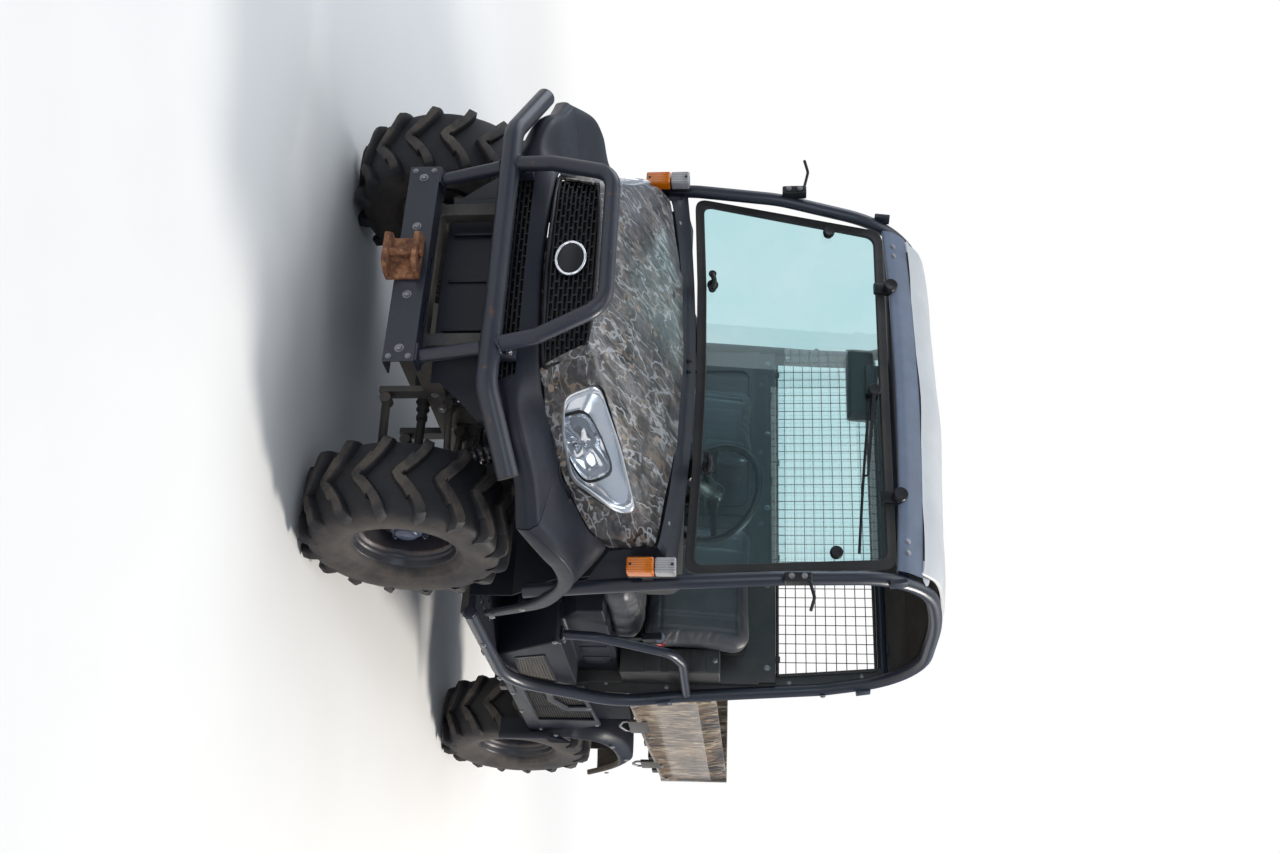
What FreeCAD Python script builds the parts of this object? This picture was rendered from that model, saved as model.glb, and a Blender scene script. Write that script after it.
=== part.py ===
"""Side by side utility vehicle with an open cab, a tipping cargo bed and a front brush guard.

All lengths are in millimetres. The model is drawn about the vehicle's own datum: X is 0 in the
middle and grows to the vehicle's left, Y is 0 at the front axle and grows to the rear, and Z is 0
on the ground. Every finished piece is then placed by front_axle_y, so that the whole vehicle
stands with its middle over the origin.
"""
import FreeCAD, Part
import math
import os
import re

from FreeCAD import Rotation, Vector

# Driving dimensions: name, value, meaning
SIZES = (
    ("wheelbase", 2010, "front axle to rear axle"),
    ("track", 1214, "between the middles of the tyres on one axle"),
    ("body_shift", 128, "middle of the whole vehicle to the middle of the wheelbase"),
    ("seat_gap", 0.3, "clearance between pieces that sit on each other"),
    ("running_gap", 6, "least clearance between pieces that move past each other"),
    ("tyre_radius", 313, "ground to wheel centre, to the tips of the lugs"),
    ("axle_height", 313, "wheel centres in the height that the vehicle is drawn at"),
    ("tyre_width", 254, "across the sidewalls"),
    ("lug_height", 22, "tread lug over the carcass"),
    ("lug_pitches", 16, "lug groups round the tyre"),
    ("lug_width", 30, "width of a tread bar"),
    ("tread_width", 230, "across the tips of the tread bars"),
    ("tyre_facets", 32, "flats round the carcass"),
    ("rim_radius", 152, "bead seat radius of the steel rim"),
    ("rim_width", 198, "across the rim flanges"),
    ("flange_height", 17, "rim flange over the bead seat"),
    ("rim_wall", 6, "thickness of the pressed rim"),
    ("disc_inset", 21, "rim disc inboard of the wheel's middle plane"),
    ("hub_cap_radius", 44, "centre cap on the rim disc"),
    ("hub_cap_length", 46, "centre cap standing out of the disc"),
    ("kingpin_x", 540, "steering axis from the middle plane"),
    ("ball_joint_span", 95, "ball joints over and under the wheel centre"),
    ("rail_x", 230, "middle of a chassis rail from the middle plane"),
    ("rail_width", 50, "chassis rail across"),
    ("rail_height", 60, "chassis rail upright"),
    ("rail_bottom", 352, "underside of the chassis rails"),
    ("rail_front_y", -400, "front end of the chassis rails"),
    ("rail_overhang", 205, "rear end of the chassis rails behind the rear axle"),
    ("engine_ahead", 720, "front of the engine ahead of the rear axle"),
    ("engine_length", 410, "engine and gearbox along the vehicle"),
    ("muffler_ahead", 220, "middle of the muffler ahead of the rear axle"),
    ("cross_height", 50, "cross member upright"),
    ("floor_top", 455, "cab floor"),
    ("floor_thickness", 24, "cab floor with its ribs"),
    ("floor_front_y", 388, "front edge of the flat floor"),
    ("floor_half_width", 744, "floor edge from the middle plane"),
    ("toe_half_width", 690, "toe board edge from the middle plane"),
    ("sheet_wall", 5, "wall of the moulded body panels"),
    ("cage_radius", 22, "outer radius of the roll cage tube"),
    ("sill_outset", 26, "middle of the sill tube outside the floor's edge"),
    ("sill_z", 452, "height of the sill tube"),
    ("cage_top_z", 1920, "highest point of the cage centre line"),
    ("cage_rear_y", 1216, "rear post of the cage"),
    ("roof_thickness", 16, "moulded roof panel"),
    ("glass_half_bottom", 702, "windshield half width at the bottom"),
    ("glass_half_top", 634, "windshield half width at the top"),
    ("glass_bottom_y", 178, "windshield bottom edge"),
    ("glass_bottom_z", 1124, "windshield bottom corner height"),
    ("glass_top_y", 298, "windshield top edge"),
    ("glass_top_z", 1765, "windshield top corner height"),
    ("glass_thickness", 6, "windshield glass"),
    ("glass_crown", 22, "arch of the windshield's bottom edge at the middle"),
    ("gasket_width", 30, "black border of the windshield"),
    ("guard_radius", 30, "main tube of the brush guard"),
    ("hoop_radius", 23, "hoop tube of the brush guard"),
    ("strut_radius", 20, "struts under the brush guard"),
    ("guard_y", -500, "main tube of the brush guard"),
    ("guard_z", 624, "height of the main tube"),
    ("hoop_top_z", 942, "centre line of the hoop's top"),
    ("carrier_half_width", 342, "guard carrier channel, half its length"),
    ("carrier_front_y", -466, "front face of the guard carrier"),
    ("carrier_bottom", 313, "underside of the guard carrier"),
    ("carrier_height", 91, "guard carrier upright"),
    ("carrier_depth", 66, "guard carrier flange depth"),
    ("carrier_wall", 6, "plate of the guard carrier"),
    ("jaw_width", 140, "tow jaw across"),
    ("jaw_pin_radius", 13, "hole of the tow jaw's pin"),
    ("jaw_length", 74, "tow jaw standing out of the carrier"),
    ("panel_wall", 4, "sheet steel of the bed and walls"),
    ("hood_wall", 7, "moulded hood shell"),
    ("moulding_bend", 24, "rounding between the faces of the moulded panels"),
    ("skirt_gap", 4, "seam between the front panel and a fender"),
    ("fender_leg", 366, "front face of the rear fender's leg ahead of the axle"),
    ("hood_pivot_y", -424, "hinge axis of the hood"),
    ("hood_pivot_z", 738, "height of the hood's hinge axis"),
    ("lamp_depth", 55, "headlamp housing under its lens"),
    ("lamp_proud", 5, "headlamp lens over the hood"),
    ("lamp_gap", 3, "gap between the headlamp and the hood"),
    ("grille_wall", 12, "upper grille panel"),
    ("slot_width", 42, "opening of the grille, across"),
    ("slot_height", 9, "opening of the grille, upright"),
    ("slot_pitch_x", 52, "grille openings, across"),
    ("slot_pitch_z", 17, "grille openings, upright"),
    ("badge_radius", 40, "plain badge on the grille"),
    ("bed_half_width", 745, "outside of the cargo bed"),
    ("bed_front_y", 1246, "outside of the bed's headboard"),
    ("bed_overhang", 325, "outside of the tailgate behind the rear axle"),
    ("bed_bottom", 850, "underside of the bed floor"),
    ("bed_floor_top", 890, "load floor of the bed"),
    ("bed_rail_z", 1176, "top of the bed sides"),
    ("bed_side_wall", 26, "folded side of the bed"),
    ("tailgate_wall", 30, "tailgate across its folded edges"),
    ("bed_pivot_setback", 190, "tipping axis of the bed behind the rear axle"),
    ("bed_pivot_z", 700, "height of the tipping axis"),
    ("pivot_pin_radius", 12, "pin of the tipping hinge"),
    ("seat_front_y", 545, "front of the seat cushions"),
    ("seat_top", 925, "top of the seat cushions"),
    ("cushion_thickness", 95, "seat cushion"),
    ("seat_rear_y", 1040, "rear of the backrests at their foot"),
    ("backrest_top", 1315, "top of the backrests"),
    ("backrest_wall", 90, "backrest cushion"),
    ("wall_front_y", 1178, "front of the cab's rear wall"),
    ("wall_top", 1392, "top of the rear wall"),
    ("screen_top", 1756, "top of the rear mesh screen"),
    ("mesh_pitch", 36, "between the wires of the rear screen"),
    ("mesh_wire", 3, "wire of the rear screen"),
    ("wheel_tilt", 28, "steering wheel plane from upright, in degrees"),
    ("steering_radius", 180, "outer radius of the steering wheel"),
    ("steering_x", 300, "steering wheel from the middle plane"),
    ("steering_y", 452, "steering wheel behind the front axle"),
    ("steering_z", 1200, "height of the steering wheel's middle"),
    ("grab_radius", 16, "tube of the grab bars"),
    ("hitch_width", 64, "rear receiver across"),
    ("hitch_bore", 51, "square opening of the rear receiver"),
    ("hitch_pin_radius", 8, "cross pin hole of the rear receiver"),
)

# Dimensions that follow from them: name, formula, meaning
DERIVED = (
    ("front_axle_y", "body_shift - wheelbase / 2", "front axle in the finished frame"),
    ("lift", "tyre_radius - axle_height", "what another tyre size raises everything by"),
    ("rail_rear_y", "wheelbase + rail_overhang", "rear end of the chassis rails"),
    ("sill_x", "floor_half_width + sill_outset", "cage tube along the sill"),
    ("bed_rear_y", "wheelbase + bed_overhang", "outside of the tailgate"),
    ("bed_pivot_y", "wheelbase + bed_pivot_setback", "tipping axis of the bed"),
)

doc = FreeCAD.newDocument("utility_vehicle")
sheet = doc.addObject("Spreadsheet::Sheet", "sizes")
for row, (alias, value, meaning) in enumerate(SIZES, start=1):
    sheet.set(f"A{row}", alias)
    sheet.set(f"B{row}", str(value))
    sheet.set(f"C{row}", meaning)
    sheet.setAlias(f"B{row}", alias)
for row, (alias, text, meaning) in enumerate(DERIVED, start=len(SIZES) + 1):
    sheet.set(f"A{row}", alias)
    sheet.set(f"B{row}", f"={text}")
    sheet.set(f"C{row}", meaning)
    sheet.setAlias(f"B{row}", alias)
doc.recompute()

ALIASES = {alias for alias, value, meaning in SIZES + DERIVED}
WORD = re.compile(r"[A-Za-z_]\w*")


class Values:
    """The sheet's values as plain numbers, for shapes worked out in this script."""

    def __getattr__(self, alias):
        return float(sheet.get(alias))


size = Values()
nodes = {}


def formula(text):
    """An expression in which each alias is read from the sheet."""
    return WORD.sub(lambda word: f"sizes.{word[0]}" if word[0] in ALIASES else word[0], str(text))


def bind(piece, **formulas):
    """Tie a piece's properties to the sheet."""
    for name, text in formulas.items():
        piece.setExpression(name.replace("_at_", "."), formula(text))
    return piece


def place(piece, x="0", y="0", z="0", turn=None):
    """Place a piece by three formulas and an optional rotation."""
    if turn is not None:
        piece.Placement = FreeCAD.Placement(Vector(), turn)
    for axis, text in zip("xyz", (x, y, z)):
        piece.setExpression(f"Placement.Base.{axis}", formula(text))
    return piece


def block(name, x, y, z):
    """A box whose sides are given as pairs of formulas, low and high."""
    box = doc.addObject("Part::Box", name)
    for side, (low, high) in zip(("Length", "Width", "Height"), (x, y, z)):
        box.setExpression(side, formula(f"({high}) - ({low})"))
    return place(box, x[0], y[0], z[0])


ALONG = {
    "x": Rotation(Vector(0, 1, 0), 90),
    "y": Rotation(Vector(1, 0, 0), -90),
    "z": Rotation(),
}


def rod(name, axis, span, radius, x="0", y="0", z="0"):
    """A round bar along an axis, from the low to the high formula of span."""
    bar = doc.addObject("Part::Cylinder", name)
    bind(bar, Radius=radius, Height=f"({span[1]}) - ({span[0]})")
    start = {"x": x, "y": y, "z": z}
    start[axis] = span[0]
    return place(bar, start["x"], start["y"], start["z"], ALONG[axis])


def straight(name, start, end, radius):
    """A round bar between two points."""
    bar = doc.addObject("Part::Cylinder", name)
    bind(bar, Radius=radius)
    run = end - start
    bar.Height = run.Length
    bar.Placement = FreeCAD.Placement(start, Rotation(Vector(0, 0, 1), run))
    return bar


def rounded_path(points, bend):
    """Straight runs through the points, joined by tangent arcs of at most the bend radius."""
    edges = []
    here = points[0]
    for before, corner, after in zip(points, points[1:], points[2:]):
        back = (before - corner).normalize()
        ahead = (after - corner).normalize()
        half_turn = (math.pi - back.getAngle(ahead)) / 2
        shorter = min((corner - before).Length, (after - corner).Length)
        reach = min(0.45 * shorter, bend * math.tan(half_turn))
        radius = reach / math.tan(half_turn)
        start = corner + back * reach
        end = corner + ahead * reach
        middle_way = (back + ahead).normalize()
        middle = corner + middle_way * (radius / math.cos(half_turn) - radius)
        edges.append(Part.LineSegment(here, start).toShape())
        edges.append(Part.Arc(start, middle, end).toShape())
        here = end
    edges.append(Part.LineSegment(here, points[-1]).toShape())
    return Part.Wire(edges)


def tube(name, points, radius, bend=60.0):
    """A bent tube: a circle swept along straight runs and tangent arcs."""
    path = doc.addObject("Part::Feature", f"{name}_path")
    path.Shape = rounded_path(points, bend)
    circle = doc.addObject("Part::Circle", f"{name}_section")
    bind(circle, Radius=radius)
    circle.Placement = FreeCAD.Placement(points[0], Rotation(Vector(0, 0, 1), points[1] - points[0]))
    sweep = doc.addObject("Part::Sweep", name)
    sweep.Sections = [circle]
    sweep.Spine = (path, [])
    sweep.Solid = True
    return sweep


def fuse(name, *pieces):
    """One solid of pieces that run into each other."""
    joined = doc.addObject("Part::MultiFuse", name)
    joined.Shapes = list(pieces)
    return joined


def cut(name, base, *tools):
    """The base with the tools taken out of it."""
    result = doc.addObject("Part::Cut", name)
    result.Base = base
    result.Tool = tools[0] if len(tools) == 1 else group(f"{name}_tools", *tools)
    return result


def common(name, first, second):
    """What two pieces share."""
    result = doc.addObject("Part::Common", name)
    result.Base = first
    result.Tool = second
    return result


def group(name, *pieces):
    """Separate solids that belong to one piece."""
    compound = doc.addObject("Part::Compound", name)
    compound.Links = list(pieces)
    return compound


def mirrored(name, piece):
    """The same piece on the vehicle's other side."""
    other = doc.addObject("Part::Mirroring", name)
    other.Source = piece
    other.Normal = Vector(1, 0, 0)
    return other


def both_sides(name, piece):
    """A piece and its mirror image as separate solids."""
    return group(name, piece, mirrored(f"{name}_right", piece))


def moved(name, piece, x="0", y="0", z="0", turn=None):
    """A copy of a piece at another place."""
    return place(group(name, piece), x, y, z, turn)


def node(name, *pieces):
    """A finished sub-part, placed in the frame of the whole vehicle."""
    part = group(f"{name}_placed", *pieces)
    part.Label = name
    place(part, y="front_axle_y", z="lift")
    nodes[name] = part
    return part


def polygon(name, points):
    """A closed outline through the points."""
    outline = doc.addObject("Part::Polygon", name)
    outline.Nodes = points
    outline.Close = True
    return outline


def loft(name, sections, ruled=True):
    """A solid through closed outlines."""
    solid = doc.addObject("Part::Loft", name)
    solid.Sections = sections
    solid.Solid = True
    solid.Ruled = ruled
    return solid


def offset_line(points, distance):
    """An open line of flat points moved to its right by a distance."""
    normals = []
    for (ax, ay), (bx, by) in zip(points, points[1:]):
        length = math.hypot(bx - ax, by - ay)
        normals.append(((by - ay) / length, -(bx - ax) / length))
    result = []
    for index, (px, py) in enumerate(points):
        nx1, ny1 = normals[max(index - 1, 0)]
        nx2, ny2 = normals[min(index, len(normals) - 1)]
        nx, ny = nx1 + nx2, ny1 + ny2
        scale = 2 / (nx * nx + ny * ny)
        result.append((px + nx * scale * distance, py + ny * scale * distance))
    return result


def strip(points, inside, outside=0.0):
    """A closed band along an open line, from outside on its left to inside on its right."""
    outer = offset_line(points, -outside) if outside else list(points)
    return outer + offset_line(points, inside)[::-1]


def rounded_band(points, bend):
    """The outline of a closed band whose long sides have rounded corners."""
    half = len(points) // 2
    outer, inner = points[:half], points[half:]
    edges = rounded_path(outer, bend).Edges
    edges.append(Part.LineSegment(outer[-1], inner[0]).toShape())
    edges.extend(rounded_path(inner, bend).Edges)
    edges.append(Part.LineSegment(inner[-1], outer[0]).toShape())
    return Part.Wire(edges)


def panel(name, stations, inside, outside=0.0, bend=0.0, ruled=True):
    """A thin wall lofted through stations of flat points, sharp or rounded at its corners.

    stations holds (plane, points); a plane turns a flat point into a vector.
    """
    sections = []
    for number, (plane, points) in enumerate(stations):
        band = [plane(a, b) for a, b in strip(points, inside, outside)]
        label = f"{name}_section_{number}"
        if bend:
            section = doc.addObject("Part::Feature", label)
            section.Shape = rounded_band(band, bend)
        else:
            section = polygon(label, band)
        sections.append(section)
    return loft(name, sections, ruled)


def at_y(where):
    """The plane that stands across the vehicle at a place along it."""
    return lambda a, b: Vector(a, where, b)


def at_x(where):
    """The plane that stands along the vehicle at a place across it."""
    return lambda a, b: Vector(where, a, b)


def upright(x, y, heading):
    """An upright plane that leaves a point outward, turned by the heading from straight ahead."""
    way = math.radians(heading)
    return lambda a, b: Vector(x + a * math.sin(way), y - a * math.cos(way), b)


def radial(angle, centre_y):
    """The plane through a wheel's axle at an angle up from level behind it: across, radius."""
    way = math.radians(angle)
    return lambda a, b: Vector(a, centre_y + b * math.cos(way), size.axle_height + b * math.sin(way))


def body(name):
    """A part design body."""
    return doc.addObject("PartDesign::Body", name)


def sketch(owner, name, plane, outlines, offset=None):
    """A sketch of closed outlines on one of the body's own planes.

    An outline is a list of (x, y) formulas, or ("circle", x, y, radius).
    """
    drawing = owner.newObject("Sketcher::SketchObject", name)
    role = [feature for feature in owner.Origin.OriginFeatures if feature.Role == plane]
    drawing.AttachmentSupport = [(role[0], "")]
    drawing.MapMode = "FlatFace"
    if offset is not None:
        drawing.setExpression("AttachmentOffset.Base.z", formula(offset))
    for outline in outlines:
        if outline[0] == "circle":
            add_circle(drawing, *outline[1:])
        else:
            add_outline(drawing, outline)
    return drawing


def number(text):
    """The value of a formula, as a start for the sketch solver."""
    return float(sheet.evalExpression(formula(text)))


def dimension(drawing, kind, elements, text):
    """A driving dimension with its formula."""
    import Sketcher
    value = number(text)
    index = drawing.addConstraint(Sketcher.Constraint(kind, *elements, value))
    drawing.setExpression(f"Constraints[{index}]", formula(text))


def add_outline(drawing, corners):
    """Straight lines round the corners, each corner tied to the origin."""
    import Sketcher
    first = drawing.GeometryCount
    points = [Vector(number(a), number(b), 0) for a, b in corners]
    count = len(points)
    for index in range(count):
        line = Part.LineSegment(points[index], points[(index + 1) % count])
        drawing.addGeometry(line, False)
    for index in range(count):
        following = first + (index + 1) % count
        drawing.addConstraint(Sketcher.Constraint("Coincident", first + index, 2, following, 1))
    for index, (a, b) in enumerate(corners):
        dimension(drawing, "DistanceX", (-1, 1, first + index, 1), a)
        dimension(drawing, "DistanceY", (-1, 1, first + index, 1), b)


def add_circle(drawing, x, y, radius):
    """A circle tied to the origin."""
    index = drawing.GeometryCount
    centre = Vector(number(x), number(y), 0)
    drawing.addGeometry(Part.Circle(centre, Vector(0, 0, 1), number(radius)), False)
    dimension(drawing, "DistanceX", (-1, 1, index, 3), x)
    dimension(drawing, "DistanceY", (-1, 1, index, 3), y)
    dimension(drawing, "Radius", (index,), radius)


def pad(owner, name, drawing, length, both=False, reverse=False):
    """A sketch given thickness."""
    feature = owner.newObject("PartDesign::Pad", name)
    feature.Profile = drawing
    feature.setExpression("Length", formula(length))
    feature.Midplane = both
    feature.Reversed = reverse
    owner.Tip = feature
    return feature


def pocket(owner, name, drawing, length=None, both=False, reverse=False):
    """A sketch cut out of the body, through everything where no length is given."""
    feature = owner.newObject("PartDesign::Pocket", name)
    feature.Profile = drawing
    if length is None:
        feature.Type = "ThroughAll"
    else:
        feature.setExpression("Length", formula(length))
    feature.Midplane = both
    feature.Reversed = reverse
    owner.Tip = feature
    return feature


def revolve(owner, name, drawing, axis="H_Axis"):
    """A sketch turned round one of its own axes."""
    feature = owner.newObject("PartDesign::Revolution", name)
    feature.Profile = drawing
    feature.ReferenceAxis = (drawing, [axis])
    feature.Angle = 360
    owner.Tip = feature
    return feature


def flat(name, plane, outline, length, offset="0", holes=()):
    """A body of one padded outline, the holes left out of it."""
    owner = body(name)
    drawing = sketch(owner, f"{name}_outline", plane, [outline, *holes], offset)
    pad(owner, f"{name}_pad", drawing, length)
    return owner


# The wheels

def faceted_ring(name, profile, facets):
    """A ring of flat facets round X: profile holds (across, radius) corners, all the way round it."""
    rings = []
    for across, radius in profile:
        ring = []
        for step in range(facets):
            way = 2 * math.pi * step / facets
            ring.append(Vector(across, radius * math.cos(way), radius * math.sin(way)))
        rings.append(ring)
    faces = []
    for ring, following in zip(rings, rings[1:] + rings[:1]):
        for step in range(facets):
            ahead = (step + 1) % facets
            corners = [ring[step], ring[ahead], following[ahead], following[step], ring[step]]
            faces.append(Part.Face(Part.makePolygon(corners)))
    solid = Part.Solid(Part.Shell(faces))
    if solid.Volume < 0:
        solid.reverse()
    piece = doc.addObject("Part::Feature", name)
    piece.Shape = solid
    return piece


def tyre_carcass():
    """A faceted ring: tread band, sidewalls and bead."""
    half = size.tyre_width / 2
    bead = size.rim_radius / math.cos(math.pi / size.tyre_facets)
    crown = size.tyre_radius - size.lug_height - 3
    side = [(size.rim_width / 2 - size.rim_wall - 9, bead), (half, bead + 86), (half - 12, crown)]
    profile = side + [(-across, radius) for across, radius in side[::-1]]
    return faceted_ring("tyre_carcass", profile, int(size.tyre_facets))


def tyre():
    """The carcass with its tread: two long bars and a small chevron in each pitch."""
    owner = body("tyre")
    owner.BaseFeature = tyre_carcass()
    pitch = 2 * math.pi * size.tyre_radius / size.lug_pitches
    bar_run = "lug_width * 2.2"
    outlines = []
    for side in ("", "-"):
        outlines.append([
            (f"{side}tread_width / 2", f"-{bar_run} / 2 - lug_width / 2"),
            (f"{side}tread_width / 2", f"lug_width / 2 - {bar_run} / 2"),
            (f"{side}tread_width * 0.07", f"{bar_run} / 2 + lug_width / 2"),
            (f"{side}tread_width * 0.07", f"{bar_run} / 2 - lug_width / 2"),
        ])
    chevron_y = f"lug_width / 2 + {bar_run} / 2 - {pitch:.1f} * 0.62"
    outlines.append([
        ("-tread_width * 0.17", chevron_y),
        ("0", f"{chevron_y} + lug_width * 0.8"),
        ("tread_width * 0.17", chevron_y),
        ("tread_width * 0.17", f"{chevron_y} - lug_width * 0.8"),
        ("0", chevron_y),
        ("-tread_width * 0.17", f"{chevron_y} - lug_width * 0.8"),
    ])
    drawing = sketch(owner, "lug_outline", "XY_Plane", outlines, "tyre_radius - lug_height - 16")
    lugs = pad(owner, "lugs", drawing, "lug_height + 16")
    ring = owner.newObject("PartDesign::PolarPattern", "tread")
    ring.Originals = [lugs]
    axis = [feature for feature in owner.Origin.OriginFeatures if feature.Role == "X_Axis"]
    ring.Axis = (axis[0], [""])
    ring.Angle = 360
    bind(ring, Occurrences="lug_pitches")
    owner.Tip = ring
    return owner


def rim():
    """A pressed steel rim, its disc set deep behind the outer flange, with a centre cap."""
    owner = body("rim")
    outer = "rim_radius + flange_height"
    inner = "rim_radius - rim_wall"
    half = "rim_width / 2"
    profile = [
        (f"-{half}", inner),
        (f"-{half}", outer),
        (f"rim_wall - {half}", outer),
        (f"rim_wall - {half}", "rim_radius - seat_gap"),
        (f"{half} - rim_wall", "rim_radius - seat_gap"),
        (f"{half} - rim_wall", outer),
        (half, outer),
        (half, inner),
        ("rim_wall - disc_inset", inner),
        ("rim_wall - disc_inset", "hub_cap_radius"),
        ("hub_cap_length - disc_inset", "hub_cap_radius * 0.8"),
        ("hub_cap_length - disc_inset", "0"),
        ("-disc_inset", "0"),
        ("-disc_inset", inner),
    ]
    drawing = sketch(owner, "rim_profile", "XZ_Plane", [profile])
    revolve(owner, "rim_turned", drawing)
    return owner


def build_wheels():
    """Four tyres and rims. The tread runs the same way round on all of them."""
    tyre_body = tyre()
    rim_body = rim()
    about = Rotation(Vector(0, 0, 1), 180)
    for end, y in (("front", "0"), ("rear", "wheelbase")):
        for side, sign, turn in (("left", "", None), ("right", "-", about)):
            label = f"{end}_{side}"
            x = f"{sign}track / 2"
            node(f"tyre_{label}", moved(f"tyre_{label}_copy", tyre_body, x, y, "axle_height"))
            node(f"rim_{label}", moved(f"rim_{label}_copy", rim_body, x, y, "axle_height", turn))


# Axles and suspension, drawn for the left of the front axle

HUB_FACE = "track / 2 - disc_inset - seat_gap"
RAIL_OUT = "rail_x + rail_width / 2"
RAIL_IN = "rail_x - rail_width / 2"
RAIL_TOP = "rail_bottom + rail_height"
AXLE_Z = "axle_height"
LOWER_BALL = "axle_height - ball_joint_span"
UPPER_BALL = "axle_height + ball_joint_span"
EYE_RADIUS = 17
SHAFT_BALL = 30
SHOCK_TOWER_Z = 668


def knuckle(label):
    """An upright between two ball joints, bored for the shaft, with the hub flange on it."""
    upright = block(
        f"{label}_upright",
        ("kingpin_x + 10", "kingpin_x + 30"),
        ("-30", "30"),
        (f"{LOWER_BALL} + 5", f"{UPPER_BALL} - 5"),
    )
    flange = rod(f"{label}_flange", "x", ("kingpin_x + 30", HUB_FACE), "58", z=AXLE_Z)
    lower_ear = rod(f"{label}_lower_ear", "z", (f"{LOWER_BALL} + 5", f"{LOWER_BALL} + 17"), "18",
                    x="kingpin_x")
    upper_ear = rod(f"{label}_upper_ear", "z", (f"{UPPER_BALL} - 17", f"{UPPER_BALL} - 5"), "18",
                    x="kingpin_x")
    bore = rod(f"{label}_bore", "x", ("kingpin_x - 40", "kingpin_x + 31"), f"{SHAFT_BALL} + 4",
               z=AXLE_Z)
    solid = fuse(f"{label}_solid", upright, flange, lower_ear, upper_ear)
    return cut(label, solid, bore)


def steering_arm():
    """The arm behind the knuckle with the outer end of its tie rod."""
    arm = block("steering_arm_bar", ("kingpin_x + 10", "kingpin_x + 24"), ("25", "112"),
                (f"{AXLE_Z} + 34", f"{AXLE_Z} + 46"))
    end = rod("steering_arm_rod", "x", ("kingpin_x - 60", "kingpin_x + 12"), "8", y="102",
              z=f"{AXLE_Z} + 40")
    return arm, end


def arm_pair(label):
    """The upper and lower wishbone of one corner."""
    pivot_x = size.rail_x + size.rail_width / 2 + size.seat_gap + EYE_RADIUS
    tip_x = size.kingpin_x - 14
    levels = (
        # level, pivot height, ball height, half spread of the pivots, tube
        ("lower", size.axle_height - 78, size.axle_height - size.ball_joint_span - 9, 130, "13"),
        ("upper", size.axle_height + 105, size.axle_height + size.ball_joint_span + 9, 90, "11"),
    )
    pieces = []
    for level, pivot_z, tip_z, spread, tube_radius in levels:
        parts = []
        for end, side in (("front", -1), ("rear", 1)):
            start = Vector(pivot_x, side * spread, pivot_z)
            finish = Vector(tip_x, side * 10, tip_z)
            parts.append(straight(f"{label}_{level}_{end}", start, finish, tube_radius))
            parts.append(rod(f"{label}_{level}_{end}_eye", "y", (side * spread - 20, side * spread + 20),
                             EYE_RADIUS, x=pivot_x, z=pivot_z))
        ball = LOWER_BALL if level == "lower" else UPPER_BALL
        span = (f"{ball} - 22", f"{ball} + 5 - seat_gap") if level == "lower" else (
            f"{ball} - 5 + seat_gap", f"{ball} + 22")
        parts.append(rod(f"{label}_{level}_tip", "z", span, "18", x="kingpin_x"))
        if level == "upper":
            parts.append(block(f"{label}_shock_seat", ("400", "440"), ("-60", "60"),
                               (f"{UPPER_BALL} + 4", f"{UPPER_BALL} + 18")))
        pieces.append(fuse(f"{label}_{level}", *parts))
    return pieces


def shock(label):
    """A shock absorber with its spring, between the upper wishbone and the shock tower."""
    owner = body(f"{label}_shock")
    foot = Vector(420, 0, size.axle_height + size.ball_joint_span + 18 + 5.2)
    head = Vector(340, 0, SHOCK_TOWER_Z - 8)
    reach = (head - foot).Length
    profile = [("0", "0"), ("0", "14"), ("24", "14"), ("24", "34"), (reach - 50, "34"), (reach - 50, "22"),
               (reach, "22"), (reach, "0")]
    drawing = sketch(owner, f"{label}_shock_profile", "XZ_Plane", [profile])
    revolve(owner, f"{label}_shock_turned", drawing)
    owner.Placement = FreeCAD.Placement(foot, Rotation(Vector(1, 0, 0), head - foot))
    return owner


def half_shaft(label, inner, outer):
    """A drive shaft with its rubber boots."""
    owner = body(label)
    profile = [
        (inner, "0"), (inner, "36"), (f"{inner} + 45", "36"), (f"{inner} + 60", "31"),
        ("270", "20"), ("284", "14"), (f"{outer} - 84", "14"), (f"{outer} - 76", "20"),
        (f"{outer} - 26", "27"), (f"{outer} - 12", "29"), (f"{outer} + 12", "27"),
        (f"{outer} + 24", "17"), (f"{outer} + 28", "0"),
    ]
    drawing = sketch(owner, f"{label}_profile", "XZ_Plane", [profile])
    revolve(owner, f"{label}_turned", drawing)
    return place(owner, z=AXLE_Z)


def build_suspension():
    """Wishbones, shock absorbers, shafts and the hub carriers of both axles."""
    front_knuckle = fuse("knuckle_left_solid", knuckle("front_upright"), *steering_arm())
    node("knuckle_left", front_knuckle)
    node("knuckle_right", mirrored("knuckle_right_solid", front_knuckle))
    arms = both_sides("arms", group("arms_left", *arm_pair("wishbone")))
    carriers = both_sides("carriers", knuckle("rear_carrier"))
    node("front_arms", arms)
    node("rear_arms", moved("rear_arms_copy", group("rear_corner", arms, carriers), y="wheelbase"))
    shocks = both_sides("shocks", shock("corner"))
    node("shock_absorbers", shocks, moved("rear_shocks", shocks, y="wheelbase"))
    shafts = both_sides("shafts", half_shaft("half_shaft", "95 + seat_gap", "kingpin_x"))
    node("half_shafts", shafts, moved("rear_shafts", shafts, y="wheelbase"))


# Chassis

CROSS_MEMBERS = (
    # name, place along the vehicle, measured from the front axle or the rear axle
    ("nose", "rail_front_y + 25"),
    ("front_axle", "0"),
    ("toe", "floor_front_y + 25"),
    ("seat", "wall_front_y - 40"),
    ("engine", "wheelbase - engine_ahead + 40"),
    ("gearbox", "wheelbase - engine_ahead + engine_length - 60"),
    ("rear_axle", "wheelbase"),
    ("tail", "rail_rear_y - 25"),
)


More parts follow.
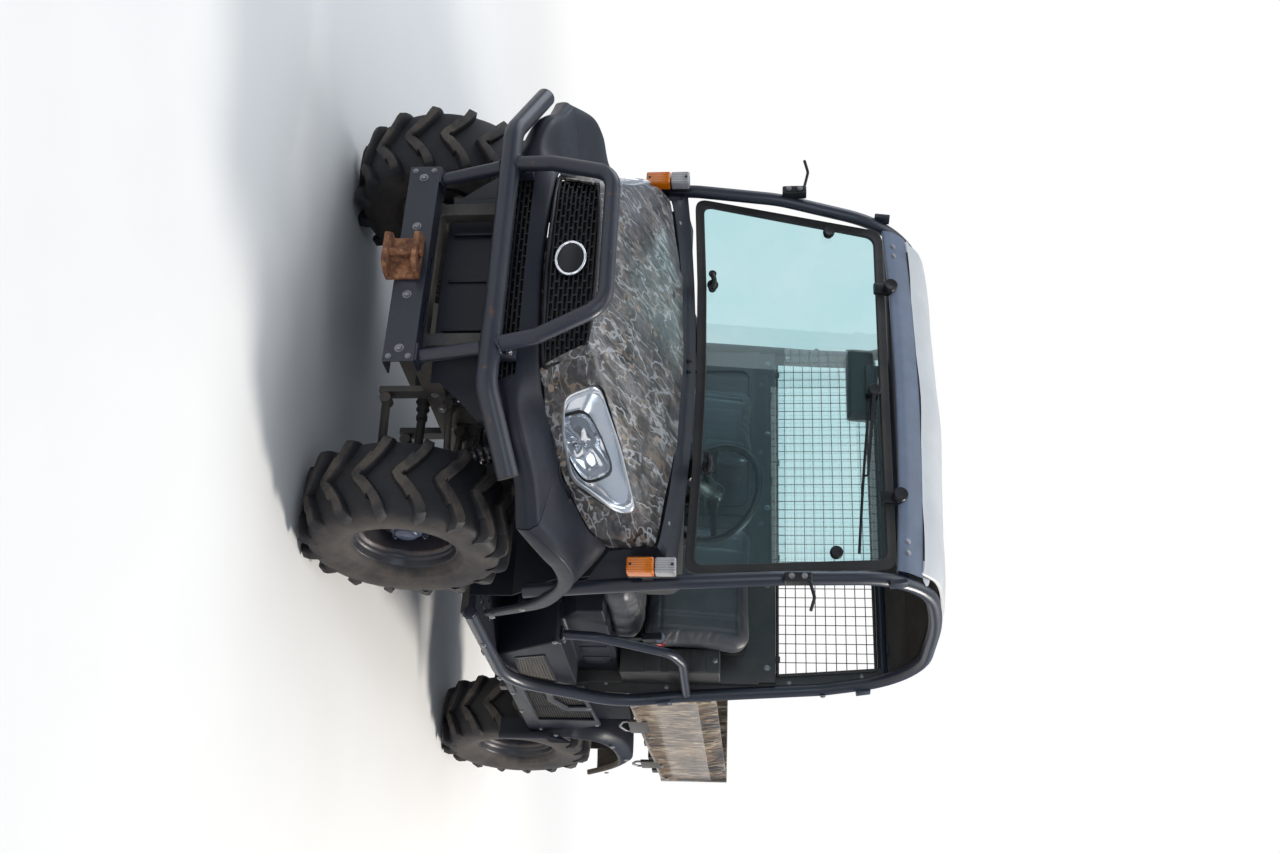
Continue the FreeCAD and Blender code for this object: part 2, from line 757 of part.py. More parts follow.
def build_chassis():
    """Two rails with cross members, outriggers, shock towers and the bed's hinge posts."""
    pieces = []
    for side, sign in (("left", 1), ("right", -1)):
        pieces.append(block(
            f"rail_{side}",
            (f"{sign} * rail_x - rail_width / 2", f"{sign} * rail_x + rail_width / 2"),
            ("rail_front_y", "rail_rear_y"),
            ("rail_bottom", RAIL_TOP),
        ))
    for label, y in CROSS_MEMBERS:
        pieces.append(block(
            f"cross_{label}",
            (f"-({RAIL_IN}) - 5", f"{RAIL_IN} + 5"),
            (f"{y} - 25", f"{y} + 25"),
            ("rail_bottom + 5", "rail_bottom + 5 + cross_height"),
        ))
    tower_top = str(SHOCK_TOWER_Z)
    for end, y in (("front", "0"), ("rear", "wheelbase")):
        for side in (1, -1):
            label = f"{end}_{'left' if side > 0 else 'right'}"
            near, far = (f"{RAIL_OUT} - 20", RAIL_OUT) if side > 0 else (f"-({RAIL_OUT})", f"20 - ({RAIL_OUT})")
            pieces.append(block(f"tower_{label}", (near, far), (f"{y} - 50", f"{y} + 50"),
                                (f"{RAIL_TOP} - 5", f"{tower_top} + 12")))
            reach = (RAIL_OUT + " - 5", "372") if side > 0 else ("-372", f"5 - ({RAIL_OUT})")
            pieces.append(block(f"tower_top_{label}", reach, (f"{y} - 40", f"{y} + 40"),
                                (tower_top, f"{tower_top} + 12")))
            for place_name, spread in (("fore", "-130"), ("aft", "130")):
                pieces.append(block(f"hanger_{label}_{place_name}", (near, far),
                                    (f"{y} + {spread} - 22", f"{y} + {spread} + 22"),
                                    (f"{AXLE_Z} - 98", "rail_bottom + 5")))
            for place_name, spread in (("fore", "-90"), ("aft", "90")):
                pieces.append(block(f"ear_{label}_{place_name}", (near, far),
                                    (f"{y} + {spread} - 22", f"{y} + {spread} + 22"),
                                    (f"{RAIL_TOP} - 5", f"{AXLE_Z} + 125")))
    for label, y in (("fore", "floor_front_y + 20"), ("middle", "760"), ("aft", "wall_front_y - 60")):
        for side in (1, -1):
            low, high = f"{RAIL_OUT} - 5", "sill_x - cage_radius - seat_gap"
            span = (low, high) if side > 0 else (f"-({high})", f"-({low})")
            pieces.append(block(f"outrigger_{label}_{'left' if side > 0 else 'right'}", span,
                                (f"{y} - 20", f"{y} + 20"),
                                (f"{RAIL_TOP} - 5", "floor_top - floor_thickness")))
    for side in (1, -1):
        label = "left" if side > 0 else "right"
        pieces.append(block(
            f"nose_post_{label}",
            (f"{side} * rail_x - 20", f"{side} * rail_x + 20"),
            ("rail_front_y", "rail_front_y + 40"),
            (f"{RAIL_TOP} - 5", "690"),
        ))
        pieces.append(block(
            f"hinge_post_{label}",
            (f"{side} * rail_x - 8", f"{side} * rail_x + 8"),
            ("bed_pivot_y - 30", "rail_rear_y"),
            (f"{RAIL_TOP} - 5", "bed_pivot_z + 25"),
        ))
    pieces.append(block("nose_bridge", ("-rail_x - 20", "rail_x + 20"), ("rail_front_y", "rail_front_y + 30"),
                        ("670", "695")))
    for side in (1, -1):
        pieces.append(block(f"hood_lug_{'left' if side > 0 else 'right'}",
                            (f"{side} * 92 - 4", f"{side} * 92 + 4"),
                            ("hood_pivot_y - 10", "rail_front_y + 30"), ("690", "hood_pivot_z + 10")))
    frame = fuse("frame_solid", *pieces)
    holes = rod("hinge_post_holes", "x", ("-rail_x - 20", "rail_x + 20"), "pivot_pin_radius + seat_gap",
                y="bed_pivot_y", z="bed_pivot_z")
    lug_holes = rod("hood_lug_holes", "x", ("-110", "110"), "6 + seat_gap", y="hood_pivot_y", z="hood_pivot_z")
    node("chassis_frame", cut("frame_with_holes", frame, holes, lug_holes))
    node("engine_block", block("engine_solid", (f"-({RAIL_IN}) + 8", f"{RAIL_IN} - 8"),
                               ("wheelbase - engine_ahead", "wheelbase - engine_ahead + engine_length"),
                               ("rail_bottom + 5 + cross_height", "bed_bottom - 60")))
    build_driveline()


def build_driveline():
    """Axle drives under their cross members, and the shaft between them."""
    pieces = []
    for label, y, half_length in (("front", "0", 100), ("rear", "wheelbase", 115)):
        pieces.append(block(f"{label}_drive_case", ("-95", "95"),
                            (f"{y} - {half_length}", f"{y} + {half_length}"),
                            (f"{AXLE_Z} - 78", "rail_bottom + 5")))
    pieces.append(rod("prop_shaft", "y", ("90", "wheelbase - 100"), "19", z=f"{AXLE_Z} - 22"))
    node("driveline", fuse("driveline_solid", *pieces))


def build_steering():
    """The rack on the rails, the shaft through the toe board and the steering wheel."""
    rack_z = f"{RAIL_TOP} + 22"
    rack = rod("rack_housing", "x", (f"-({RAIL_OUT})", RAIL_OUT), "22", y="152", z=rack_z)
    gaiters = rod("rack_gaiters", "x", (f"-({RAIL_OUT}) - 45", f"{RAIL_OUT} + 45"), "17", y="152", z=rack_z)
    stubs = rod("rack_stubs", "x", (f"-({RAIL_OUT}) - 75", f"{RAIL_OUT} + 75"), "8", y="152", z=rack_z)
    rack_top = Vector(190, 152, size.rail_bottom + size.rail_height + 26)
    dash_foot = Vector(size.steering_x - 4, 330, 900)
    shaft = straight("steering_shaft", rack_top, dash_foot, "11")
    node("steering_rack", fuse("steering_rack_solid", rack, gaiters, stubs, shaft))
    build_steering_wheel()


def build_steering_wheel():
    """A faceted ring with three spokes and a hub."""
    rings = (
        # ring, height over the ring's plane, radius
        ("low", -13, "steering_radius - 8"),
        ("middle", 0, "steering_radius"),
        ("high", 13, "steering_radius - 8"),
    )
    sections = []
    for label, height, radius in rings:
        outline = doc.addObject("Part::RegularPolygon", f"steering_ring_{label}")
        bind(outline, Polygon="24", Circumradius=radius)
        place(outline, z=height)
        sections.append(outline)
    hollow = rod("steering_ring_hollow", "z", ("-20", "20"), "steering_radius - 30")
    ring = cut("steering_ring", loft("steering_ring_solid", sections), hollow)
    pieces = [ring, rod("steering_hub", "z", ("-42", "8"), "36")]
    for label, angle in (("left", 0), ("right", 180), ("low", 90)):
        spoke = block(f"spoke_{label}", ("20", "steering_radius - 22"), ("-11", "11"), ("-16", "-8"))
        pieces.append(moved(f"spoke_{label}_set", spoke, "0", "0", "0", Rotation(Vector(0, 0, 1), angle)))
    wheel = fuse("steering_wheel_solid", *pieces)
    lean = Rotation(Vector(1, 0, 0), -(90 - size.wheel_tilt))
    node("steering_wheel", moved("steering_wheel_set", wheel, "steering_x", "steering_y",
                                 "steering_z", lean))


# Cab

def build_floor():
    """The floor with its toe board, which has a hole for the steering shaft."""
    floor = block("floor_slab", ("-floor_half_width", "floor_half_width"),
                  ("floor_front_y", "wall_front_y"), ("floor_top - floor_thickness", "floor_top"))
    front = size.floor_front_y
    top = size.floor_top
    line = [(front, top - size.floor_thickness), (front, 570), (262, 715), (214, 905), (208, 960)]
    sections = []
    for x in (-size.toe_half_width, size.toe_half_width):
        band = strip(line, -size.sheet_wall)
        sections.append(polygon(f"toe_section_{'left' if x > 0 else 'right'}",
                                [Vector(x, a, b) for a, b in band]))
    toe = loft("toe_board", sections)
    solid = fuse("floor_solid", floor, toe)
    way = straight("steering_shaft_way", Vector(190, 152, size.rail_bottom + size.rail_height + 26),
                   Vector(size.steering_x - 4, 330, 900), "24")
    node("floor_pan", cut("floor_with_hole", solid, way))


def build_dashboard():
    """A moulded dashboard with a shroud round the steering column."""
    line = [("208 + seat_gap", "960"), ("208 + seat_gap", "1085"), ("320", "1112"), ("392", "1078"),
            ("398", "1000"), ("340", "905"), ("214 + seat_gap", "905")]
    owner = body("dash_moulding")
    drawing = sketch(owner, "dash_outline", "YZ_Plane", [line])
    pad(owner, "dash_pad", drawing, "toe_half_width * 2 - 20", both=True)
    lean = math.radians(size.wheel_tilt)
    hub = Vector(size.steering_x, size.steering_y, size.steering_z)
    axis = Vector(0, -math.cos(lean), -math.sin(lean))
    shroud = straight("column_shroud", hub + axis * (42 + size.seat_gap), hub + axis * 190, "38")
    node("dashboard", fuse("dashboard_solid", owner, shroud))


def build_pedals():
    """Brake and accelerator pedals hung from the dashboard."""
    pieces = []
    for label, x, width in (("brake", 250, 70), ("accelerator", 365, 55)):
        pad_plate = block(f"{label}_pad", (f"{x} - {width / 2}", f"{x} + {width / 2}"),
                          ("405", "413"), ("560", "640"))
        stem = straight(f"{label}_stem", Vector(x, 405, 610), Vector(x, 330, 903), "7")
        pieces.append(fuse(f"{label}_pedal", pad_plate, stem))
    node("pedals", *pieces)


def build_seats():
    """The seat box over the floor, two cushions and two backrests."""
    front, step, rear = "659", "780", "wall_front_y"
    side = [("seat_front_y + 60", "845 - 15"), (rear, "845 - 15"), (rear, "floor_top"),
            (step, "floor_top"), (front, "700"), ("seat_front_y + 60", "740")]
    owner = body("seat_box")
    drawing = sketch(owner, "seat_box_outline", "YZ_Plane", [side])
    pad(owner, "seat_box_pad", drawing, "1310", both=True)
    wing = body("seat_wing")
    outline = [("655", "672"), ("672", "689"), ("1084.7", "689"), ("1084.7", "floor_top"), ("780", "floor_top"),
               ("668", "650")]
    wings = sketch(wing, "seat_wing_outline", "YZ_Plane", [outline])
    pad(wing, "seat_wing_pad", wings, "floor_half_width * 2", both=True)
    node("seat_base", fuse("seat_base_solid", owner, wing))
    cushions = []
    backs = []
    for label, low, high in (("driver", 147, 628), ("passenger", -628, 125)):
        cushion = block(f"{label}_cushion", (low, high), ("seat_front_y", "seat_rear_y - 60"),
                        ("seat_top - cushion_thickness + seat_gap", "seat_top"))
        cushions.append(cushion)
    for label, low, high in (("driver", 147, 628), ("passenger", -440, -118)):
        owner = body(f"{label}_back")
        line = [("seat_rear_y - 140", "seat_top + seat_gap"), ("seat_rear_y - 40", "seat_top + seat_gap"),
                ("seat_rear_y + 40", "backrest_top"), ("seat_rear_y - 50", "backrest_top")]
        drawing = sketch(owner, f"{label}_back_outline", "YZ_Plane", [line])
        pad(owner, f"{label}_back_pad", drawing, f"{high - low}")
        place(owner, x=low)
        backs.append(owner)
    node("seat_cushions", *cushions)
    node("seat_backrests", *backs)


def build_rear_wall():
    """The wall behind the seats with its top rail and the moulded duct on the left."""
    half = "700"
    wall = block("wall_sheet", (f"-{half}", half), ("wall_front_y", "wall_front_y + 14"), ("floor_top", "wall_top - 60"))
    rail = block("wall_rail", (f"-{half} + 8", f"{half} - 8"), ("wall_front_y", "wall_front_y + 36"),
                 ("wall_top - 62", "wall_top"))
    duct = block("wall_duct", ("609", "700"), ("wall_front_y - 110", "wall_front_y + 1"), ("840", "1195"))
    node("rear_wall", fuse("rear_wall_solid", wall, rail, duct))


def build_screen():
    """A framed mesh of crossing wires between the rear wall and the roof."""
    low, high = size.wall_top + size.seat_gap, size.screen_top
    half = 668.0
    y = size.wall_front_y + 18
    bars = []
    bars.append(block("screen_low_bar", (-half, half), (y - 6, y + 6), (low, low + 12)))
    bars.append(block("screen_high_bar", (-half + 30, half - 30), (y - 6, y + 6), (high - 12, high)))
    for sign in (-1, 1):
        start = Vector(sign * (half - 8), y, low + 6)
        end = Vector(sign * (half - 38), y, high - 6)
        bars.append(straight(f"screen_side_{'left' if sign > 0 else 'right'}", start, end, "6"))
    count = int((2 * half - 90) // size.mesh_pitch)
    first = -count / 2 * size.mesh_pitch
    for index in range(count + 1):
        x = first + index * size.mesh_pitch
        bars.append(block(f"screen_upright_{index}", (x - size.mesh_wire / 2, x + size.mesh_wire / 2),
                          (y - size.mesh_wire, y - 0.2), (low + 6, high - 6)))
    rows = int((high - low - 24) // size.mesh_pitch)
    for index in range(1, rows + 1):
        z = low + index * (high - low) / (rows + 1)
        reach = half - 8 - 30 * (z - low) / (high - low)
        bars.append(block(f"screen_level_{index}", (-reach, reach), (y + 0.2, y + size.mesh_wire),
                          (z - size.mesh_wire / 2, z + size.mesh_wire / 2)))
    node("rear_screen", fuse("rear_screen_solid", *bars))


# Roll cage and roof

def cage_points():
    """The left side of the cage: windshield post, roof rail, rear post and sill."""
    sill = size.sill_x
    rear = size.cage_rear_y
    top = size.cage_top_z
    return [
        Vector(752, 196, 640), Vector(730, 170, 1118), Vector(706, 196, 1413), Vector(652, 312, 1862),
        Vector(648, 699, top), Vector(664, rear - 30, top - 18), Vector(704, rear, 1560),
        Vector(742, rear - 16, 1048), Vector(sill, rear - 34, 830), Vector(sill, rear - 262, size.sill_z),
        Vector(sill, 330, size.sill_z),
    ]


def seat_on_cage(name, piece):
    """A piece on the left of the cage, hollowed where the tube passes."""
    tube_space = doc.getObject("cage_space")
    if tube_space is None:
        tube_space = tube("cage_space", cage_points(), "cage_radius + seat_gap", CAGE_BEND)
    return cut(name, piece, tube_space)


CAGE_BEND = 230.0


def build_cage():
    """The two bent sides of the cage and the tubes across it."""
    side = tube("cage_side", cage_points(), "cage_radius", CAGE_BEND)
    node("cage_left", side)
    node("cage_right", mirrored("cage_side_right", side))
    bars = []
    for label, x, y, z in (("front", 658, 340, 1788), ("rear", 684, 1216, 1776)):
        half = rod(f"cage_bar_{label}_left", "x", ("0", x), "cage_radius - 3", y=y, z=z)
        half = seat_on_cage(f"cage_bar_{label}_seat", half)
        bars.append(fuse(f"cage_bar_{label}", half, mirrored(f"cage_bar_{label}_right", half)))
    node("cage_crossbars", *bars)


ROOF_STATIONS = (
    # along the vehicle, edge height, middle height, half width
    (352, 1858, 1876, 642),
    (440, 1912, 1934, 638),
    (700, 1946, 1972, 636),
    (1040, 1936, 1962, 643),
    (1190, 1868, 1890, 660),
)


def build_roof():
    """A moulded roof between the cage sides, and the header over the windshield."""
    stations = []
    for y, edge, middle, half in ROOF_STATIONS:
        line = [(-half, edge - 14), (-half + 14, edge), (-half * 0.5, middle - 7), (0, middle),
                (half * 0.5, middle - 7), (half - 14, edge), (half, edge - 14)]
        stations.append((at_y(y), line))
    shell = seat_on_cage("roof_left_seat", panel("roof_shell", stations, size.roof_thickness))
    node("roof_panel", cut("roof_seated", shell, mirrored("roof_cage_space", doc.getObject("cage_space"))))
    header = []
    for x, rise in ((-626, -4), (-300, 12), (0, 16), (300, 12), (626, -4)):
        header.append((at_x(x), [(292, 1774 + rise), (300, 1802 + rise), (345.7, 1851.8 + rise)]))
    seated = seat_on_cage("header_left_seat", panel("header_shell", header, 8))
    node("roof_header", cut("header_seated", seated, mirrored("header_cage_space", doc.getObject("cage_space"))))


def build_windshield():
    """The glass in its black border, and the fittings bolted through it."""
    low = Vector(0, size.glass_bottom_y, size.glass_bottom_z)
    high = Vector(0, size.glass_top_y, size.glass_top_z)
    lean = math.degrees(math.atan2(high.y - low.y, high.z - low.z))
    slope = (high - low).Length
    owner = body("glass_pane")
    border = "gasket_width"
    outline = [
        (f"{border} - glass_half_bottom", f"{border}"), ("0", f"{border} + glass_crown"),
        (f"glass_half_bottom - {border}", f"{border}"),
        (f"glass_half_top - {border}", f"{slope} - {border}"),
        (f"{border} - glass_half_top", f"{slope} - {border}"),
    ]
    drawing = sketch(owner, "glass_outline", "XZ_Plane", [outline])
    pad(owner, "glass_pad", drawing, "glass_thickness", both=True)
    frame = body("glass_border")
    outer = [
        ("-glass_half_bottom", "0"), ("0", "glass_crown"), ("glass_half_bottom", "0"),
        ("glass_half_top", f"{slope}"), ("-glass_half_top", f"{slope}"),
    ]
    rim_drawing = sketch(frame, "border_outline", "XZ_Plane", [outer, outline])
    pad(frame, "border_pad", rim_drawing, "glass_thickness + 4", both=True)
    turn = Rotation(Vector(1, 0, 0), -lean)
    for piece in (owner, frame):
        piece.Placement = FreeCAD.Placement(low, turn)
    node("windshield_glass", owner)
    node("windshield_border", frame)
    build_fittings(low, (high - low).normalize(), slope)


def build_fittings(low, up, slope):
    """Hinge covers, latches, knobs and the wiper on the windshield."""
    out = Vector(0, -up.z, up.y)

    def on_glass(x, height, proud):
        return Vector(x, 0, 0) + low + up * height + out * proud

    glass = size.glass_thickness / 2 + size.seat_gap
    border = glass + 2
    pieces = []
    for sign in (-1, 1):
        side = "left" if sign > 0 else "right"
        cover = straight(f"hinge_cover_{side}", on_glass(sign * 392, slope + 12, 15),
                         on_glass(sign * 392, slope + 20, 40), "24")
        foot = straight(f"hinge_foot_{side}", on_glass(sign * 392, slope - 14, border),
                        on_glass(sign * 392, slope - 14, 26), "10")
        pieces.append(fuse(f"glass_hinge_{side}", cover, foot))
        pieces.append(straight(f"glass_knob_{side}", on_glass(sign * 600, slope - 190, glass),
                               on_glass(sign * 600, slope - 190, glass + 28), "20"))
        pieces.append(straight(f"latch_{side}", on_glass(sign * 342, 66, glass),
                               on_glass(sign * 342, 66, glass + 38), "11"))
    hub = straight("wiper_hub", on_glass(16, slope - 52, glass), on_glass(16, slope - 52, glass + 30), "18")
    arm = straight("wiper_arm", on_glass(16, slope - 52, glass + 24), on_glass(330, slope - 84, glass + 22), "5")
    blade = straight("wiper_blade", on_glass(40, slope - 70, glass + 8), on_glass(590, slope - 112, glass + 8), "7")
    link = straight("wiper_link", on_glass(328, slope - 84, glass + 24), on_glass(328, slope - 92, glass + 8), "5")
    pieces.append(fuse("wiper", hub, arm, blade, link))
    node("windshield_fittings", *pieces)


def build_mirror_stalks():
    """The mounts on the windshield posts with the thin rods that carried the mirrors."""
    left = [Vector(718, 160, 1496), Vector(786, 150, 1512), Vector(830, 140, 1500)]
    mount = block("mirror_mount", ("702", "734"), ("150", "196"), ("1424", "1506"))
    rod_left = tube("mirror_rod", left, "5", 30.0)
    stalk = fuse("mirror_stalk", seat_on_cage("mirror_seat", mount), rod_left)
    node("mirror_stalks", both_sides("mirror_stalk_pair", stalk))


def build_turn_signals():
    """A turn signal on each windshield post, clear above and amber below."""
    lamp = block("turn_lamp", ("690", "742"), ("68", "128"), ("978", "1110"))
    foot = block("turn_foot", ("716", "738"), ("120", "176"), ("1000", "1040"))
    signal = fuse("turn_signal", lamp, seat_on_cage("turn_seat", foot))
    node("turn_signals", both_sides("turn_signal_pair", signal))


# Hood, lamps, grille and the front panels

HOOD_STATIONS = (
    # along the vehicle, then (across, height) of the edge, side, shoulder, top and middle
    (-445, (285, 868), (285, 875), (280, 886), (150, 898), (0, 901)),
    (-413, (333, 756), (338, 830), (318, 905), (170, 924), (0, 927)),
    (-360, (372, 760), (375, 840), (352, 922), (190, 947), (0, 952)),
    (-282, (431, 762), (432, 860), (405, 945), (220, 974), (0, 982)),
    (-135, (548, 802), (545, 895), (515, 985), (280, 1022), (0, 1036)),
    (0, (640, 862), (635, 940), (605, 1022), (330, 1065), (0, 1080)),
    (98, (652, 907), (652, 980), (636, 1048), (350, 1092), (0, 1106)),
)


def hood_lines():
    """The hood's sections over its whole width."""
    stations = []
    for y, *half in HOOD_STATIONS:
        left = [(x, z) for x, z in half]
        right = [(-x, z) for x, z in half[:-1]]
        stations.append((at_y(y), right + left[::-1]))
    return stations


LAMP_CORNERS = (
    Vector(336, -345, 906), Vector(368, -328, 797), Vector(440, -243, 786), Vector(540, -125, 806),
    Vector(612, -45, 945), Vector(602, -38, 998), Vector(470, -190, 962),
)
LAMP_WAY = Vector(0.62, -0.60, 0.5)


def lamp_prism(name, grow):
    """The headlamp's outline carried through the hood, grown by a gap."""
    way = Vector(LAMP_WAY).normalize()
    middle = sum(LAMP_CORNERS, Vector()) * (1 / len(LAMP_CORNERS))
    corners = []
    for corner in LAMP_CORNERS:
        foot = corner - way * (corner - middle).dot(way)
        out = (foot - middle).normalize()
        corners.append(foot + out * grow - way * 130)
    prism = doc.addObject("Part::Extrusion", name)
    prism.Base = polygon(f"{name}_outline", corners)
    prism.DirMode = "Custom"
    prism.Dir = way
    prism.LengthFwd = 260
    prism.Solid = True
    return prism


def hinge_straps():
    """Two straps behind the grille, from the hood down to its hinge pins."""
    pieces = []
    for side in (1, -1):
        label = "left" if side > 0 else "right"
        span = (f"{side} * 102 - 4", f"{side} * 102 + 4")
        pieces.append(block(f"hood_strap_{label}", span, ("hood_pivot_y", "hood_pivot_y + 16"),
                            ("hood_pivot_z - 10", "930")))
        pieces.append(block(f"hood_strap_foot_{label}", span, ("hood_pivot_y - 10", "hood_pivot_y + 16"),
                            ("hood_pivot_z - 10", "hood_pivot_z + 8")))
        pieces.append(rod(f"hood_pin_{label}", "x", (f"{side} * 94 - 10", f"{side} * 94 + 10"), "6",
                          y="hood_pivot_y", z="hood_pivot_z"))
    return pieces


def build_hood():
    """The hood shell with the headlamps let into it and the grille in its nose."""
    lines = hood_lines()
    shell = panel("hood_shell", lines, size.hood_wall, bend=size.moulding_bend, ruled=False)
    opening = both_sides("lamp_openings", lamp_prism("lamp_opening", size.lamp_gap))
    open_shell = cut("hood_with_lamps", shell, opening)
    node("hood", fuse("hood_solid", open_shell, *hinge_straps()))
    thick = panel("lamp_block", lines, size.lamp_depth, size.lamp_proud)
    lamp = common("headlamp_left", thick, lamp_prism("lamp_outline", 0))
    node("headlamps", both_sides("headlamp_pair", lamp))
    build_grille()


def build_grille():
    """A bowed grille with staggered openings, and a plain round badge."""
    edge = (
        # across, along, bottom, top
        (-322, -408, 762, 792),
        (-272, -428, 757, 874),
        (0, -447, 752, 893.6),
        (272, -428, 757, 874),
        (322, -408, 762, 792),
    )
    stations = [(at_x(x), [(y, low), (y, high)]) for x, y, low, high in edge]
    plate = panel("grille_plate", stations, size.grille_wall)
    slots = []
    rows = 6
    for row in range(rows):
        z = 770 + row * size.slot_pitch_z
        reach = 300 - row * 9
        shift = size.slot_pitch_x / 2 if row % 2 else 0
        count = int((reach - shift) // size.slot_pitch_x)
        for step in range(-count, count + 1):
            x = step * size.slot_pitch_x + shift
            if abs(x) + size.slot_width / 2 > reach or math.hypot(x, z - 815) < size.badge_radius + 20:
                continue
            slots.append(block(f"grille_slot_{row}_{step + count}",
                               (f"{x} - slot_width / 2", f"{x} + slot_width / 2"), ("-480", "-390"),
                               (f"{z} - slot_height / 2", f"{z} + slot_height / 2")))
    badge = rod("badge", "y", ("-462", "-440"), "badge_radius", z="815")
    node("grille", fuse("grille_solid", cut("grille_cut", plate, *slots), badge))


SKIRT_STATIONS = (
    # where the section leaves the hood: across, along, heading, then (outward, height) of the
    # lower lip, the belt, the shoulder and the upper edge
    (0, -400, 0, (40, 598), (58, 620), (60, 698), (50, 731)),
    (330, -380, 6, (44, 602), (64, 625), (66, 702), (45, 744)),
    (400, -322, 28, (112, 636), (126, 660), (124, 706), (6, 752)),
    (434, -287, 45, (166, 664), (178, 688), (160, 732), (5, 757)),
    (470, -235, 60, (196, 688), (208, 714), (180, 752), (5, 768)),
)
FENDER_START = (500, -190, 75, (264, 694), (270, 728), (228, 760), (6, 781))
FENDER_STATIONS = (
    # degrees up from level behind the wheel, then (across, radius) of the lower lip, the outer
    # edge, the shoulder and the inner edge, along the hood and then behind the lip
    (108, (790, 456), (790, 494), (750, 512), (557, 496)),
    (99, (795, 462), (796, 508), (756, 534), (602, 514)),
    (90, (796, 462), (796, 512), (758, 546), (649, 545)),
    (82, (794, 455), (794, 506), (762, 548), (661, 590)),
    (73, (790, 440), (790, 490), (768, 506), (736, 514)),
    (58, (784, 418), (783, 464), (768, 474), (740, 476)),
    (42, (775, 396), (773, 436), (760, 444), (740, 446)),
    (27, (767, 392), (765, 426), (752, 432), (740, 432)),
)
COWL_STATIONS = (
    # along, then (across, height) of the lower, side, shoulder and top points and the middle
    (104, (662, 905), (655, 985), (640, 1048), (350, 1090), (0, 1104)),
    (150, (690, 862), (682, 1000), (672, 1086), (350, 1112), (0, 1124)),
    (172, (734, 826), (730, 1048), (726, 1096), (350, 1130), (0, 1142)),
)


def skirt_station(station):
    """The plane and the points of one section of the front skirt."""
    x, y, heading, *points = station
    return upright(x, y, heading), points


def build_fascia():
    """The front panel under the hood with its lower grille, wrapped round both corners."""
    last = FENDER_START[2] - math.degrees(size.skirt_gap / FENDER_START[4][0])
    seam = (*FENDER_START[:2], last, *FENDER_START[3:])
    left = [skirt_station(station) for station in (*SKIRT_STATIONS[1:], seam)]
    middle = SKIRT_STATIONS[0]
    right = [skirt_station((-x, y, -heading, *points)) for x, y, heading, *points in
             (seam, *SKIRT_STATIONS[:0:-1])]
    lines = [*right, skirt_station(middle), *left]
    shell = panel("fascia_shell", lines, -size.sheet_wall, bend=size.moulding_bend / 2)
    slots = []
    rows = 3
    for row in range(rows):
        z = 642 + row * size.slot_pitch_z
        shift = size.slot_pitch_x / 2 if row % 2 else 0
        for step in range(-6, 7 - row % 2):
            x = step * size.slot_pitch_x + shift
            slots.append(block(f"fascia_slot_{row}_{step + 6}", (f"{x} - slot_width / 2", f"{x} + slot_width / 2"),
                               ("-490", "-400"), (f"{z} - slot_height / 2", f"{z} + slot_height / 2")))
    node("front_fascia", cut("fascia_with_slots", shell, *slots))


def build_front_fenders():
    """The fenders: from the hood's edge over the wheel, and down behind it to the sill."""
    stations = [skirt_station(FENDER_START)]
    stations.extend((radial(angle, 0), points) for angle, *points in FENDER_STATIONS)
    fender = panel("front_fender_shell", stations, -size.sheet_wall, bend=size.moulding_bend / 2)
    node("front_fenders", both_sides("front_fender_pair", seat_on_cage("front_fender", fender)))


def build_cowl():
    """The dark panel between the hood and the windshield, down to the fenders at its sides."""
    stations = []
    for y, *half in COWL_STATIONS:
        left = half[::-1]
        right = [(-x, z) for x, z in half[:-1]]
        stations.append((at_y(y), right + left))
    shell = seat_on_cage("cowl_left_notch", panel("cowl_shell", stations, size.sheet_wall))
    node("cowl_panel", cut("cowl_notched", shell, mirrored("cage_space_right", doc.getObject("cage_space"))))


# Brush guard

def build_guard():
    """The tube guard on its carrier, with the tow jaw."""
    y, z = size.guard_y, size.guard_z
    main = tube("guard_main", [Vector(-668, y + 108, z + 62), Vector(-440, y, z), Vector(440, y, z),
                               Vector(668, y + 108, z + 62)], "guard_radius", 130.0)
    hoop = tube("guard_hoop", [Vector(-316, y, z), Vector(-300, y - 20, z + 130), Vector(-226, y - 58, size.hoop_top_z),
                               Vector(226, y - 58, size.hoop_top_z), Vector(300, y - 20, z + 130),
                               Vector(316, y, z)], "hoop_radius", 75.0)
    carrier_top = size.carrier_bottom + size.carrier_height
    struts = []
    for sign in (-1, 1):
        side = "left" if sign > 0 else "right"
        struts.append(straight(f"guard_strut_{side}", Vector(sign * 316, y + 6, z),
                               Vector(sign * 311, size.carrier_front_y + 26, carrier_top + 14), "strut_radius"))
        struts.append(block(f"guard_foot_{side}", (sign * 311 - 28, sign * 311 + 28),
                            ("carrier_front_y", "carrier_front_y + 60"),
                            ("carrier_bottom + carrier_height + seat_gap", "carrier_bottom + carrier_height + 20")))
        struts.append(block(f"guard_bracket_{side}", (sign * 316 - 22, sign * 316 + 22), (y + 15, -449.2),
                            (z + 6, z + 66)))
    node("brush_guard", fuse("guard_solid", main, hoop, *struts))
    build_carrier()


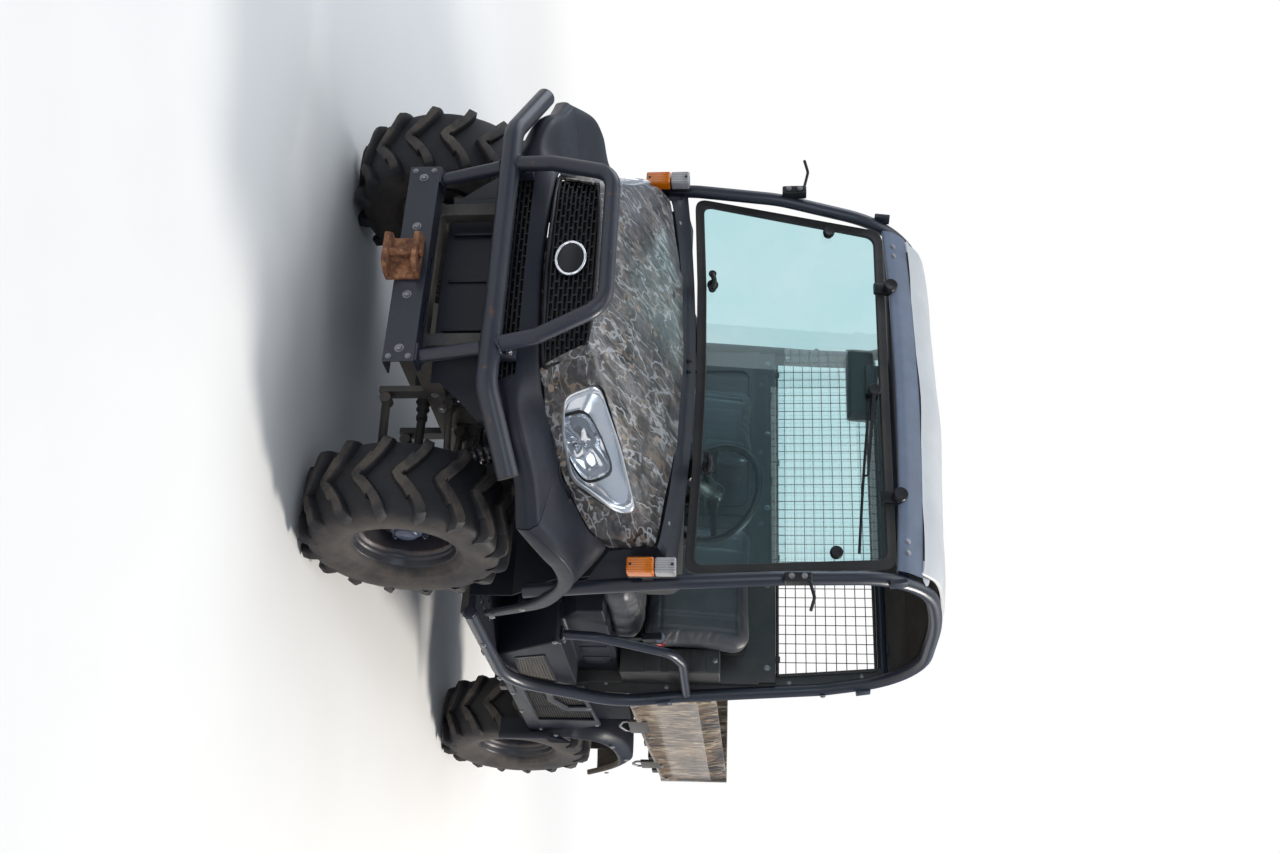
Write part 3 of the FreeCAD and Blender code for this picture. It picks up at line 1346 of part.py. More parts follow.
def build_carrier():
    """A folded channel with slots, between the guard and the chassis rails."""
    owner = body("carrier_channel")
    front = "carrier_front_y"
    profile = [
        (front, "carrier_bottom"), ("carrier_front_y + carrier_depth", "carrier_bottom"),
        ("carrier_front_y + carrier_depth", "carrier_bottom + carrier_wall"),
        ("carrier_front_y + carrier_wall", "carrier_bottom + carrier_wall"),
        ("carrier_front_y + carrier_wall", "carrier_bottom + carrier_height - carrier_wall"),
        ("carrier_front_y + carrier_depth", "carrier_bottom + carrier_height - carrier_wall"),
        ("carrier_front_y + carrier_depth", "carrier_bottom + carrier_height"),
        (front, "carrier_bottom + carrier_height"),
    ]
    drawing = sketch(owner, "carrier_profile", "YZ_Plane", [profile])
    pad(owner, "carrier_fold", drawing, "carrier_half_width * 2", both=True)
    slots = [[("-35", "-30"), ("24", "-30"), ("24", "-10"), ("-35", "-10")],
             [("108", "-30"), ("190", "-30"), ("190", "-10"), ("108", "-10")]]
    shifted = [[(x, f"carrier_front_y + carrier_depth + {y}") for x, y in slot] for slot in slots]
    slot_drawing = sketch(owner, "carrier_slots", "XY_Plane", shifted, "carrier_bottom + carrier_height")
    pocket(owner, "carrier_slot_cut", slot_drawing, "carrier_wall * 2")
    holes = [("circle", str(x), "carrier_bottom + carrier_height / 2", "7") for x in (-300, -120, 120, 300)]
    hole_drawing = sketch(owner, "carrier_holes", "XZ_Plane", holes, "-(carrier_front_y + carrier_wall)")
    pocket(owner, "carrier_hole_cut", hole_drawing, "carrier_wall * 4", both=True)
    node("guard_carrier", owner)
    jaw = body("jaw")
    half = "jaw_width / 2"
    outline = [(f"-{half}", "0"), (half, "0"), (half, "jaw_length * 0.55"), (f"{half} - 22", "jaw_length"),
               (f"22 - {half}", "jaw_length"), (f"-{half}", "jaw_length * 0.55")]
    plate = [(x, f"carrier_front_y - seat_gap - ({y})") for x, y in outline]
    pin = ("circle", "0", "carrier_front_y - seat_gap - jaw_length * 0.55", "jaw_pin_radius")
    top = sketch(jaw, "jaw_outline", "XY_Plane", [plate, pin], "carrier_bottom + 62")
    pad(jaw, "jaw_top", top, "14")
    bottom = sketch(jaw, "jaw_foot_outline", "XY_Plane", [plate, pin], "carrier_bottom - 24")
    pad(jaw, "jaw_bottom", bottom, "14")
    web = [(f"-{half}", "carrier_front_y - seat_gap - 12"), (half, "carrier_front_y - seat_gap - 12"),
           (half, "carrier_front_y - seat_gap"), (f"-{half}", "carrier_front_y - seat_gap")]
    back = sketch(jaw, "jaw_back_outline", "XY_Plane", [web], "carrier_bottom - 24")
    pad(jaw, "jaw_back", back, "100")
    node("tow_jaw", jaw)


# Sides

GRAB_BAR = [Vector(706, 682, 692), Vector(706, 700, 800), Vector(708, 850, 1040), Vector(712, 930, 1072),
            Vector(740, 1196, 1072)]


def build_sides():
    """Grab bars, side panels with their screens, and the rear fenders."""
    grab = tube("grab_bar", GRAB_BAR, "grab_radius", 90.0)
    node("grab_bars", both_sides("grab_bar_pair", seat_on_cage("grab_bar_seat", grab)))
    skin = body("side_skin")
    leg = "wheelbase - fender_leg - seat_gap"
    step = "wall_front_y + seat_gap"
    foot = "floor_top - floor_thickness"
    outer = [("1085", "floor_top + seat_gap"), (step, "floor_top + seat_gap"), (step, foot), (leg, foot),
             (leg, "494"), (f"{leg} - 16", "606"), ("1560", "722"), ("1225", "704"), ("1085", "640")]
    drawing = sketch(skin, "side_outline", "YZ_Plane", [outer, *SIDE_WINDOWS], "floor_half_width - 12")
    pad(skin, "side_pad", drawing, "10")
    node("side_panels", both_sides("side_panel_pair", skin))
    screens = []
    for label, low, high in (("fore", 1140, 1370), ("aft", 1381, 1520)):
        screens.append(block(f"side_screen_{label}", ("floor_half_width - 18", "floor_half_width - 12 - seat_gap"),
                             (low, high), ("478", "708")))
    node("side_screens", both_sides("side_screen_pair", group("side_screen", *screens)))
    build_rear_fenders()


SIDE_WINDOWS = (
    # outlines of the openings in front of the angled bar and behind it: (along, height)
    (("1165", "590"), ("1262", "584"), ("1350", "622"), ("1346", "694"), ("1240", "688")),
    (("1155", "488"), ("1505", "488"), ("1505", "704"), ("1390", "700"), ("1396", "606"), ("1282", "556"),
     ("1172", "560")),
)
REAR_FLARE = (
    # degrees up from level behind the wheel, lip radius, rise to the ridge, lip, ridge, inner edge
    (140, 478, 24, 770, 726, 690),
    (129, 500, 34, 766, 730, 686),
    (115, 474, 44, 760, 722, 680),
    (97, 441, 50, 750, 712, 680),
    (80, 432, 50, 746, 706, 680),
    (66, 398, 46, 745, 706, 680),
    (50, 365, 40, 745, 706, 680),
)
FENDER_LEG_ANGLES = (180, 166, 153)


def build_rear_fenders():
    """The rear wheel arches under the bed, each with an upright leg in front of the wheel."""
    stations = []
    for angle in FENDER_LEG_ANGLES:
        radius = size.fender_leg / abs(math.cos(math.radians(angle)))
        stations.append((radial(angle, size.wheelbase), [(770, radius), (708, radius + 0.5), (690, radius)]))
    for angle, radius, rise, lip, ridge, inner in REAR_FLARE:
        stations.append((radial(angle, size.wheelbase), [(lip, radius), (ridge, radius + rise),
                                                         (inner, radius + rise + 2)]))
    arch = panel("rear_fender_shell", stations, -size.sheet_wall)
    node("rear_fenders", both_sides("rear_fender_pair", arch))


# Cargo bed

def build_bed():
    """The tipping bed: floor with headboard, two sides, and the tailgate on its hinge."""
    inner = "bed_half_width - bed_side_wall"
    floor_sheet = block("bed_sheet", (f"-({inner})", inner), ("bed_front_y", "bed_rear_y - tailgate_wall - seat_gap"),
                        ("bed_floor_top - panel_wall", "bed_floor_top"))
    head = block("bed_head", (f"-({inner})", inner), ("bed_front_y", "bed_front_y + bed_side_wall"),
                 ("bed_floor_top - panel_wall", "bed_rail_z"))
    pieces = [floor_sheet, head]
    for index in range(6):
        y = f"bed_front_y + 30 + {index} * (bed_rear_y - bed_front_y - 110) / 5"
        pieces.append(block(f"bed_rib_{index}", (f"-({inner})", inner), (y, f"{y} + 40"),
                            ("bed_bottom + 10", "bed_floor_top - panel_wall + 1")))
    for side in (1, -1):
        label = "left" if side > 0 else "right"
        pieces.append(block(f"bed_beam_{label}", (f"{side} * (rail_x + 40) - 22", f"{side} * (rail_x + 40) + 22"),
                            ("bed_front_y", "bed_rear_y - tailgate_wall - 30"), ("bed_bottom", "bed_bottom + 20")))
        lug = block(f"bed_lug_{label}", (f"{side} * (rail_x + 22) - 8", f"{side} * (rail_x + 22) + 8"),
                    ("bed_pivot_y - 25", "bed_pivot_y + 25"), ("bed_pivot_z - 25", "bed_bottom + 5"))
        pin = rod(f"bed_pin_{label}", "x", (f"{side} * (rail_x + 5) - 25", f"{side} * (rail_x + 5) + 25"),
                  "pivot_pin_radius", y="bed_pivot_y", z="bed_pivot_z")
        pieces.extend((lug, pin))
    node("bed_floor", fuse("bed_floor_solid", *pieces))
    side_line = [("bed_front_y", "bed_bottom"), ("bed_rear_y - tailgate_wall - seat_gap", "bed_bottom + 44"),
                 ("bed_rear_y - tailgate_wall - seat_gap", "bed_rail_z"), ("bed_front_y", "bed_rail_z")]
    sheet_body = flat("bed_side", "YZ_Plane", side_line, "bed_side_wall - seat_gap", f"{inner} + seat_gap")
    hooks = []
    for label, low, high in (("fore", 1503, 1646), ("aft", 2043, 2135)):
        hooks.append(block(f"bed_hook_{label}", ("bed_half_width - 12", "bed_half_width"), (low, high),
                           ("bed_bottom - 20", "bed_bottom + 60")))
    side_piece = fuse("bed_side_solid", sheet_body, *hooks)
    node("bed_sides", both_sides("bed_side_pair", side_piece))
    gate = block("tailgate_sheet", ("-bed_half_width", "bed_half_width"), ("bed_rear_y - tailgate_wall", "bed_rear_y"),
                 ("bed_bottom + 44", "bed_rail_z"))
    hollow = block("tailgate_hollow", (f"-({inner})", inner), ("bed_rear_y - tailgate_wall + panel_wall", "bed_rear_y"),
                   ("bed_bottom + 84", "bed_rail_z - 40"))
    node("tailgate", cut("tailgate_solid", gate, hollow))


def build_rear():
    """Tail lamps, the receiver for a trailer hitch, and the exhaust."""
    bar = block("lamp_bar", ("-640", "640"), ("rail_rear_y", "rail_rear_y + 12"), ("595", "655"))
    lamps = [block(f"tail_lamp_{side}", (low, low + 90), ("rail_rear_y + 12", "rail_rear_y + 50"), ("599", "651"))
             for side, low in (("left", 540), ("right", -630))]
    node("tail_lamps", fuse("lamp_bar_solid", bar, *lamps))
    half = "hitch_width / 2"
    low, high = "rail_bottom", "rail_bottom + hitch_width"
    outer = [(f"-{half}", low), (half, low), (half, high), (f"-{half}", high)]
    wall = "(hitch_width - hitch_bore) / 2"
    inner = [(f"{wall} - {half}", f"{low} + {wall}"), (f"{half} - {wall}", f"{low} + {wall}"),
             (f"{half} - {wall}", f"{high} - {wall}"), (f"{wall} - {half}", f"{high} - {wall}")]
    receiver = body("receiver")
    drawing = sketch(receiver, "receiver_outline", "XZ_Plane", [outer, inner], "-(rail_rear_y + seat_gap)")
    pad(receiver, "receiver_tube", drawing, "110", reverse=True)
    holes = sketch(receiver, "receiver_pin", "YZ_Plane",
                   [("circle", "rail_rear_y + 70", "rail_bottom + hitch_width / 2", "hitch_pin_radius")])
    pocket(receiver, "receiver_pin_cut", holes, "hitch_width * 2", both=True)
    node("rear_hitch", receiver)
    middle = "wheelbase - muffler_ahead"
    muffler = rod("muffler", "x", ("272", "464"), "62", y=middle, z="560")
    tail = rod("tail_pipe", "y", (middle, f"{middle} + 400"), "18", x="446", z="560")
    bracket = block("muffler_bracket", ("rail_x", "300"), (f"{middle} - 20", f"{middle} + 20"),
                    (RAIL_TOP, "510"))
    node("exhaust", fuse("exhaust_solid", muffler, tail, bracket))


def export():
    """Check every object and write each finished piece."""
    doc.recompute()
    failed = [piece.Name for piece in doc.Objects if {"Invalid", "Error"} & set(piece.State)]
    for name, piece in nodes.items():
        if piece.Shape.isNull() or not piece.Shape.isValid() or not piece.Shape.Solids:
            failed.append(name)
    if failed:
        raise RuntimeError(f"these pieces did not build: {', '.join(failed)}")
    os.makedirs("parts", exist_ok=True)
    for name, piece in nodes.items():
        piece.Shape.exportStep(f"parts/{name}.step")
    print(len(nodes), "sub-parts written")


build_wheels()
build_suspension()
build_chassis()
build_steering()
build_floor()
build_dashboard()
build_pedals()
build_seats()
build_rear_wall()
build_screen()
build_cage()
build_roof()
build_windshield()
build_mirror_stalks()
build_turn_signals()
build_hood()
build_fascia()
build_front_fenders()
build_cowl()
build_guard()
build_sides()
build_bed()
build_rear()
export()
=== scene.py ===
"""Looks of the side by side utility vehicle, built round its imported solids.

All lengths are in metres, in the frame of the solids: Z up, the front of the vehicle towards -Y and
its left towards +X. Places that follow the vehicle's own datum, with Y = 0 at the front axle, go
through at().
"""
import math

import bmesh
import bpy
from mathutils import Matrix, Vector


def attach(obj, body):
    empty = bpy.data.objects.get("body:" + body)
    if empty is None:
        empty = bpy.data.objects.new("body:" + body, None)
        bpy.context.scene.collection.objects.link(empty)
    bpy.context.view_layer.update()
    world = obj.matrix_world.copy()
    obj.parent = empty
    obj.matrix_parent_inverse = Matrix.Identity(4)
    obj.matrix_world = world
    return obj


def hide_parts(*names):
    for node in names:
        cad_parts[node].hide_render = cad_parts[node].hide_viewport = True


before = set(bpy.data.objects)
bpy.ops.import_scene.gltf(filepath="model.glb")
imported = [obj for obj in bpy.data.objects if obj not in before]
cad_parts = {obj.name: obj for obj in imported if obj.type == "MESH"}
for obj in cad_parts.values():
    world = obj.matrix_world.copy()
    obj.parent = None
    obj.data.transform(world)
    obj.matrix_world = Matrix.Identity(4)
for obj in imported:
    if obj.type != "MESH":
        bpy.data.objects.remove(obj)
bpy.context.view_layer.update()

FRONT_AXLE = -0.877
REAR_AXLE = 1.133
WHEELBASE = 2010
AXLE_HEIGHT = 313
AXLE_Z = AXLE_HEIGHT / 1000
TRACK_HALF = 0.607


def at(x, y, z):
    """A point given in millimetres about the front axle."""
    return Vector((x / 1000, y / 1000 + FRONT_AXLE, z / 1000))


# Materials

class Shade:
    """One material's node tree, with short calls for the nodes that repeat."""

    def __init__(self, name):
        """A new material with its own shader, mapped by object coordinates."""
        self.material = bpy.data.materials.new(name)
        self.material.use_nodes = True
        self.tree = self.material.node_tree
        self.shader = self.tree.nodes["Principled BSDF"]
        self.output = self.tree.nodes["Material Output"]
        self.place = self.new("ShaderNodeTexCoord").outputs["Object"]

    def new(self, kind, **settings):
        """A node with its settings."""
        node = self.tree.nodes.new(kind)
        for name, value in settings.items():
            setattr(node, name, value)
        return node

    def feed(self, socket, value):
        """Links an output to a socket, or sets the socket's value."""
        if isinstance(value, bpy.types.NodeSocket):
            self.tree.links.new(value, socket)
        elif isinstance(value, (tuple, list)) and len(value) == 3 and socket.type == "RGBA":
            socket.default_value = (*value, 1)
        else:
            socket.default_value = value

    def set(self, **values):
        """Sets the shader's own sockets, spaces written as underscores."""
        for name, value in values.items():
            self.feed(self.shader.inputs[name.replace("_", " ")], value)

    def scaled(self, scale, turn=(0, 0, 0), vector=None):
        """Object coordinates turned, then stretched by a factor along each axis."""
        node = self.new("ShaderNodeMapping")
        self.feed(node.inputs["Vector"], vector or self.place)
        node.inputs["Rotation"].default_value = [math.radians(angle) for angle in turn]
        node.inputs["Scale"].default_value = scale
        return node.outputs["Vector"]

    def noise(self, scale, detail=3, rough=0.55, warp=0.0, vector=None, color=False):
        """A fractal noise from 0 to 1, or one of each colour."""
        node = self.new("ShaderNodeTexNoise")
        self.feed(node.inputs["Vector"], vector or self.place)
        settings = {"Scale": scale, "Detail": detail, "Roughness": rough, "Distortion": warp}
        for name, value in settings.items():
            node.inputs[name].default_value = value
        return node.outputs["Color" if color else "Fac"]

    def cells(self, scale, vector=None, output="Distance"):
        """Scattered cells, by the distance to their middle or by a colour each."""
        node = self.new("ShaderNodeTexVoronoi")
        self.feed(node.inputs["Vector"], vector or self.place)
        node.inputs["Scale"].default_value = scale
        return node.outputs[output]

    def ramp(self, factor, *stops, smooth=False):
        """Maps a factor through (place, value or colour) stops."""
        node = self.new("ShaderNodeValToRGB")
        node.color_ramp.interpolation = "EASE" if smooth else "LINEAR"
        elements = node.color_ramp.elements
        while len(elements) < len(stops):
            elements.new(0.5)
        for element, (place, value) in zip(elements, stops):
            element.position = place
            element.color = (*value, 1) if isinstance(value, tuple) else (value, value, value, 1)
        self.feed(node.inputs["Fac"], factor)
        return node.outputs["Color"]

    def mix(self, factor, first, second, blend="MIX"):
        """A blend of two colours by a factor."""
        node = self.new("ShaderNodeMix", data_type="RGBA", blend_type=blend)
        self.feed(node.inputs["Factor"], factor)
        self.feed(node.inputs["A"], first)
        self.feed(node.inputs["B"], second)
        return node.outputs["Result"]

    def math(self, operation, first, second=0.5, third=0.5):
        """A sum, product or the like of values."""
        node = self.new("ShaderNodeMath", operation=operation)
        for socket, value in zip(node.inputs, (first, second, third)):
            self.feed(socket, value)
        return node.outputs[0]

    def axis(self, name, vector=None):
        """One coordinate of a vector."""
        node = self.new("ShaderNodeSeparateXYZ")
        self.feed(node.inputs[0], vector or self.place)
        return node.outputs[name]

    def upward(self):
        """1 where the surface faces up, 0 where it stands or faces down."""
        up = self.axis("Z", self.new("ShaderNodeNewGeometry").outputs["Normal"])
        return self.math("MAXIMUM", up, 0.0)

    def bump(self, height, distance=0.001, strength=1.0):
        """Adds a bump to what the shader's normal already has."""
        node = self.new("ShaderNodeBump")
        node.inputs["Distance"].default_value = distance
        node.inputs["Strength"].default_value = strength
        self.feed(node.inputs["Height"], height)
        socket = self.shader.inputs["Normal"]
        if socket.links:
            self.feed(node.inputs["Normal"], socket.links[0].from_socket)
        self.feed(socket, node.outputs["Normal"])

    def mottled(self, color, low, high, scale, detail=4, rough=0.55):
        """A colour that wavers between two shares of itself."""
        return self.mix(self.noise(scale, detail, rough), shared(color, low), shared(color, high))

    def uneven(self, scale, detail, amount, base):
        """A value that a noise lifts above its base."""
        return self.math("MULTIPLY_ADD", self.noise(scale, detail), amount, base)

    def radius(self, *axes):
        """Distance of a point from the origin, measured along two axes."""
        squares = [self.math("POWER", self.axis(name), 2.0) for name in axes]
        return self.math("SQRT", self.math("ADD", *squares))


def shared(color, share):
    """A share of a colour."""
    return tuple(part * share for part in color)


def material(shaped):
    """Lets a function that shapes a shader be called with the name of its material."""
    def made(name, *values):
        shade = Shade(name)
        shaped(shade, *values)
        return shade.material
    return made


DUST = (0.23, 0.19, 0.15)


def dusted(shade, color, rough, amount, clean_rough, dusty_rough=0.85):
    """Lays dust on the upward faces and in soft patches, over a colour and its roughness."""
    patches = shade.ramp(shade.noise(5.0, 6, 0.65), (0.38, 0.0), (0.72, 1.0))
    lying = shade.math("MULTIPLY_ADD", shade.upward(), 0.6, 0.25)
    cover = shade.math("MULTIPLY", shade.math("MULTIPLY", patches, lying), amount)
    fine = shade.math("MULTIPLY", shade.noise(160, 3, 0.6), cover)
    total = shade.math("MINIMUM", shade.math("ADD", cover, fine), 1.0)
    shade.set(Base_Color=shade.mix(total, color, DUST),
              Roughness=shade.math("MULTIPLY_ADD", total, dusty_rough - clean_rough, rough))


@material
def molded_plastic(shade, color, rough=0.5, dust=0.35, grain=900, depth=0.00025):
    """Moulded plastic with a leathery grain, faint mottling and dust."""
    shade.set(Specular_IOR_Level=0.30)
    tone = shade.mottled(color, 0.75, 1.3, 14)
    dusted(shade, tone, shade.uneven(35, 4, 0.16, rough - 0.08), dust, rough)
    shade.bump(shade.cells(grain), depth, 0.5)
    shade.bump(shade.noise(9, 2), 0.002, 0.12)


@material
def painted_steel(shade, color, rough=0.36, rust=0.0, dust=0.2):
    """Brushed-on paint with orange peel, chips and, where asked, rust bleeding through."""
    spots = shade.ramp(shade.noise(26, 8, 0.72), (0.68 - rust * 0.3, 0.0), (0.74 - rust * 0.22, 1.0))
    brown = shade.ramp(shade.noise(120, 5, 0.7), (0.3, (0.09, 0.035, 0.015)), (0.7, (0.24, 0.10, 0.045)))
    bleeding = shade.math("MULTIPLY", spots, min(1.0, rust * 2.0))
    rough_now = shade.math("MULTIPLY_ADD", shade.math("MULTIPLY", spots, rust), 0.5, rough)
    dusted(shade, shade.mix(bleeding, shade.mottled(color, 0.8, 1.25, 8), brown), rough_now, dust, rough)
    shade.bump(shade.noise(240, 2), 0.0004, 0.25)


@material
def raw_steel(shade, color=(0.30, 0.29, 0.28), rough=0.42, dust=0.35):
    """Bare machined or cast metal, greasy and dusty."""
    shade.set(Metallic=0.85)
    tone = shade.mottled(color, 0.55, 1.0, 30, 6, 0.7)
    dusted(shade, tone, shade.uneven(60, 5, 0.3, rough - 0.1), dust, rough)
    shade.bump(shade.noise(300, 4), 0.0003, 0.4)


@material
def rusty_steel(shade):
    """Steel that has lost its paint: brown, orange and dark scale."""
    tone = shade.ramp(shade.noise(38, 8, 0.7), (0.3, (0.05, 0.028, 0.02)), (0.47, (0.17, 0.065, 0.03)),
                      (0.6, (0.33, 0.15, 0.07)), (0.75, (0.42, 0.24, 0.14)))
    shade.set(Base_Color=tone, Roughness=shade.uneven(90, 4, 0.2, 0.7))
    shade.bump(shade.noise(150, 8, 0.75), 0.0015, 0.7)


@material
def tyre_rubber(shade):
    """Worn rubber: scuffed lugs over dark valleys, dust clouding the sidewall."""
    rubber = shade.mix(shade.noise(40, 5), (0.0065, 0.0072, 0.0105), (0.016, 0.0165, 0.021))
    dust = shade.mix(shade.noise(70, 6, 0.7), (0.085, 0.068, 0.055), (0.180, 0.146, 0.116))
    cloud = shade.ramp(shade.noise(11, 7, 0.68), (0.34, 0.12), (0.64, 1.0))
    height = shade.math("DIVIDE", shade.radius("Y", "Z"), 0.32)
    wall = shade.ramp(height, (0.50, 0.55), (0.70, 0.45), (0.83, 0.30), (0.885, 0.06), (0.945, 0.10),
                      (0.978, 0.72))
    cover = shade.math("MULTIPLY", cloud, wall)
    shade.set(Base_Color=shade.mix(cover, rubber, dust),
              Roughness=shade.math("MULTIPLY_ADD", cover, 0.30, 0.58), Specular_IOR_Level=0.35)
    shade.bump(shade.noise(220, 6, 0.7), 0.0007, 0.55)


@material
def rim_paint(shade):
    """Dark rim paint with rust and dust gathered at the flange."""
    paint = shade.mix(shade.noise(20, 4), (0.008, 0.010, 0.017), (0.018, 0.022, 0.036))
    rust = shade.ramp(shade.noise(90, 7, 0.7), (0.3, (0.075, 0.035, 0.02)), (0.7, (0.22, 0.12, 0.075)))
    ring = shade.ramp(shade.math("DIVIDE", shade.radius("Y", "Z"), 0.2), (0.64, 0.0), (0.665, 0.45),
                      (0.69, 0.05), (0.77, 0.05), (0.80, 0.55), (0.835, 0.9))
    patchy = shade.ramp(shade.noise(28, 6, 0.7), (0.36, 0.1), (0.58, 1.0))
    cover = shade.math("MULTIPLY", ring, patchy)
    rough = shade.math("MULTIPLY_ADD", cover, 0.4, 0.34)
    dusted(shade, shade.mix(cover, paint, rust), rough, 0.10, 0.14)
    shade.bump(shade.noise(260, 3), 0.0004, 0.3)


def strands(shade, vector, scale, stretch, turn, width):
    """Thin wandering lines: 1 along the line, 0 beside it."""
    wave = shade.noise(scale, 3, 0.5, 0.2, vector=shade.scaled(stretch, turn, vector))
    away = shade.math("ABSOLUTE", shade.math("SUBTRACT", wave, 0.5))
    return shade.ramp(away, (0.0, 1.0), (width, 0.85), (width * 1.8, 0.0))


BARK_TONES = (
    # the same four tones warm and cool, from dark to light; the cool ones paint a blue sky reflection into
    # the print
    ((0.018, 0.014, 0.011), (0.013, 0.015, 0.020)),
    ((0.060, 0.045, 0.034), (0.040, 0.043, 0.052)),
    ((0.13, 0.10, 0.078), (0.092, 0.097, 0.110)),
    ((0.28, 0.23, 0.19), (0.24, 0.25, 0.27)),
)
BRANCHES = (
    # scale, stretch, turn, width, tone or share of the pale one, strength, scale of the gaps
    (5.0, 0.10, (0, 0, 20), 0.0100, (0.012, 0.011, 0.011), 1.0, 5),
    (7.0, 0.11, (24, 12, 0), 0.0080, (0.020, 0.017, 0.015), 1.0, 5),
    (11.0, 0.10, (-38, -14, 30), 0.0085, 1.0, 0.95, 6),
    (8.0, 0.10, (-42, 15, 50), 0.0080, (0.014, 0.013, 0.013), 1.0, 6),
    (14.0, 0.12, (64, 20, -25), 0.0085, 1.3, 0.9, 7),
    (12.0, 0.13, (8, 50, 70), 0.0085, (0.17, 0.12, 0.082), 0.9, 8),
    (13.0, 0.10, (-70, 35, 10), 0.0075, 1.0, 0.9, 6),
)


def barked(shade, bent, cool):
    """Bark under drifting light and dark patches."""
    bark = shade.noise(58, 8, 0.74, 0.5, vector=shade.scaled((1.0, 1.0, 0.24), (0, 0, 0), bent))
    tones = [tuple(a + (b - a) * cool for a, b in zip(warm, chill)) for warm, chill in BARK_TONES]
    color = shade.ramp(bark, *zip((0.32, 0.45, 0.56, 0.72), tones))
    patch = shade.ramp(shade.noise(7, 5, 0.65, vector=bent), (0.38, (0.45, 0.46, 0.50)),
                       (0.50, (0.95, 0.92, 0.90)), (0.63, (1.25, 1.12, 0.98)))
    return shade.mix(1.0, color, patch, "MULTIPLY")


def branched(shade, bent, color, pale):
    """Thin branches that run across the bark and break off."""
    for scale, stretch, turn, width, tone, strength, where in BRANCHES:
        line = strands(shade, bent, scale, (1, 1, stretch), turn, width)
        gaps = shade.ramp(shade.noise(where, 3, vector=bent), (0.42, 0.0), (0.47, strength))
        tone = tone if isinstance(tone, tuple) else shared(pale, tone)
        color = shade.mix(shade.math("MULTIPLY", line, gaps), color, tone)
    return color


def leafy(shade, bent, place, color):
    """Dead leaves in loose drifts."""
    flat = shade.scaled((1, 1, 0.42), (40, 20, 35), bent)
    shape = shade.ramp(shade.cells(30, flat), (0.21, 1.0), (0.26, 0.0))
    where = shade.ramp(shade.noise(8, 3, vector=place), (0.50, 0.0), (0.56, 0.85))
    tone = shade.ramp(shade.cells(30, flat, "Color"), (0.2, (0.12, 0.075, 0.045)), (0.8, (0.30, 0.22, 0.15)))
    return shade.mix(shade.math("MULTIPLY", shape, where), color, tone)


@material
def camouflage(shade, turn, cool):
    """Glossy plastic printed with bark, thin branches and dead leaves; cool tints the print blue as a painted
    sky reflection, and below zero warms it.
    """
    place = shade.scaled((1, 1, 1), turn)
    bent = shade.new("ShaderNodeVectorMath", operation="MULTIPLY_ADD")
    shade.feed(bent.inputs[0], shade.noise(6, 4, 0.6, vector=place, color=True))
    bent.inputs[1].default_value = (0.035, 0.035, 0.035)
    shade.feed(bent.inputs[2], place)
    bent = bent.outputs[0]
    # the pale tone turns blue with cool: painted sky reflection
    pale = (0.27 + 0.03 * cool, 0.24 + 0.07 * cool, 0.20 + 0.13 * cool)
    color = leafy(shade, bent, place, branched(shade, bent, barked(shade, bent, cool), pale))
    dusted(shade, color, shade.uneven(30, 4, 0.12, 0.26), 0.14, 0.18, 0.5)
    shade.set(Coat_Weight=0.30, Coat_Roughness=0.12, Coat_IOR=1.5)
    shade.bump(shade.noise(12, 2), 0.0015, 0.1)


@material
def white_roof(shade):
    """White moulded roof, weathered and faintly dirty."""
    tone = shade.mix(shade.noise(6, 6, 0.65), (0.42, 0.43, 0.435), (0.56, 0.57, 0.575))
    dusted(shade, tone, shade.uneven(25, 4, 0.15, 0.38), 0.12, 0.42)
    shade.bump(shade.noise(500, 2), 0.0003, 0.2)


@material
def vinyl(shade, color):
    """Upholstery vinyl: pebbled grain with a soft gloss."""
    dusted(shade, shade.mottled(color, 0.75, 1.4, 18), shade.uneven(40, 4, 0.15, 0.33), 0.18, 0.38)
    shade.bump(shade.cells(420), 0.0006, 0.45)
    shade.bump(shade.noise(22, 3), 0.003, 0.15)


@material
def tinted_glass(shade):
    """Laminated windshield glass whose blue-green filter over what stands behind it is painted, standing in
    for the blue surroundings seen through and reflected in it.
    """
    # painted tint: blue-green standing in for the blue surroundings behind and around the glass
    painted_tint = shade.ramp(shade.noise(3.5, 5, 0.6), (0.40, (0.42, 0.70, 0.74)), (0.75, (0.50, 0.74, 0.77)))
    shade.set(Base_Color=painted_tint, Roughness=0.0, IOR=1.12, Transmission_Weight=1.0, Alpha=0.86,
              Coat_Weight=0.6, Coat_IOR=1.5, Coat_Roughness=0.02)


@material
def clear_lens(shade, alpha):
    """Thin clear plastic over a lamp."""
    fresnel = shade.new("ShaderNodeFresnel")
    fresnel.inputs["IOR"].default_value = 1.5
    haze = shade.uneven(40, 5, 0.05, alpha)
    shade.set(Base_Color=(0.6, 0.64, 0.68), Roughness=0.04, IOR=1.5,
              Alpha=shade.math("MULTIPLY_ADD", fresnel.outputs[0], 0.9, haze))


@material
def bright_chrome(shade, rough, metal=0.72):
    """Vacuum-plated chrome with a little haze; a metal share under 1 adds a diffuse pale blue-white glow, a
    painted reflection that keeps it bright.
    """
    shade.set(Base_Color=shade.mix(shade.noise(20, 4), (0.88, 0.90, 0.94), (0.96, 0.97, 1.0)),
              Metallic=metal, Roughness=shade.uneven(60, 5, 0.14, rough))


@material
def ribbed_lens(shade, color):
    """Moulded lamp lens with fine upright flutes."""
    waves = shade.new("ShaderNodeTexWave", wave_type="BANDS", bands_direction="X")
    shade.feed(waves.inputs["Vector"], shade.place)
    waves.inputs["Scale"].default_value = 42
    flutes = waves.outputs["Fac"]
    tone = shade.mottled(color, 0.8, 1.0, 45)
    tone = shade.mix(flutes, shade.mix(0.55, tone, shared(color, 0.3)), tone)
    shade.set(Base_Color=tone, Roughness=0.16, Coat_Weight=0.5, Coat_Roughness=0.05,
              Transmission_Weight=0.15)
    shade.bump(flutes, 0.0016, 0.6)


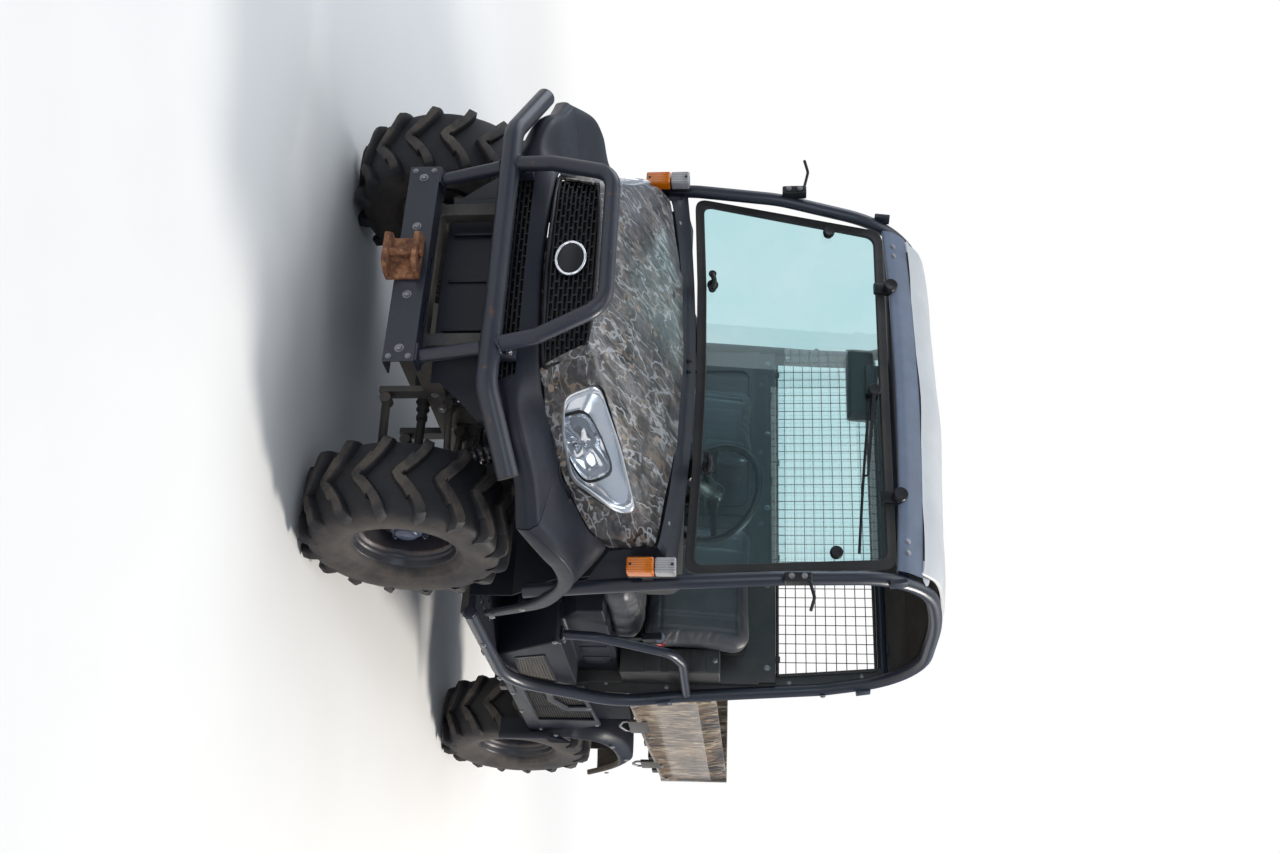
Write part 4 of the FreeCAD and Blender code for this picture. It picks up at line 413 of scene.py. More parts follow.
MATERIALS = {
    # the blue cast of this black is a painted sky reflection over the plastic's own matte black
    "black": molded_plastic("black_plastic", (0.0085, 0.0110, 0.0190), 0.42, 0.05),
    "shiny_black": molded_plastic("satin_plastic", (0.010, 0.011, 0.014), 0.32, 0.10, 1400, 0.00015),
    "dusty": molded_plastic("dusty_plastic", (0.040, 0.034, 0.029), 0.7, 0.9),
    "dash": molded_plastic("dash_plastic", (0.028, 0.029, 0.032), 0.5, 0.25),
    # the navy cast of the cage and guard paint is a painted sky reflection over their own charcoal
    "cage": painted_steel("cage_paint", (0.015, 0.019, 0.031), 0.33, 0.08, 0.06),
    "guard": painted_steel("guard_paint", (0.017, 0.021, 0.033), 0.36, 0.22, 0.08),
    "chassis": painted_steel("chassis_paint", (0.025, 0.025, 0.027), 0.5, 0.3, 0.8),
    "wall": painted_steel("wall_paint", (0.022, 0.023, 0.026), 0.42, 0.05, 0.3),
    "bed": painted_steel("bed_paint", (0.026, 0.026, 0.028), 0.45, 0.25, 0.6),
    # the header's light blue-grey is a painted sky reflection over its own dark grey
    "header": molded_plastic("header_plastic", (0.115, 0.145, 0.205), 0.42, 0.15),
    "roof": white_roof("roof_white"),
    "roof_under": molded_plastic("roof_underside", (0.030, 0.026, 0.024), 0.6, 0.2),
    # the same print on hood and sides, tinted blue on the upward hood and warmer on the sides: painted sky
    # reflection
    "camo": camouflage("bark_camouflage", (90, 0, 0), 0.75),
    "side_camo": camouflage("bark_camouflage_sides", (0, 0, 0), -0.35),
    "vinyl": vinyl("seat_vinyl", (0.040, 0.043, 0.052)),
    "glass": tinted_glass("windshield_glass"),
    "gasket": molded_plastic("gasket_rubber", (0.014, 0.014, 0.015), 0.55, 0.15),
    "steel": raw_steel("machined_steel"),
    "cast": raw_steel("cast_iron", (0.16, 0.15, 0.14), 0.55, 0.6),
    "exhaust": raw_steel("exhaust_steel", (0.20, 0.17, 0.15), 0.55, 0.4),
    "rust": rusty_steel("rusty_steel"),
    # at this metal share the lamp chrome's diffuse pale part is a painted reflection
    "chrome": bright_chrome("lamp_chrome", 0.10),
    "mirror": bright_chrome("lamp_reflector", 0.03, 1.0),
    "lens": clear_lens("lamp_lens", 0.015),
    "amber": ribbed_lens("amber_lens", (0.95, 0.23, 0.004)),
    "white_lens": ribbed_lens("clear_ribbed_lens", (0.50, 0.50, 0.51)),
    "red": ribbed_lens("red_lens", (0.55, 0.02, 0.02)),
    "screen": molded_plastic("instrument_glass", (0.02, 0.03, 0.03), 0.12, 0.02),
    "mesh": painted_steel("mesh_wire", (0.016, 0.016, 0.018), 0.5, 0.05),
    "tyre": tyre_rubber("tyre_rubber"),
    "rim": rim_paint("rim_paint"),
    "rim_nut": painted_steel("cap_paint", (0.030, 0.042, 0.080), 0.35, 0.12, 0.15),
    "bolt": raw_steel("bolt_steel", (0.34, 0.34, 0.36), 0.38, 0.25),
}

for material_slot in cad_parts["windshield_glass"].material_slots:
    material_slot.material = MATERIALS["glass"]


# Mesh tools

def facing(way):
    """A turn of X to a direction."""
    return Vector(way).to_track_quat("X", "Z").to_matrix().to_4x4()


def turned(degrees, axis):
    """A turn about one axis."""
    return Matrix.Rotation(math.radians(degrees), 4, axis)


def poured(work, part):
    """Adds one mesh to another, and frees it."""
    mesh = bpy.data.meshes.new("part")
    part.to_mesh(mesh)
    part.free()
    work.from_mesh(mesh)
    bpy.data.meshes.remove(mesh)


def joined(work, part, index=0, matrix=None):
    """Adds one small mesh to a bigger one, with a material index."""
    for face in part.faces:
        face.material_index = index
    if matrix is not None:
        bmesh.ops.transform(part, matrix=matrix, verts=part.verts)
    poured(work, part)


def rows_of(part, rows):
    """The vertices of rows of points."""
    return [[part.verts.new(point) for point in row] for row in rows]


def bridged(part, rings, around=True):
    """Faces between rings of vertices, or between open rows."""
    for first, second in zip(rings, rings[1:]):
        count = len(first)
        for k in range(count if around else count - 1):
            ahead = (k + 1) % count
            part.faces.new((first[k], first[ahead], second[ahead], second[k]))


def closed_loft(part, rows):
    """A closed body through rings of points, its normals outward."""
    rings = rows_of(part, rows)
    bridged(part, rings)
    part.faces.new(rings[0])
    part.faces.new(rings[-1])
    bmesh.ops.recalc_face_normals(part, faces=part.faces)


def linked(name, work):
    """A new object of a mesh, in the scene."""
    mesh = bpy.data.meshes.new(name)
    work.to_mesh(mesh)
    work.free()
    made = bpy.data.objects.new(name, mesh)
    bpy.context.collection.objects.link(made)
    return made


def applied(made, change):
    """Keeps what a modifier makes of a piece."""
    mesh = bpy.data.meshes.new_from_object(made.evaluated_get(bpy.context.evaluated_depsgraph_get()))
    made.modifiers.remove(change)
    made.data = mesh
    return mesh


EASED_ANGLE = math.radians(28)
FLAT_ANGLE = math.radians(0.8)


def eased(node, bevel=0.0):
    """The mesh of a solid with its flat faces whole and its edges eased."""
    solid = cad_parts[node]
    work = bmesh.new()
    work.from_mesh(solid.data)
    bmesh.ops.transform(work, matrix=solid.matrix_world, verts=work.verts)
    for face in work.faces:
        face.material_index = 0
    bmesh.ops.remove_doubles(work, verts=work.verts, dist=0.00003)
    bmesh.ops.dissolve_limit(work, angle_limit=FLAT_ANGLE, verts=work.verts, edges=work.edges)
    if bevel:
        sharp = [edge for edge in work.edges if len(edge.link_faces) == 2
                 and edge.calc_face_angle(0) > EASED_ANGLE and edge.calc_length() > bevel * 2]
        bmesh.ops.bevel(work, geom=sharp, offset=bevel, segments=2, profile=0.6, affect="EDGES",
                        clamp_overlap=False)
    return work


def piece(name, work, body, slot, *materials, angle=38, origin=None, outward=True):
    """Turns a mesh into a piece that rides on a body, its materials in the order of their indices."""
    if outward:
        bmesh.ops.recalc_face_normals(work, faces=work.faces)
    made = linked(name, work)
    for key in materials:
        made.data.materials.append(MATERIALS[key])
    made.data.shade_smooth()
    made.data.set_sharp_from_angle(angle=math.radians(angle))
    if origin is not None:
        made.location = origin
    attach(made, body)
    return made


def block(work, low, high, bevel=0.002, index=0, matrix=None, segments=2):
    """A box with rounded edges."""
    part = bmesh.new()
    bmesh.ops.create_cube(part, size=1)
    size = Vector(high) - Vector(low)
    middle = (Vector(high) + Vector(low)) / 2
    for vert in part.verts:
        vert.co = Vector([c * s for c, s in zip(vert.co, size)]) + middle
    if bevel:
        bmesh.ops.bevel(part, geom=part.edges[:], offset=min(bevel, min(size) * 0.45), segments=segments,
                        profile=0.6, affect="EDGES")
    joined(work, part, index, matrix)


def lathe(work, profile, matrix=None, sides=48, index=0, closed=False):
    """A profile of (along, radius) turned round X."""
    part = bmesh.new()
    rings = []
    for along, radius in profile:
        if radius < 1e-6:
            rings.append([part.verts.new((along, 0, 0))])
            continue
        rings.append([part.verts.new((along, *spoke)) for spoke in ring_section(radius, sides)])
    pairs = list(zip(rings, rings[1:]))
    if closed:
        pairs.append((rings[-1], rings[0]))
    for first, second in pairs:
        for step in range(sides):
            ahead = (step + 1) % sides
            corners = []
            for vert in (first[step % len(first)], first[ahead % len(first)], second[ahead % len(second)],
                         second[step % len(second)]):
                if vert not in corners:
                    corners.append(vert)
            if len(corners) > 2:
                part.faces.new(corners)
    joined(work, part, index, matrix)


def smooth_path(points, steps=6, closed=False):
    """Points along a smooth line through the given ones."""
    points = [Vector(point) for point in points]
    count = len(points)
    result = []
    for index in range(count if closed else count - 1):
        if closed:
            a, b, c, d = (points[(index + k) % count] for k in (-1, 0, 1, 2))
        else:
            a, b, c, d = (points[min(max(index + k, 0), count - 1)] for k in (-1, 0, 1, 2))
        for step in range(steps):
            t = step / steps
            result.append(0.5 * (2 * b + (c - a) * t + (2 * a - 5 * b + 4 * c - d) * t * t
                                 + (3 * b - a - 3 * c + d) * t * t * t))
    if not closed:
        result.append(points[-1])
    return result


ONE_BEND_SHARE = 0.45
OWN_BEND_SHARE = 0.62


def bent_path(points, bend, steps=14):
    """Straight runs through the points, joined by arcs, all of one bend or each of its own."""
    points = [Vector(point) for point in points]
    own = isinstance(bend, tuple)
    bends = bend if own else (bend,) * (len(points) - 2)
    path = [points[0]]
    for before, corner, after, radius in zip(points, points[1:], points[2:], bends):
        back, ahead = before - corner, after - corner
        shorter = min(back.length, ahead.length)
        back.normalize()
        ahead.normalize()
        half = (math.pi - back.angle(ahead)) / 2
        reach = min((OWN_BEND_SHARE if own else ONE_BEND_SHARE) * shorter, radius * math.tan(half))
        radius = reach / math.tan(half)
        middle = corner + (back + ahead).normalized() * radius / math.cos(half)
        start = corner + back * reach - middle
        axis = start.cross(corner + ahead * reach - middle)
        path.extend(middle + Matrix.Rotation(2 * half * step / steps, 3, axis) @ start
                    for step in range(steps + 1))
    path.append(points[-1])
    return path


def tube(work, points, radius, bend, index=0, sides=24):
    """A bent round tube through points in millimetres."""
    sweep(work, bent_path([at(*point) for point in points], bend), ring_section(radius, sides), index)


CORNER_STEPS = 6


def rounded_corner(before, corner, after, reach_in, reach_out):
    """Points along a soft corner of an outline."""
    start = corner + (before - corner).normalized() * reach_in
    finish = corner + (after - corner).normalized() * reach_out
    for step in range(CORNER_STEPS + 1):
        t = step / CORNER_STEPS
        yield start * (1 - t) ** 2 + corner * 2 * t * (1 - t) + finish * t * t


def flowing(stations, across=4, along=5):
    """Rows of points through the stations, smooth both ways."""
    lines = [smooth_path(station, across) for station in stations]
    columns = [smooth_path(column, along) for column in zip(*lines)]
    return list(zip(*columns))


def carve(made, first, last):
    """Cuts a prism between two outlines out of a piece."""
    cutter = bmesh.new()
    rings = rows_of(cutter, (first, last))
    cutter.faces.new(rings[0])
    cutter.faces.new(rings[1])
    bridged(cutter, rings)
    bmesh.ops.recalc_face_normals(cutter, faces=cutter.faces)
    tool = linked("cutter", cutter)
    change = made.modifiers.new("carve", "BOOLEAN")
    change.operation = "DIFFERENCE"
    change.object = tool
    change.solver = "EXACT"
    mesh = applied(made, change)
    bpy.data.objects.remove(tool)
    mesh.set_sharp_from_angle(angle=math.radians(45))


def ring_section(radius, sides=12, flat=1.0):
    """Points round a circle, or round one that is flattened."""
    angles = [2 * math.pi * k / sides for k in range(sides)]
    return [(radius * math.cos(angle), radius * flat * math.sin(angle)) for angle in angles]


def sweep(work, path, section, index=0, closed=False, up=None, scale=None):
    """A section of (side, up) points carried along a path."""
    part = bmesh.new()
    path = [Vector(point) for point in path]
    count = len(path)
    side = None
    rings = []
    for number, point in enumerate(path):
        if closed:
            way = path[(number + 1) % count] - path[number - 1]
        else:
            way = path[min(number + 1, count - 1)] - path[max(number - 1, 0)]
        way.normalize()
        if up is not None:
            side = way.cross(Vector(up))
        elif side is None:
            side = way.orthogonal()
        side = (side - way * side.dot(way)).normalized()
        other = side.cross(way)
        grow = scale(number / max(count - 1, 1)) if scale else 1.0
        rings.append([part.verts.new(point + side * a * grow + other * b * grow) for a, b in section])
    bridged(part, rings + rings[:1] if closed else rings)
    if not closed:
        part.faces.new(rings[0][::-1])
        part.faces.new(rings[-1])
    joined(work, part, index)


def rod(work, start, end, radius, sides=16, index=0, bevel=0.0):
    """A round bar, its ends chamfered by a bevel."""
    start, end = Vector(start), Vector(end)
    length = (end - start).length
    edge = min(bevel, radius * 0.5, length * 0.4)
    profile = [(0, 0), (0, radius - edge), (edge, radius), (length - edge, radius), (length, radius - edge),
               (length, 0)]
    lathe(work, profile, Matrix.Translation(start) @ facing(end - start), sides, index)


def bolt(work, place, way, radius=0.008, height=0.006, index=0):
    """A hexagon bolt head on a washer."""
    turn = Matrix.Translation(place) @ facing(way)
    lathe(work, [(0, 0), (0, radius * 1.45), (0.0015, radius * 1.4), (0.0015, 0)], turn, 20, index)
    head = [(0.001, radius), (height * 0.8, radius), (height, radius * 0.85), (height, 0)]
    lathe(work, head, turn, 6, index)


def bolts(work, places, way, radius, height, index=1):
    """Bolt heads at places in millimetres, all the same way."""
    for place in places:
        bolt(work, at(*place), way, radius, height, index)


def bar(work, low, high, bevel=0.002, index=0, segments=2):
    """A block between two corners in millimetres."""
    block(work, at(*low), at(*high), bevel, index, segments=segments)


def skin(work, rows, thickness, index=0, closed=False):
    """A sheet through rows of points, given a thickness away from its normal."""
    part = bmesh.new()
    bridged(part, rows_of(part, rows), closed)
    bmesh.ops.recalc_face_normals(part, faces=part.faces)
    if thickness:
        bmesh.ops.solidify(part, geom=part.faces[:], thickness=thickness)
    joined(work, part, index)


def mirror(work):
    """Adds the same mesh on the other side of the vehicle."""
    part = work.copy()
    bmesh.ops.scale(part, vec=(-1, 1, 1), verts=part.verts)
    bmesh.ops.reverse_faces(part, faces=part.faces)
    poured(work, part)


# Wheels

WHEELS = (
    # label, body, side, along the vehicle
    ("front_left", "wheel_front_left", 1, FRONT_AXLE),
    ("front_right", "wheel_front_right", -1, FRONT_AXLE),
    ("rear_left", "wheel_rear_left", 1, REAR_AXLE),
    ("rear_right", "wheel_rear_right", -1, REAR_AXLE),
)
LUG_PITCHES = 16
LUG_TOP = 0.3125
LUG_FLARE = 0.006
LUG_REACH = 0.1268
DISC_OUT = 0.024
DISC_EDGE = 0.1300
NUT_CIRCLE = 0.064
BAR_PATH = (
    # across, run round the tyre, top radius, foot radius, width
    (0.1262, -0.006, 0.262, 0.246, 0.022),
    (0.1235, -0.004, 0.286, 0.256, 0.027),
    (0.1130, 0.000, 0.306, 0.268, 0.029),
    (0.0950, 0.006, 0.3115, 0.280, 0.028),
    (0.0700, 0.019, LUG_TOP, 0.284, 0.025),
    (0.0430, 0.040, LUG_TOP, 0.284, 0.024),
    (0.0150, 0.068, LUG_TOP, 0.284, 0.025),
)
CHEVRON_PATH = (
    (0.0620, -0.026, LUG_TOP, 0.284, 0.023),
    (0.0360, -0.008, LUG_TOP, 0.284, 0.023),
    (0.0120, 0.014, LUG_TOP, 0.284, 0.024),
    (0.0000, 0.022, LUG_TOP, 0.284, 0.026),
)


def lug(stations, phase):
    """One tread bar along its stations, bevelled round its top."""
    part = bmesh.new()
    rings = []
    for number, (across, run, top, foot, width) in enumerate(stations):
        before = stations[max(number - 1, 0)]
        after = stations[min(number + 1, len(stations) - 1)]
        way = Vector((after[0] - before[0], after[1] - before[1])).normalized()
        side = Vector((-way.y, way.x))
        ring = []
        half = width * 0.5
        for radius, spread in ((foot, half + LUG_FLARE), (top, half), (top, -half),
                               (foot, -half - LUG_FLARE)):
            x = across + side.x * spread
            angle = phase + (run + side.y * spread) / LUG_TOP
            x = max(-LUG_REACH, min(LUG_REACH, x))
            ring.append(part.verts.new((x, radius * math.cos(angle), radius * math.sin(angle))))
        rings.append(ring)
    bridged(part, rings)
    part.faces.new(rings[0][::-1])
    part.faces.new(rings[-1])
    bmesh.ops.recalc_face_normals(part, faces=part.faces)
    crest = [edge for edge in part.edges
             if edge.calc_face_angle(0) > 0.6 and min(Vector(v.co[1:]).length for v in edge.verts) > 0.258]
    bmesh.ops.bevel(part, geom=crest, offset=0.0028, segments=2, profile=0.6, affect="EDGES")
    return part


def tyre_mesh():
    """A farm tread tyre about its own middle: carcass, side ribs and lugs."""
    work = bmesh.new()
    half = smooth_path([(0.088, 0.1535, 0), (0.100, 0.160, 0), (0.109, 0.172, 0), (0.1175, 0.190, 0),
                        (0.1235, 0.212, 0), (0.1250, 0.232, 0), (0.1225, 0.252, 0), (0.1150, 0.270, 0),
                        (0.1010, 0.281, 0), (0.070, 0.2865, 0), (0.035, 0.2885, 0), (0.0, 0.289, 0)], 3)
    ribbed = []
    for point in half:
        lift = 0.0016 if 0.170 < point.y < 0.178 or 0.205 < point.y < 0.209 else 0.0
        ribbed.append((point.x + lift, point.y))
    profile = ribbed + [(-x, radius) for x, radius in ribbed[-2::-1]]
    lathe(work, profile + [(-0.086, 0.170), (0.086, 0.170)], sides=96, closed=True)
    for number in range(LUG_PITCHES):
        phase = 2 * math.pi * number / LUG_PITCHES
        for side in (1, -1):
            stations = [(side * x, *rest) for x, *rest in BAR_PATH]
            joined(work, lug(stations, phase))
        left = [(x, *rest) for x, *rest in CHEVRON_PATH]
        right = [(-x, *rest) for x, *rest in CHEVRON_PATH[:-1]]
        joined(work, lug(left + right[::-1], phase + math.pi / LUG_PITCHES))
    return work


def rim_mesh():
    """A pressed steel rim with its disc, cap, nuts and valve, outside towards +X."""
    work = bmesh.new()
    seen = [(0.0975, 0.1600), (0.0985, 0.1660), (0.0960, 0.1688), (0.0915, 0.1675), (0.0895, 0.1600),
            (0.0885, 0.1520), (0.0840, 0.1488), (0.0700, 0.1478), (0.0655, 0.1450), (0.0625, 0.1420),
            (0.0560, 0.1405), (0.0500, 0.1320), (0.0440, 0.1295), (0.0060, 0.1290), (-0.0500, 0.1300),
            (-0.0600, 0.1420), (-0.0880, 0.1480), (-0.0915, 0.1675), (-0.0975, 0.1686)]
    hidden = [(x - 0.003, radius + (0.0035 if radius < 0.15 else -0.002)) for x, radius in seen[-3:1:-1]]
    lathe(work, seen + hidden, sides=72, closed=True)
    disc = [(-0.0080, 0.1300), (-0.0120, 0.1240), (-0.0180, 0.1160), (-0.0200, 0.1080), (-0.0150, 0.0960),
            (-0.0070, 0.0860), (-0.0040, 0.0780), (-0.0060, 0.0600), (-0.0060, 0.0440), (-0.0120, 0.0440),
            (-0.0125, 0.0800), (-0.0210, 0.0960), (-0.0260, 0.1080), (-0.0230, 0.1180), (-0.0130, 0.1300)]
    disc = [(x + DISC_OUT * min(1, (DISC_EDGE - radius) / 0.02), radius) for x, radius in disc]
    lathe(work, disc, sides=72, closed=True)
    cap = [(-0.012, 0.0), (-0.012, 0.0435), (-0.004, 0.0438), (0.008, 0.0430), (0.012, 0.0405),
           (0.014, 0.0330), (0.0205, 0.0310), (0.0240, 0.0270), (0.0248, 0.0)]
    lathe(work, [(x + DISC_OUT + 0.006, radius * 1.12) for x, radius in cap], sides=40, index=1)
    for number in range(4):
        angle = math.pi / 4 + math.pi / 2 * number
        place = Vector((DISC_OUT - 0.006, NUT_CIRCLE * math.cos(angle), NUT_CIRCLE * math.sin(angle)))
        bolt(work, place, (1, 0, 0), 0.0105, 0.017, 1)
        rod(work, place, place + Vector((0.024, 0, 0)), 0.0052, 10, 1, 0.001)
    rod(work, (0.050, 0.0, 0.1340), (0.086, 0.0, 0.1270), 0.0045, 10, 2, 0.001)
    return work


def build_wheels():
    """Four tyres and four rims from one mesh each."""
    tyre, rim = tyre_mesh(), rim_mesh()
    for label, body, side, along in WHEELS:
        middle = Vector((side * TRACK_HALF, along, AXLE_Z))
        made = piece(f"tyre_{label}_tread", tyre.copy(), body, "tyre_rubber", "tyre", origin=middle,
                     angle=34)
        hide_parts(f"tyre_{label}")
        pressing = rim.copy()
        if side < 0:
            bmesh.ops.rotate(pressing, matrix=Matrix.Rotation(math.pi, 3, "Z"), verts=pressing.verts)
        made = piece(f"rim_{label}_pressing", pressing, body, "rim_steel", "rim", "rim_nut", "gasket",
                     origin=middle)
        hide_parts(f"rim_{label}")
    tyre.free()
    rim.free()


# Cage, roof and the body panels round the front

CAGE_LINE = (
    (752, 196, 640), (730, 170, 1118), (706, 196, 1413), (652, 312, 1862), (648, 699, 1920),
    (664, 1186, 1902), (704, 1216, 1560), (742, 1200, 1048), (770, 1182, 830), (770, 954, 452),
    (770, 330, 452),
)
CAGE_BENDS = (0.5, 0.5, 0.34, 1.2, 0.30, 0.5, 0.6, 0.42, 0.24)
CAGE_CLAMPS = ((664, 286, 1765), (690, 1216, 1700), (746, 1198, 990))


def build_cage():
    """The bent sides of the cage with their smooth bends, clamps and bolts."""
    for side in ("left", "right"):
        work = bmesh.new()
        tube(work, CAGE_LINE, 0.022, CAGE_BENDS, sides=28)
        lathe(work, [(0, 0), (0, 0.0205), (0.004, 0.0185), (0.007, 0)],
              Matrix.Translation(at(*CAGE_LINE[-1])) @ turned(-90, "Z"), 24)
        for place in CAGE_CLAMPS:
            block(work, (-0.004, -0.019, -0.026), (0.012, 0.019, 0.026), 0.003, 0,
                  Matrix.Translation(at(*place)) @ turned(-8, "Y") @ Matrix.Translation((0.016, 0, 0)))
        bolts(work, ((782, 1120, 700), (792, 560, 452), (792, 880, 452)), (1, 0, 0), 0.0075, 0.006)
        bolts(work, ((728, 1216, 1560),), (1, 0.1, 0.05), 0.0075, 0.006)
        bolts(work, ((766, 1196, 1010),), (1, 0, 0), 0.0075, 0.006)
        if side == "right":
            bmesh.ops.scale(work, vec=(-1, 1, 1), verts=work.verts)
            bmesh.ops.reverse_faces(work, faces=work.faces)
        made = piece(f"cage_{side}_tubes", work, "vehicle", "cage_paint", "cage", "bolt")
        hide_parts(f"cage_{side}")
    work = bmesh.new()
    rod(work, at(-640, 340, 1788), at(640, 340, 1788), 0.019, 20)
    rod(work, at(-668, 1216, 1776), at(668, 1216, 1776), 0.019, 20)
    for x in (-560, -186, 186, 560):
        bar(work, (x - 20, 1186, 1790), (x + 20, 1246, 1796))
        bolt(work, at(x, 1216, 1796), (0, 0, 1), 0.008, 0.006, 1)
    made = piece("cage_crossbar_tubes", work, "vehicle", "cage_paint", "cage", "bolt")
    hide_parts("cage_crossbars")


GRAB_LINE = ((706, 682, 692), (706, 700, 800), (708, 850, 1040), (712, 930, 1072), (738, 1182, 1072))


def build_grab_bars():
    """The bent hand bars beside the seats, on bolted feet."""
    work = bmesh.new()
    tube(work, GRAB_LINE, 0.016, 0.09)
    bar(work, (682, 662, 689), (730, 706, 695), 0.003)
    bolts(work, ((722, 670, 695), (722, 698, 695)), (0, 0, 1), 0.006, 0.005)
    mirror(work)
    made = piece("grab_bar_tubes", work, "vehicle", "cage_paint", "cage", "bolt")
    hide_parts("grab_bars")


ROOF_STATIONS = (
    # along, edge height, middle height, half width
    (342, 1851, 1872, 628), (440, 1912, 1934, 626), (700, 1945, 1969, 624), (1040, 1936, 1962, 631),
    (1190, 1868, 1890, 648),
)


ROOF_RIBS = (0.26, 0.3, 0.58, 0.62)
ROOF_SHARES = (-1.0, -0.975, -0.8, -0.62, -0.58, -0.3, -0.26, 0.0, 0.26, 0.3, 0.58, 0.62, 0.8, 0.975, 1.0)
APRON_STATIONS = ((1186, 1864, 1888, 636), (1204, 1846, 1866, 638), (1213, 1816, 1830, 644),
                  (1215, 1776, 1784, 650))
APRON_SHARES = (-1.0, -0.7, -0.35, 0.0, 0.35, 0.7, 1.0)


def crowned(station, shares, sunk=0, dropped=0):
    """A line across the roof, its ribs sunk between the fields and its edge dropped."""
    y, edge, middle, half = station
    for share in shares:
        rise = (middle - edge) * (1 - share * share)
        rib = sunk if abs(share) in ROOF_RIBS else 0
        drop = dropped if abs(share) == 1.0 else 0
        yield at(share * half, y, edge + rise - rib - drop)


def build_roof():
    """The roof moulding: a crowned skin with ribs and a rolled edge, dark underneath."""
    work = bmesh.new()
    stations = [list(crowned(station, ROOF_SHARES, 6, 13)) for station in ROOF_STATIONS]
    skin(work, flowing(stations, 3, 8), 0.014)
    bmesh.ops.recalc_face_normals(work, faces=work.faces)
    for face in work.faces:
        if face.normal.z < -0.6:
            face.material_index = 1
    made = piece("roof_moulding", work, "vehicle", "roof_white", "roof", "roof_under", angle=40)
    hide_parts("roof_panel")
    apron = bmesh.new()
    stations = [list(crowned(station, APRON_SHARES)) for station in APRON_STATIONS]
    skin(apron, flowing(stations, 3, 4), 0.008)
    for face in apron.faces:
        if face.normal.y < -0.2 or face.normal.z < -0.35:
            face.material_index = 1
    piece("roof_rear_apron", apron, "vehicle", "roof_white", "roof", "roof_under", angle=40)


def skirt(x, y, heading, *points):
    """Points of an upright section: outward from a place in a heading, and height."""
    way = math.radians(heading)
    return [at(x + a * math.sin(way), y - a * math.cos(way), b) for a, b in points]


def arch(degrees, axle, *points):
    """Points of a section through an axle: across the vehicle and out from the axle."""
    way = math.radians(degrees)
    return [at(a, axle + b * math.cos(way), AXLE_HEIGHT + b * math.sin(way)) for a, b in points]


SKIRT = (
    (0, -400, 0, (26, 600), (44, 598), (60, 618), (63, 660), (60, 698), (50, 731), (34, 738)),
    (330, -380, 6, (30, 604), (48, 602), (66, 624), (69, 664), (66, 702), (46, 744), (28, 750)),
    (400, -322, 28, (96, 640), (114, 636), (128, 658), (134, 684), (122, 708), (20, 750), (0, 754)),
    (434, -287, 45, (148, 668), (168, 664), (181, 686), (180, 708), (160, 732), (20, 758), (0, 762)),
    (470, -235, 60, (178, 692), (198, 688), (211, 712), (204, 732), (178, 752), (18, 768), (2, 772)),
)
FENDER_FRONT = (500, -190, 75, (248, 698), (266, 694), (272, 722), (262, 742), (228, 760), (16, 781),
                (2, 784))
FENDER_ARCH = (
    (108, (772, 456), (790, 458), (793, 502), (786, 512), (750, 518), (572, 500), (556, 500)),
    (99, (778, 462), (795, 464), (797, 504), (790, 514), (752, 521), (618, 518), (601, 516)),
    (90, (780, 462), (796, 464), (797, 500), (790, 510), (752, 519), (664, 541), (648, 546)),
    (82, (778, 455), (794, 457), (795, 490), (788, 500), (755, 514), (684, 568), (660, 590)),
    (73, (774, 440), (790, 442), (791, 474), (784, 484), (768, 494), (742, 512), (735, 516)),
    (58, (768, 418), (784, 420), (784, 460), (778, 468), (766, 474), (748, 477), (740, 476)),
    (42, (760, 396), (775, 398), (774, 432), (768, 440), (758, 445), (746, 447), (740, 446)),
    (27, (752, 392), (767, 394), (766, 422), (760, 428), (752, 432), (744, 433), (740, 432)),
)


def build_fascia():
    """The dark panel that wraps the front under the hood, with its lower grille opening."""
    work = bmesh.new()
    x, y, heading, *points = FENDER_FRONT
    half = [*SKIRT[1:], (x, y, heading - 1.0, *points)]
    stations = [skirt(-x, y, -heading, *points) for x, y, heading, *points in half[::-1]]
    stations.append(skirt(*SKIRT[0]))
    stations.extend(skirt(*station) for station in half)
    skin(work, flowing(stations, 4, 6), 0.004)
    made = piece("fascia_skin", work, "vehicle", "black_plastic", "black", angle=60)
    corners = ((-398, 634), (-374, 689), (374, 689), (398, 634))
    carve(made, [at(x, -560, z) for x, z in corners], [at(x, -340, z) for x, z in corners])
    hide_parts("front_fascia")


def build_front_fenders():
    """Each fender: a bulged top, a rolled lip round the wheel and a leg down to the sill."""
    work = bmesh.new()
    stations = [skirt(*FENDER_FRONT)]
    stations.extend(arch(angle, 0, *points) for angle, *points in FENDER_ARCH)
    skin(work, flowing(stations, 4, 6), 0.004)
    for angle, radius in ((66, 430), (48, 398), (31, 380)):
        bolt(work, arch(angle, 0, (779, radius + 22))[0], (1, 0, 0), 0.007, 0.004, 1)
    mirror(work)
    made = piece("front_fender_skins", work, "vehicle", "black_plastic", "black", "bolt", angle=60)
    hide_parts("front_fenders")


COWL = (
    (103, (662, 905), (657, 950), (654, 990), (646, 1034), (620, 1056), (350, 1090), (0, 1104)),
    (126, (678, 884), (672, 950), (668, 996), (660, 1050), (630, 1072), (350, 1101), (0, 1114)),
    (150, (694, 862), (688, 950), (684, 1010), (676, 1070), (650, 1090), (350, 1112), (0, 1124)),
    (173, (736, 826), (733, 940), (731, 1040), (727, 1086), (700, 1100), (350, 1130), (0, 1142)),
)


def both_sides(y, half):
    """A line over the whole width from (across, height) points of its left half, middle last."""
    return [at(-x, y, z) for x, z in half[:-1]] + [at(x, y, z) for x, z in half[::-1]]


def build_cowl():
    """The dark panel between the hood and the windshield, with its bolts and two short pegs."""
    work = bmesh.new()
    skin(work, flowing([both_sides(y, half) for y, *half in COWL], 3, 4), 0.004)
    for x in (-560, -297, 297, 560):
        bolt(work, at(x, 128, 1094 if abs(x) < 400 else 1077), (0, -0.4, 1), 0.0085, 0.006, 1)
    for x in (-20, 20):
        rod(work, at(x, 140, 1112), at(x, 136, 1132), 0.006, 14, 0, 0.002)
    made = piece("cowl_skin", work, "vehicle", "black_plastic", "black", "bolt", angle=50)
    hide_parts("cowl_panel")


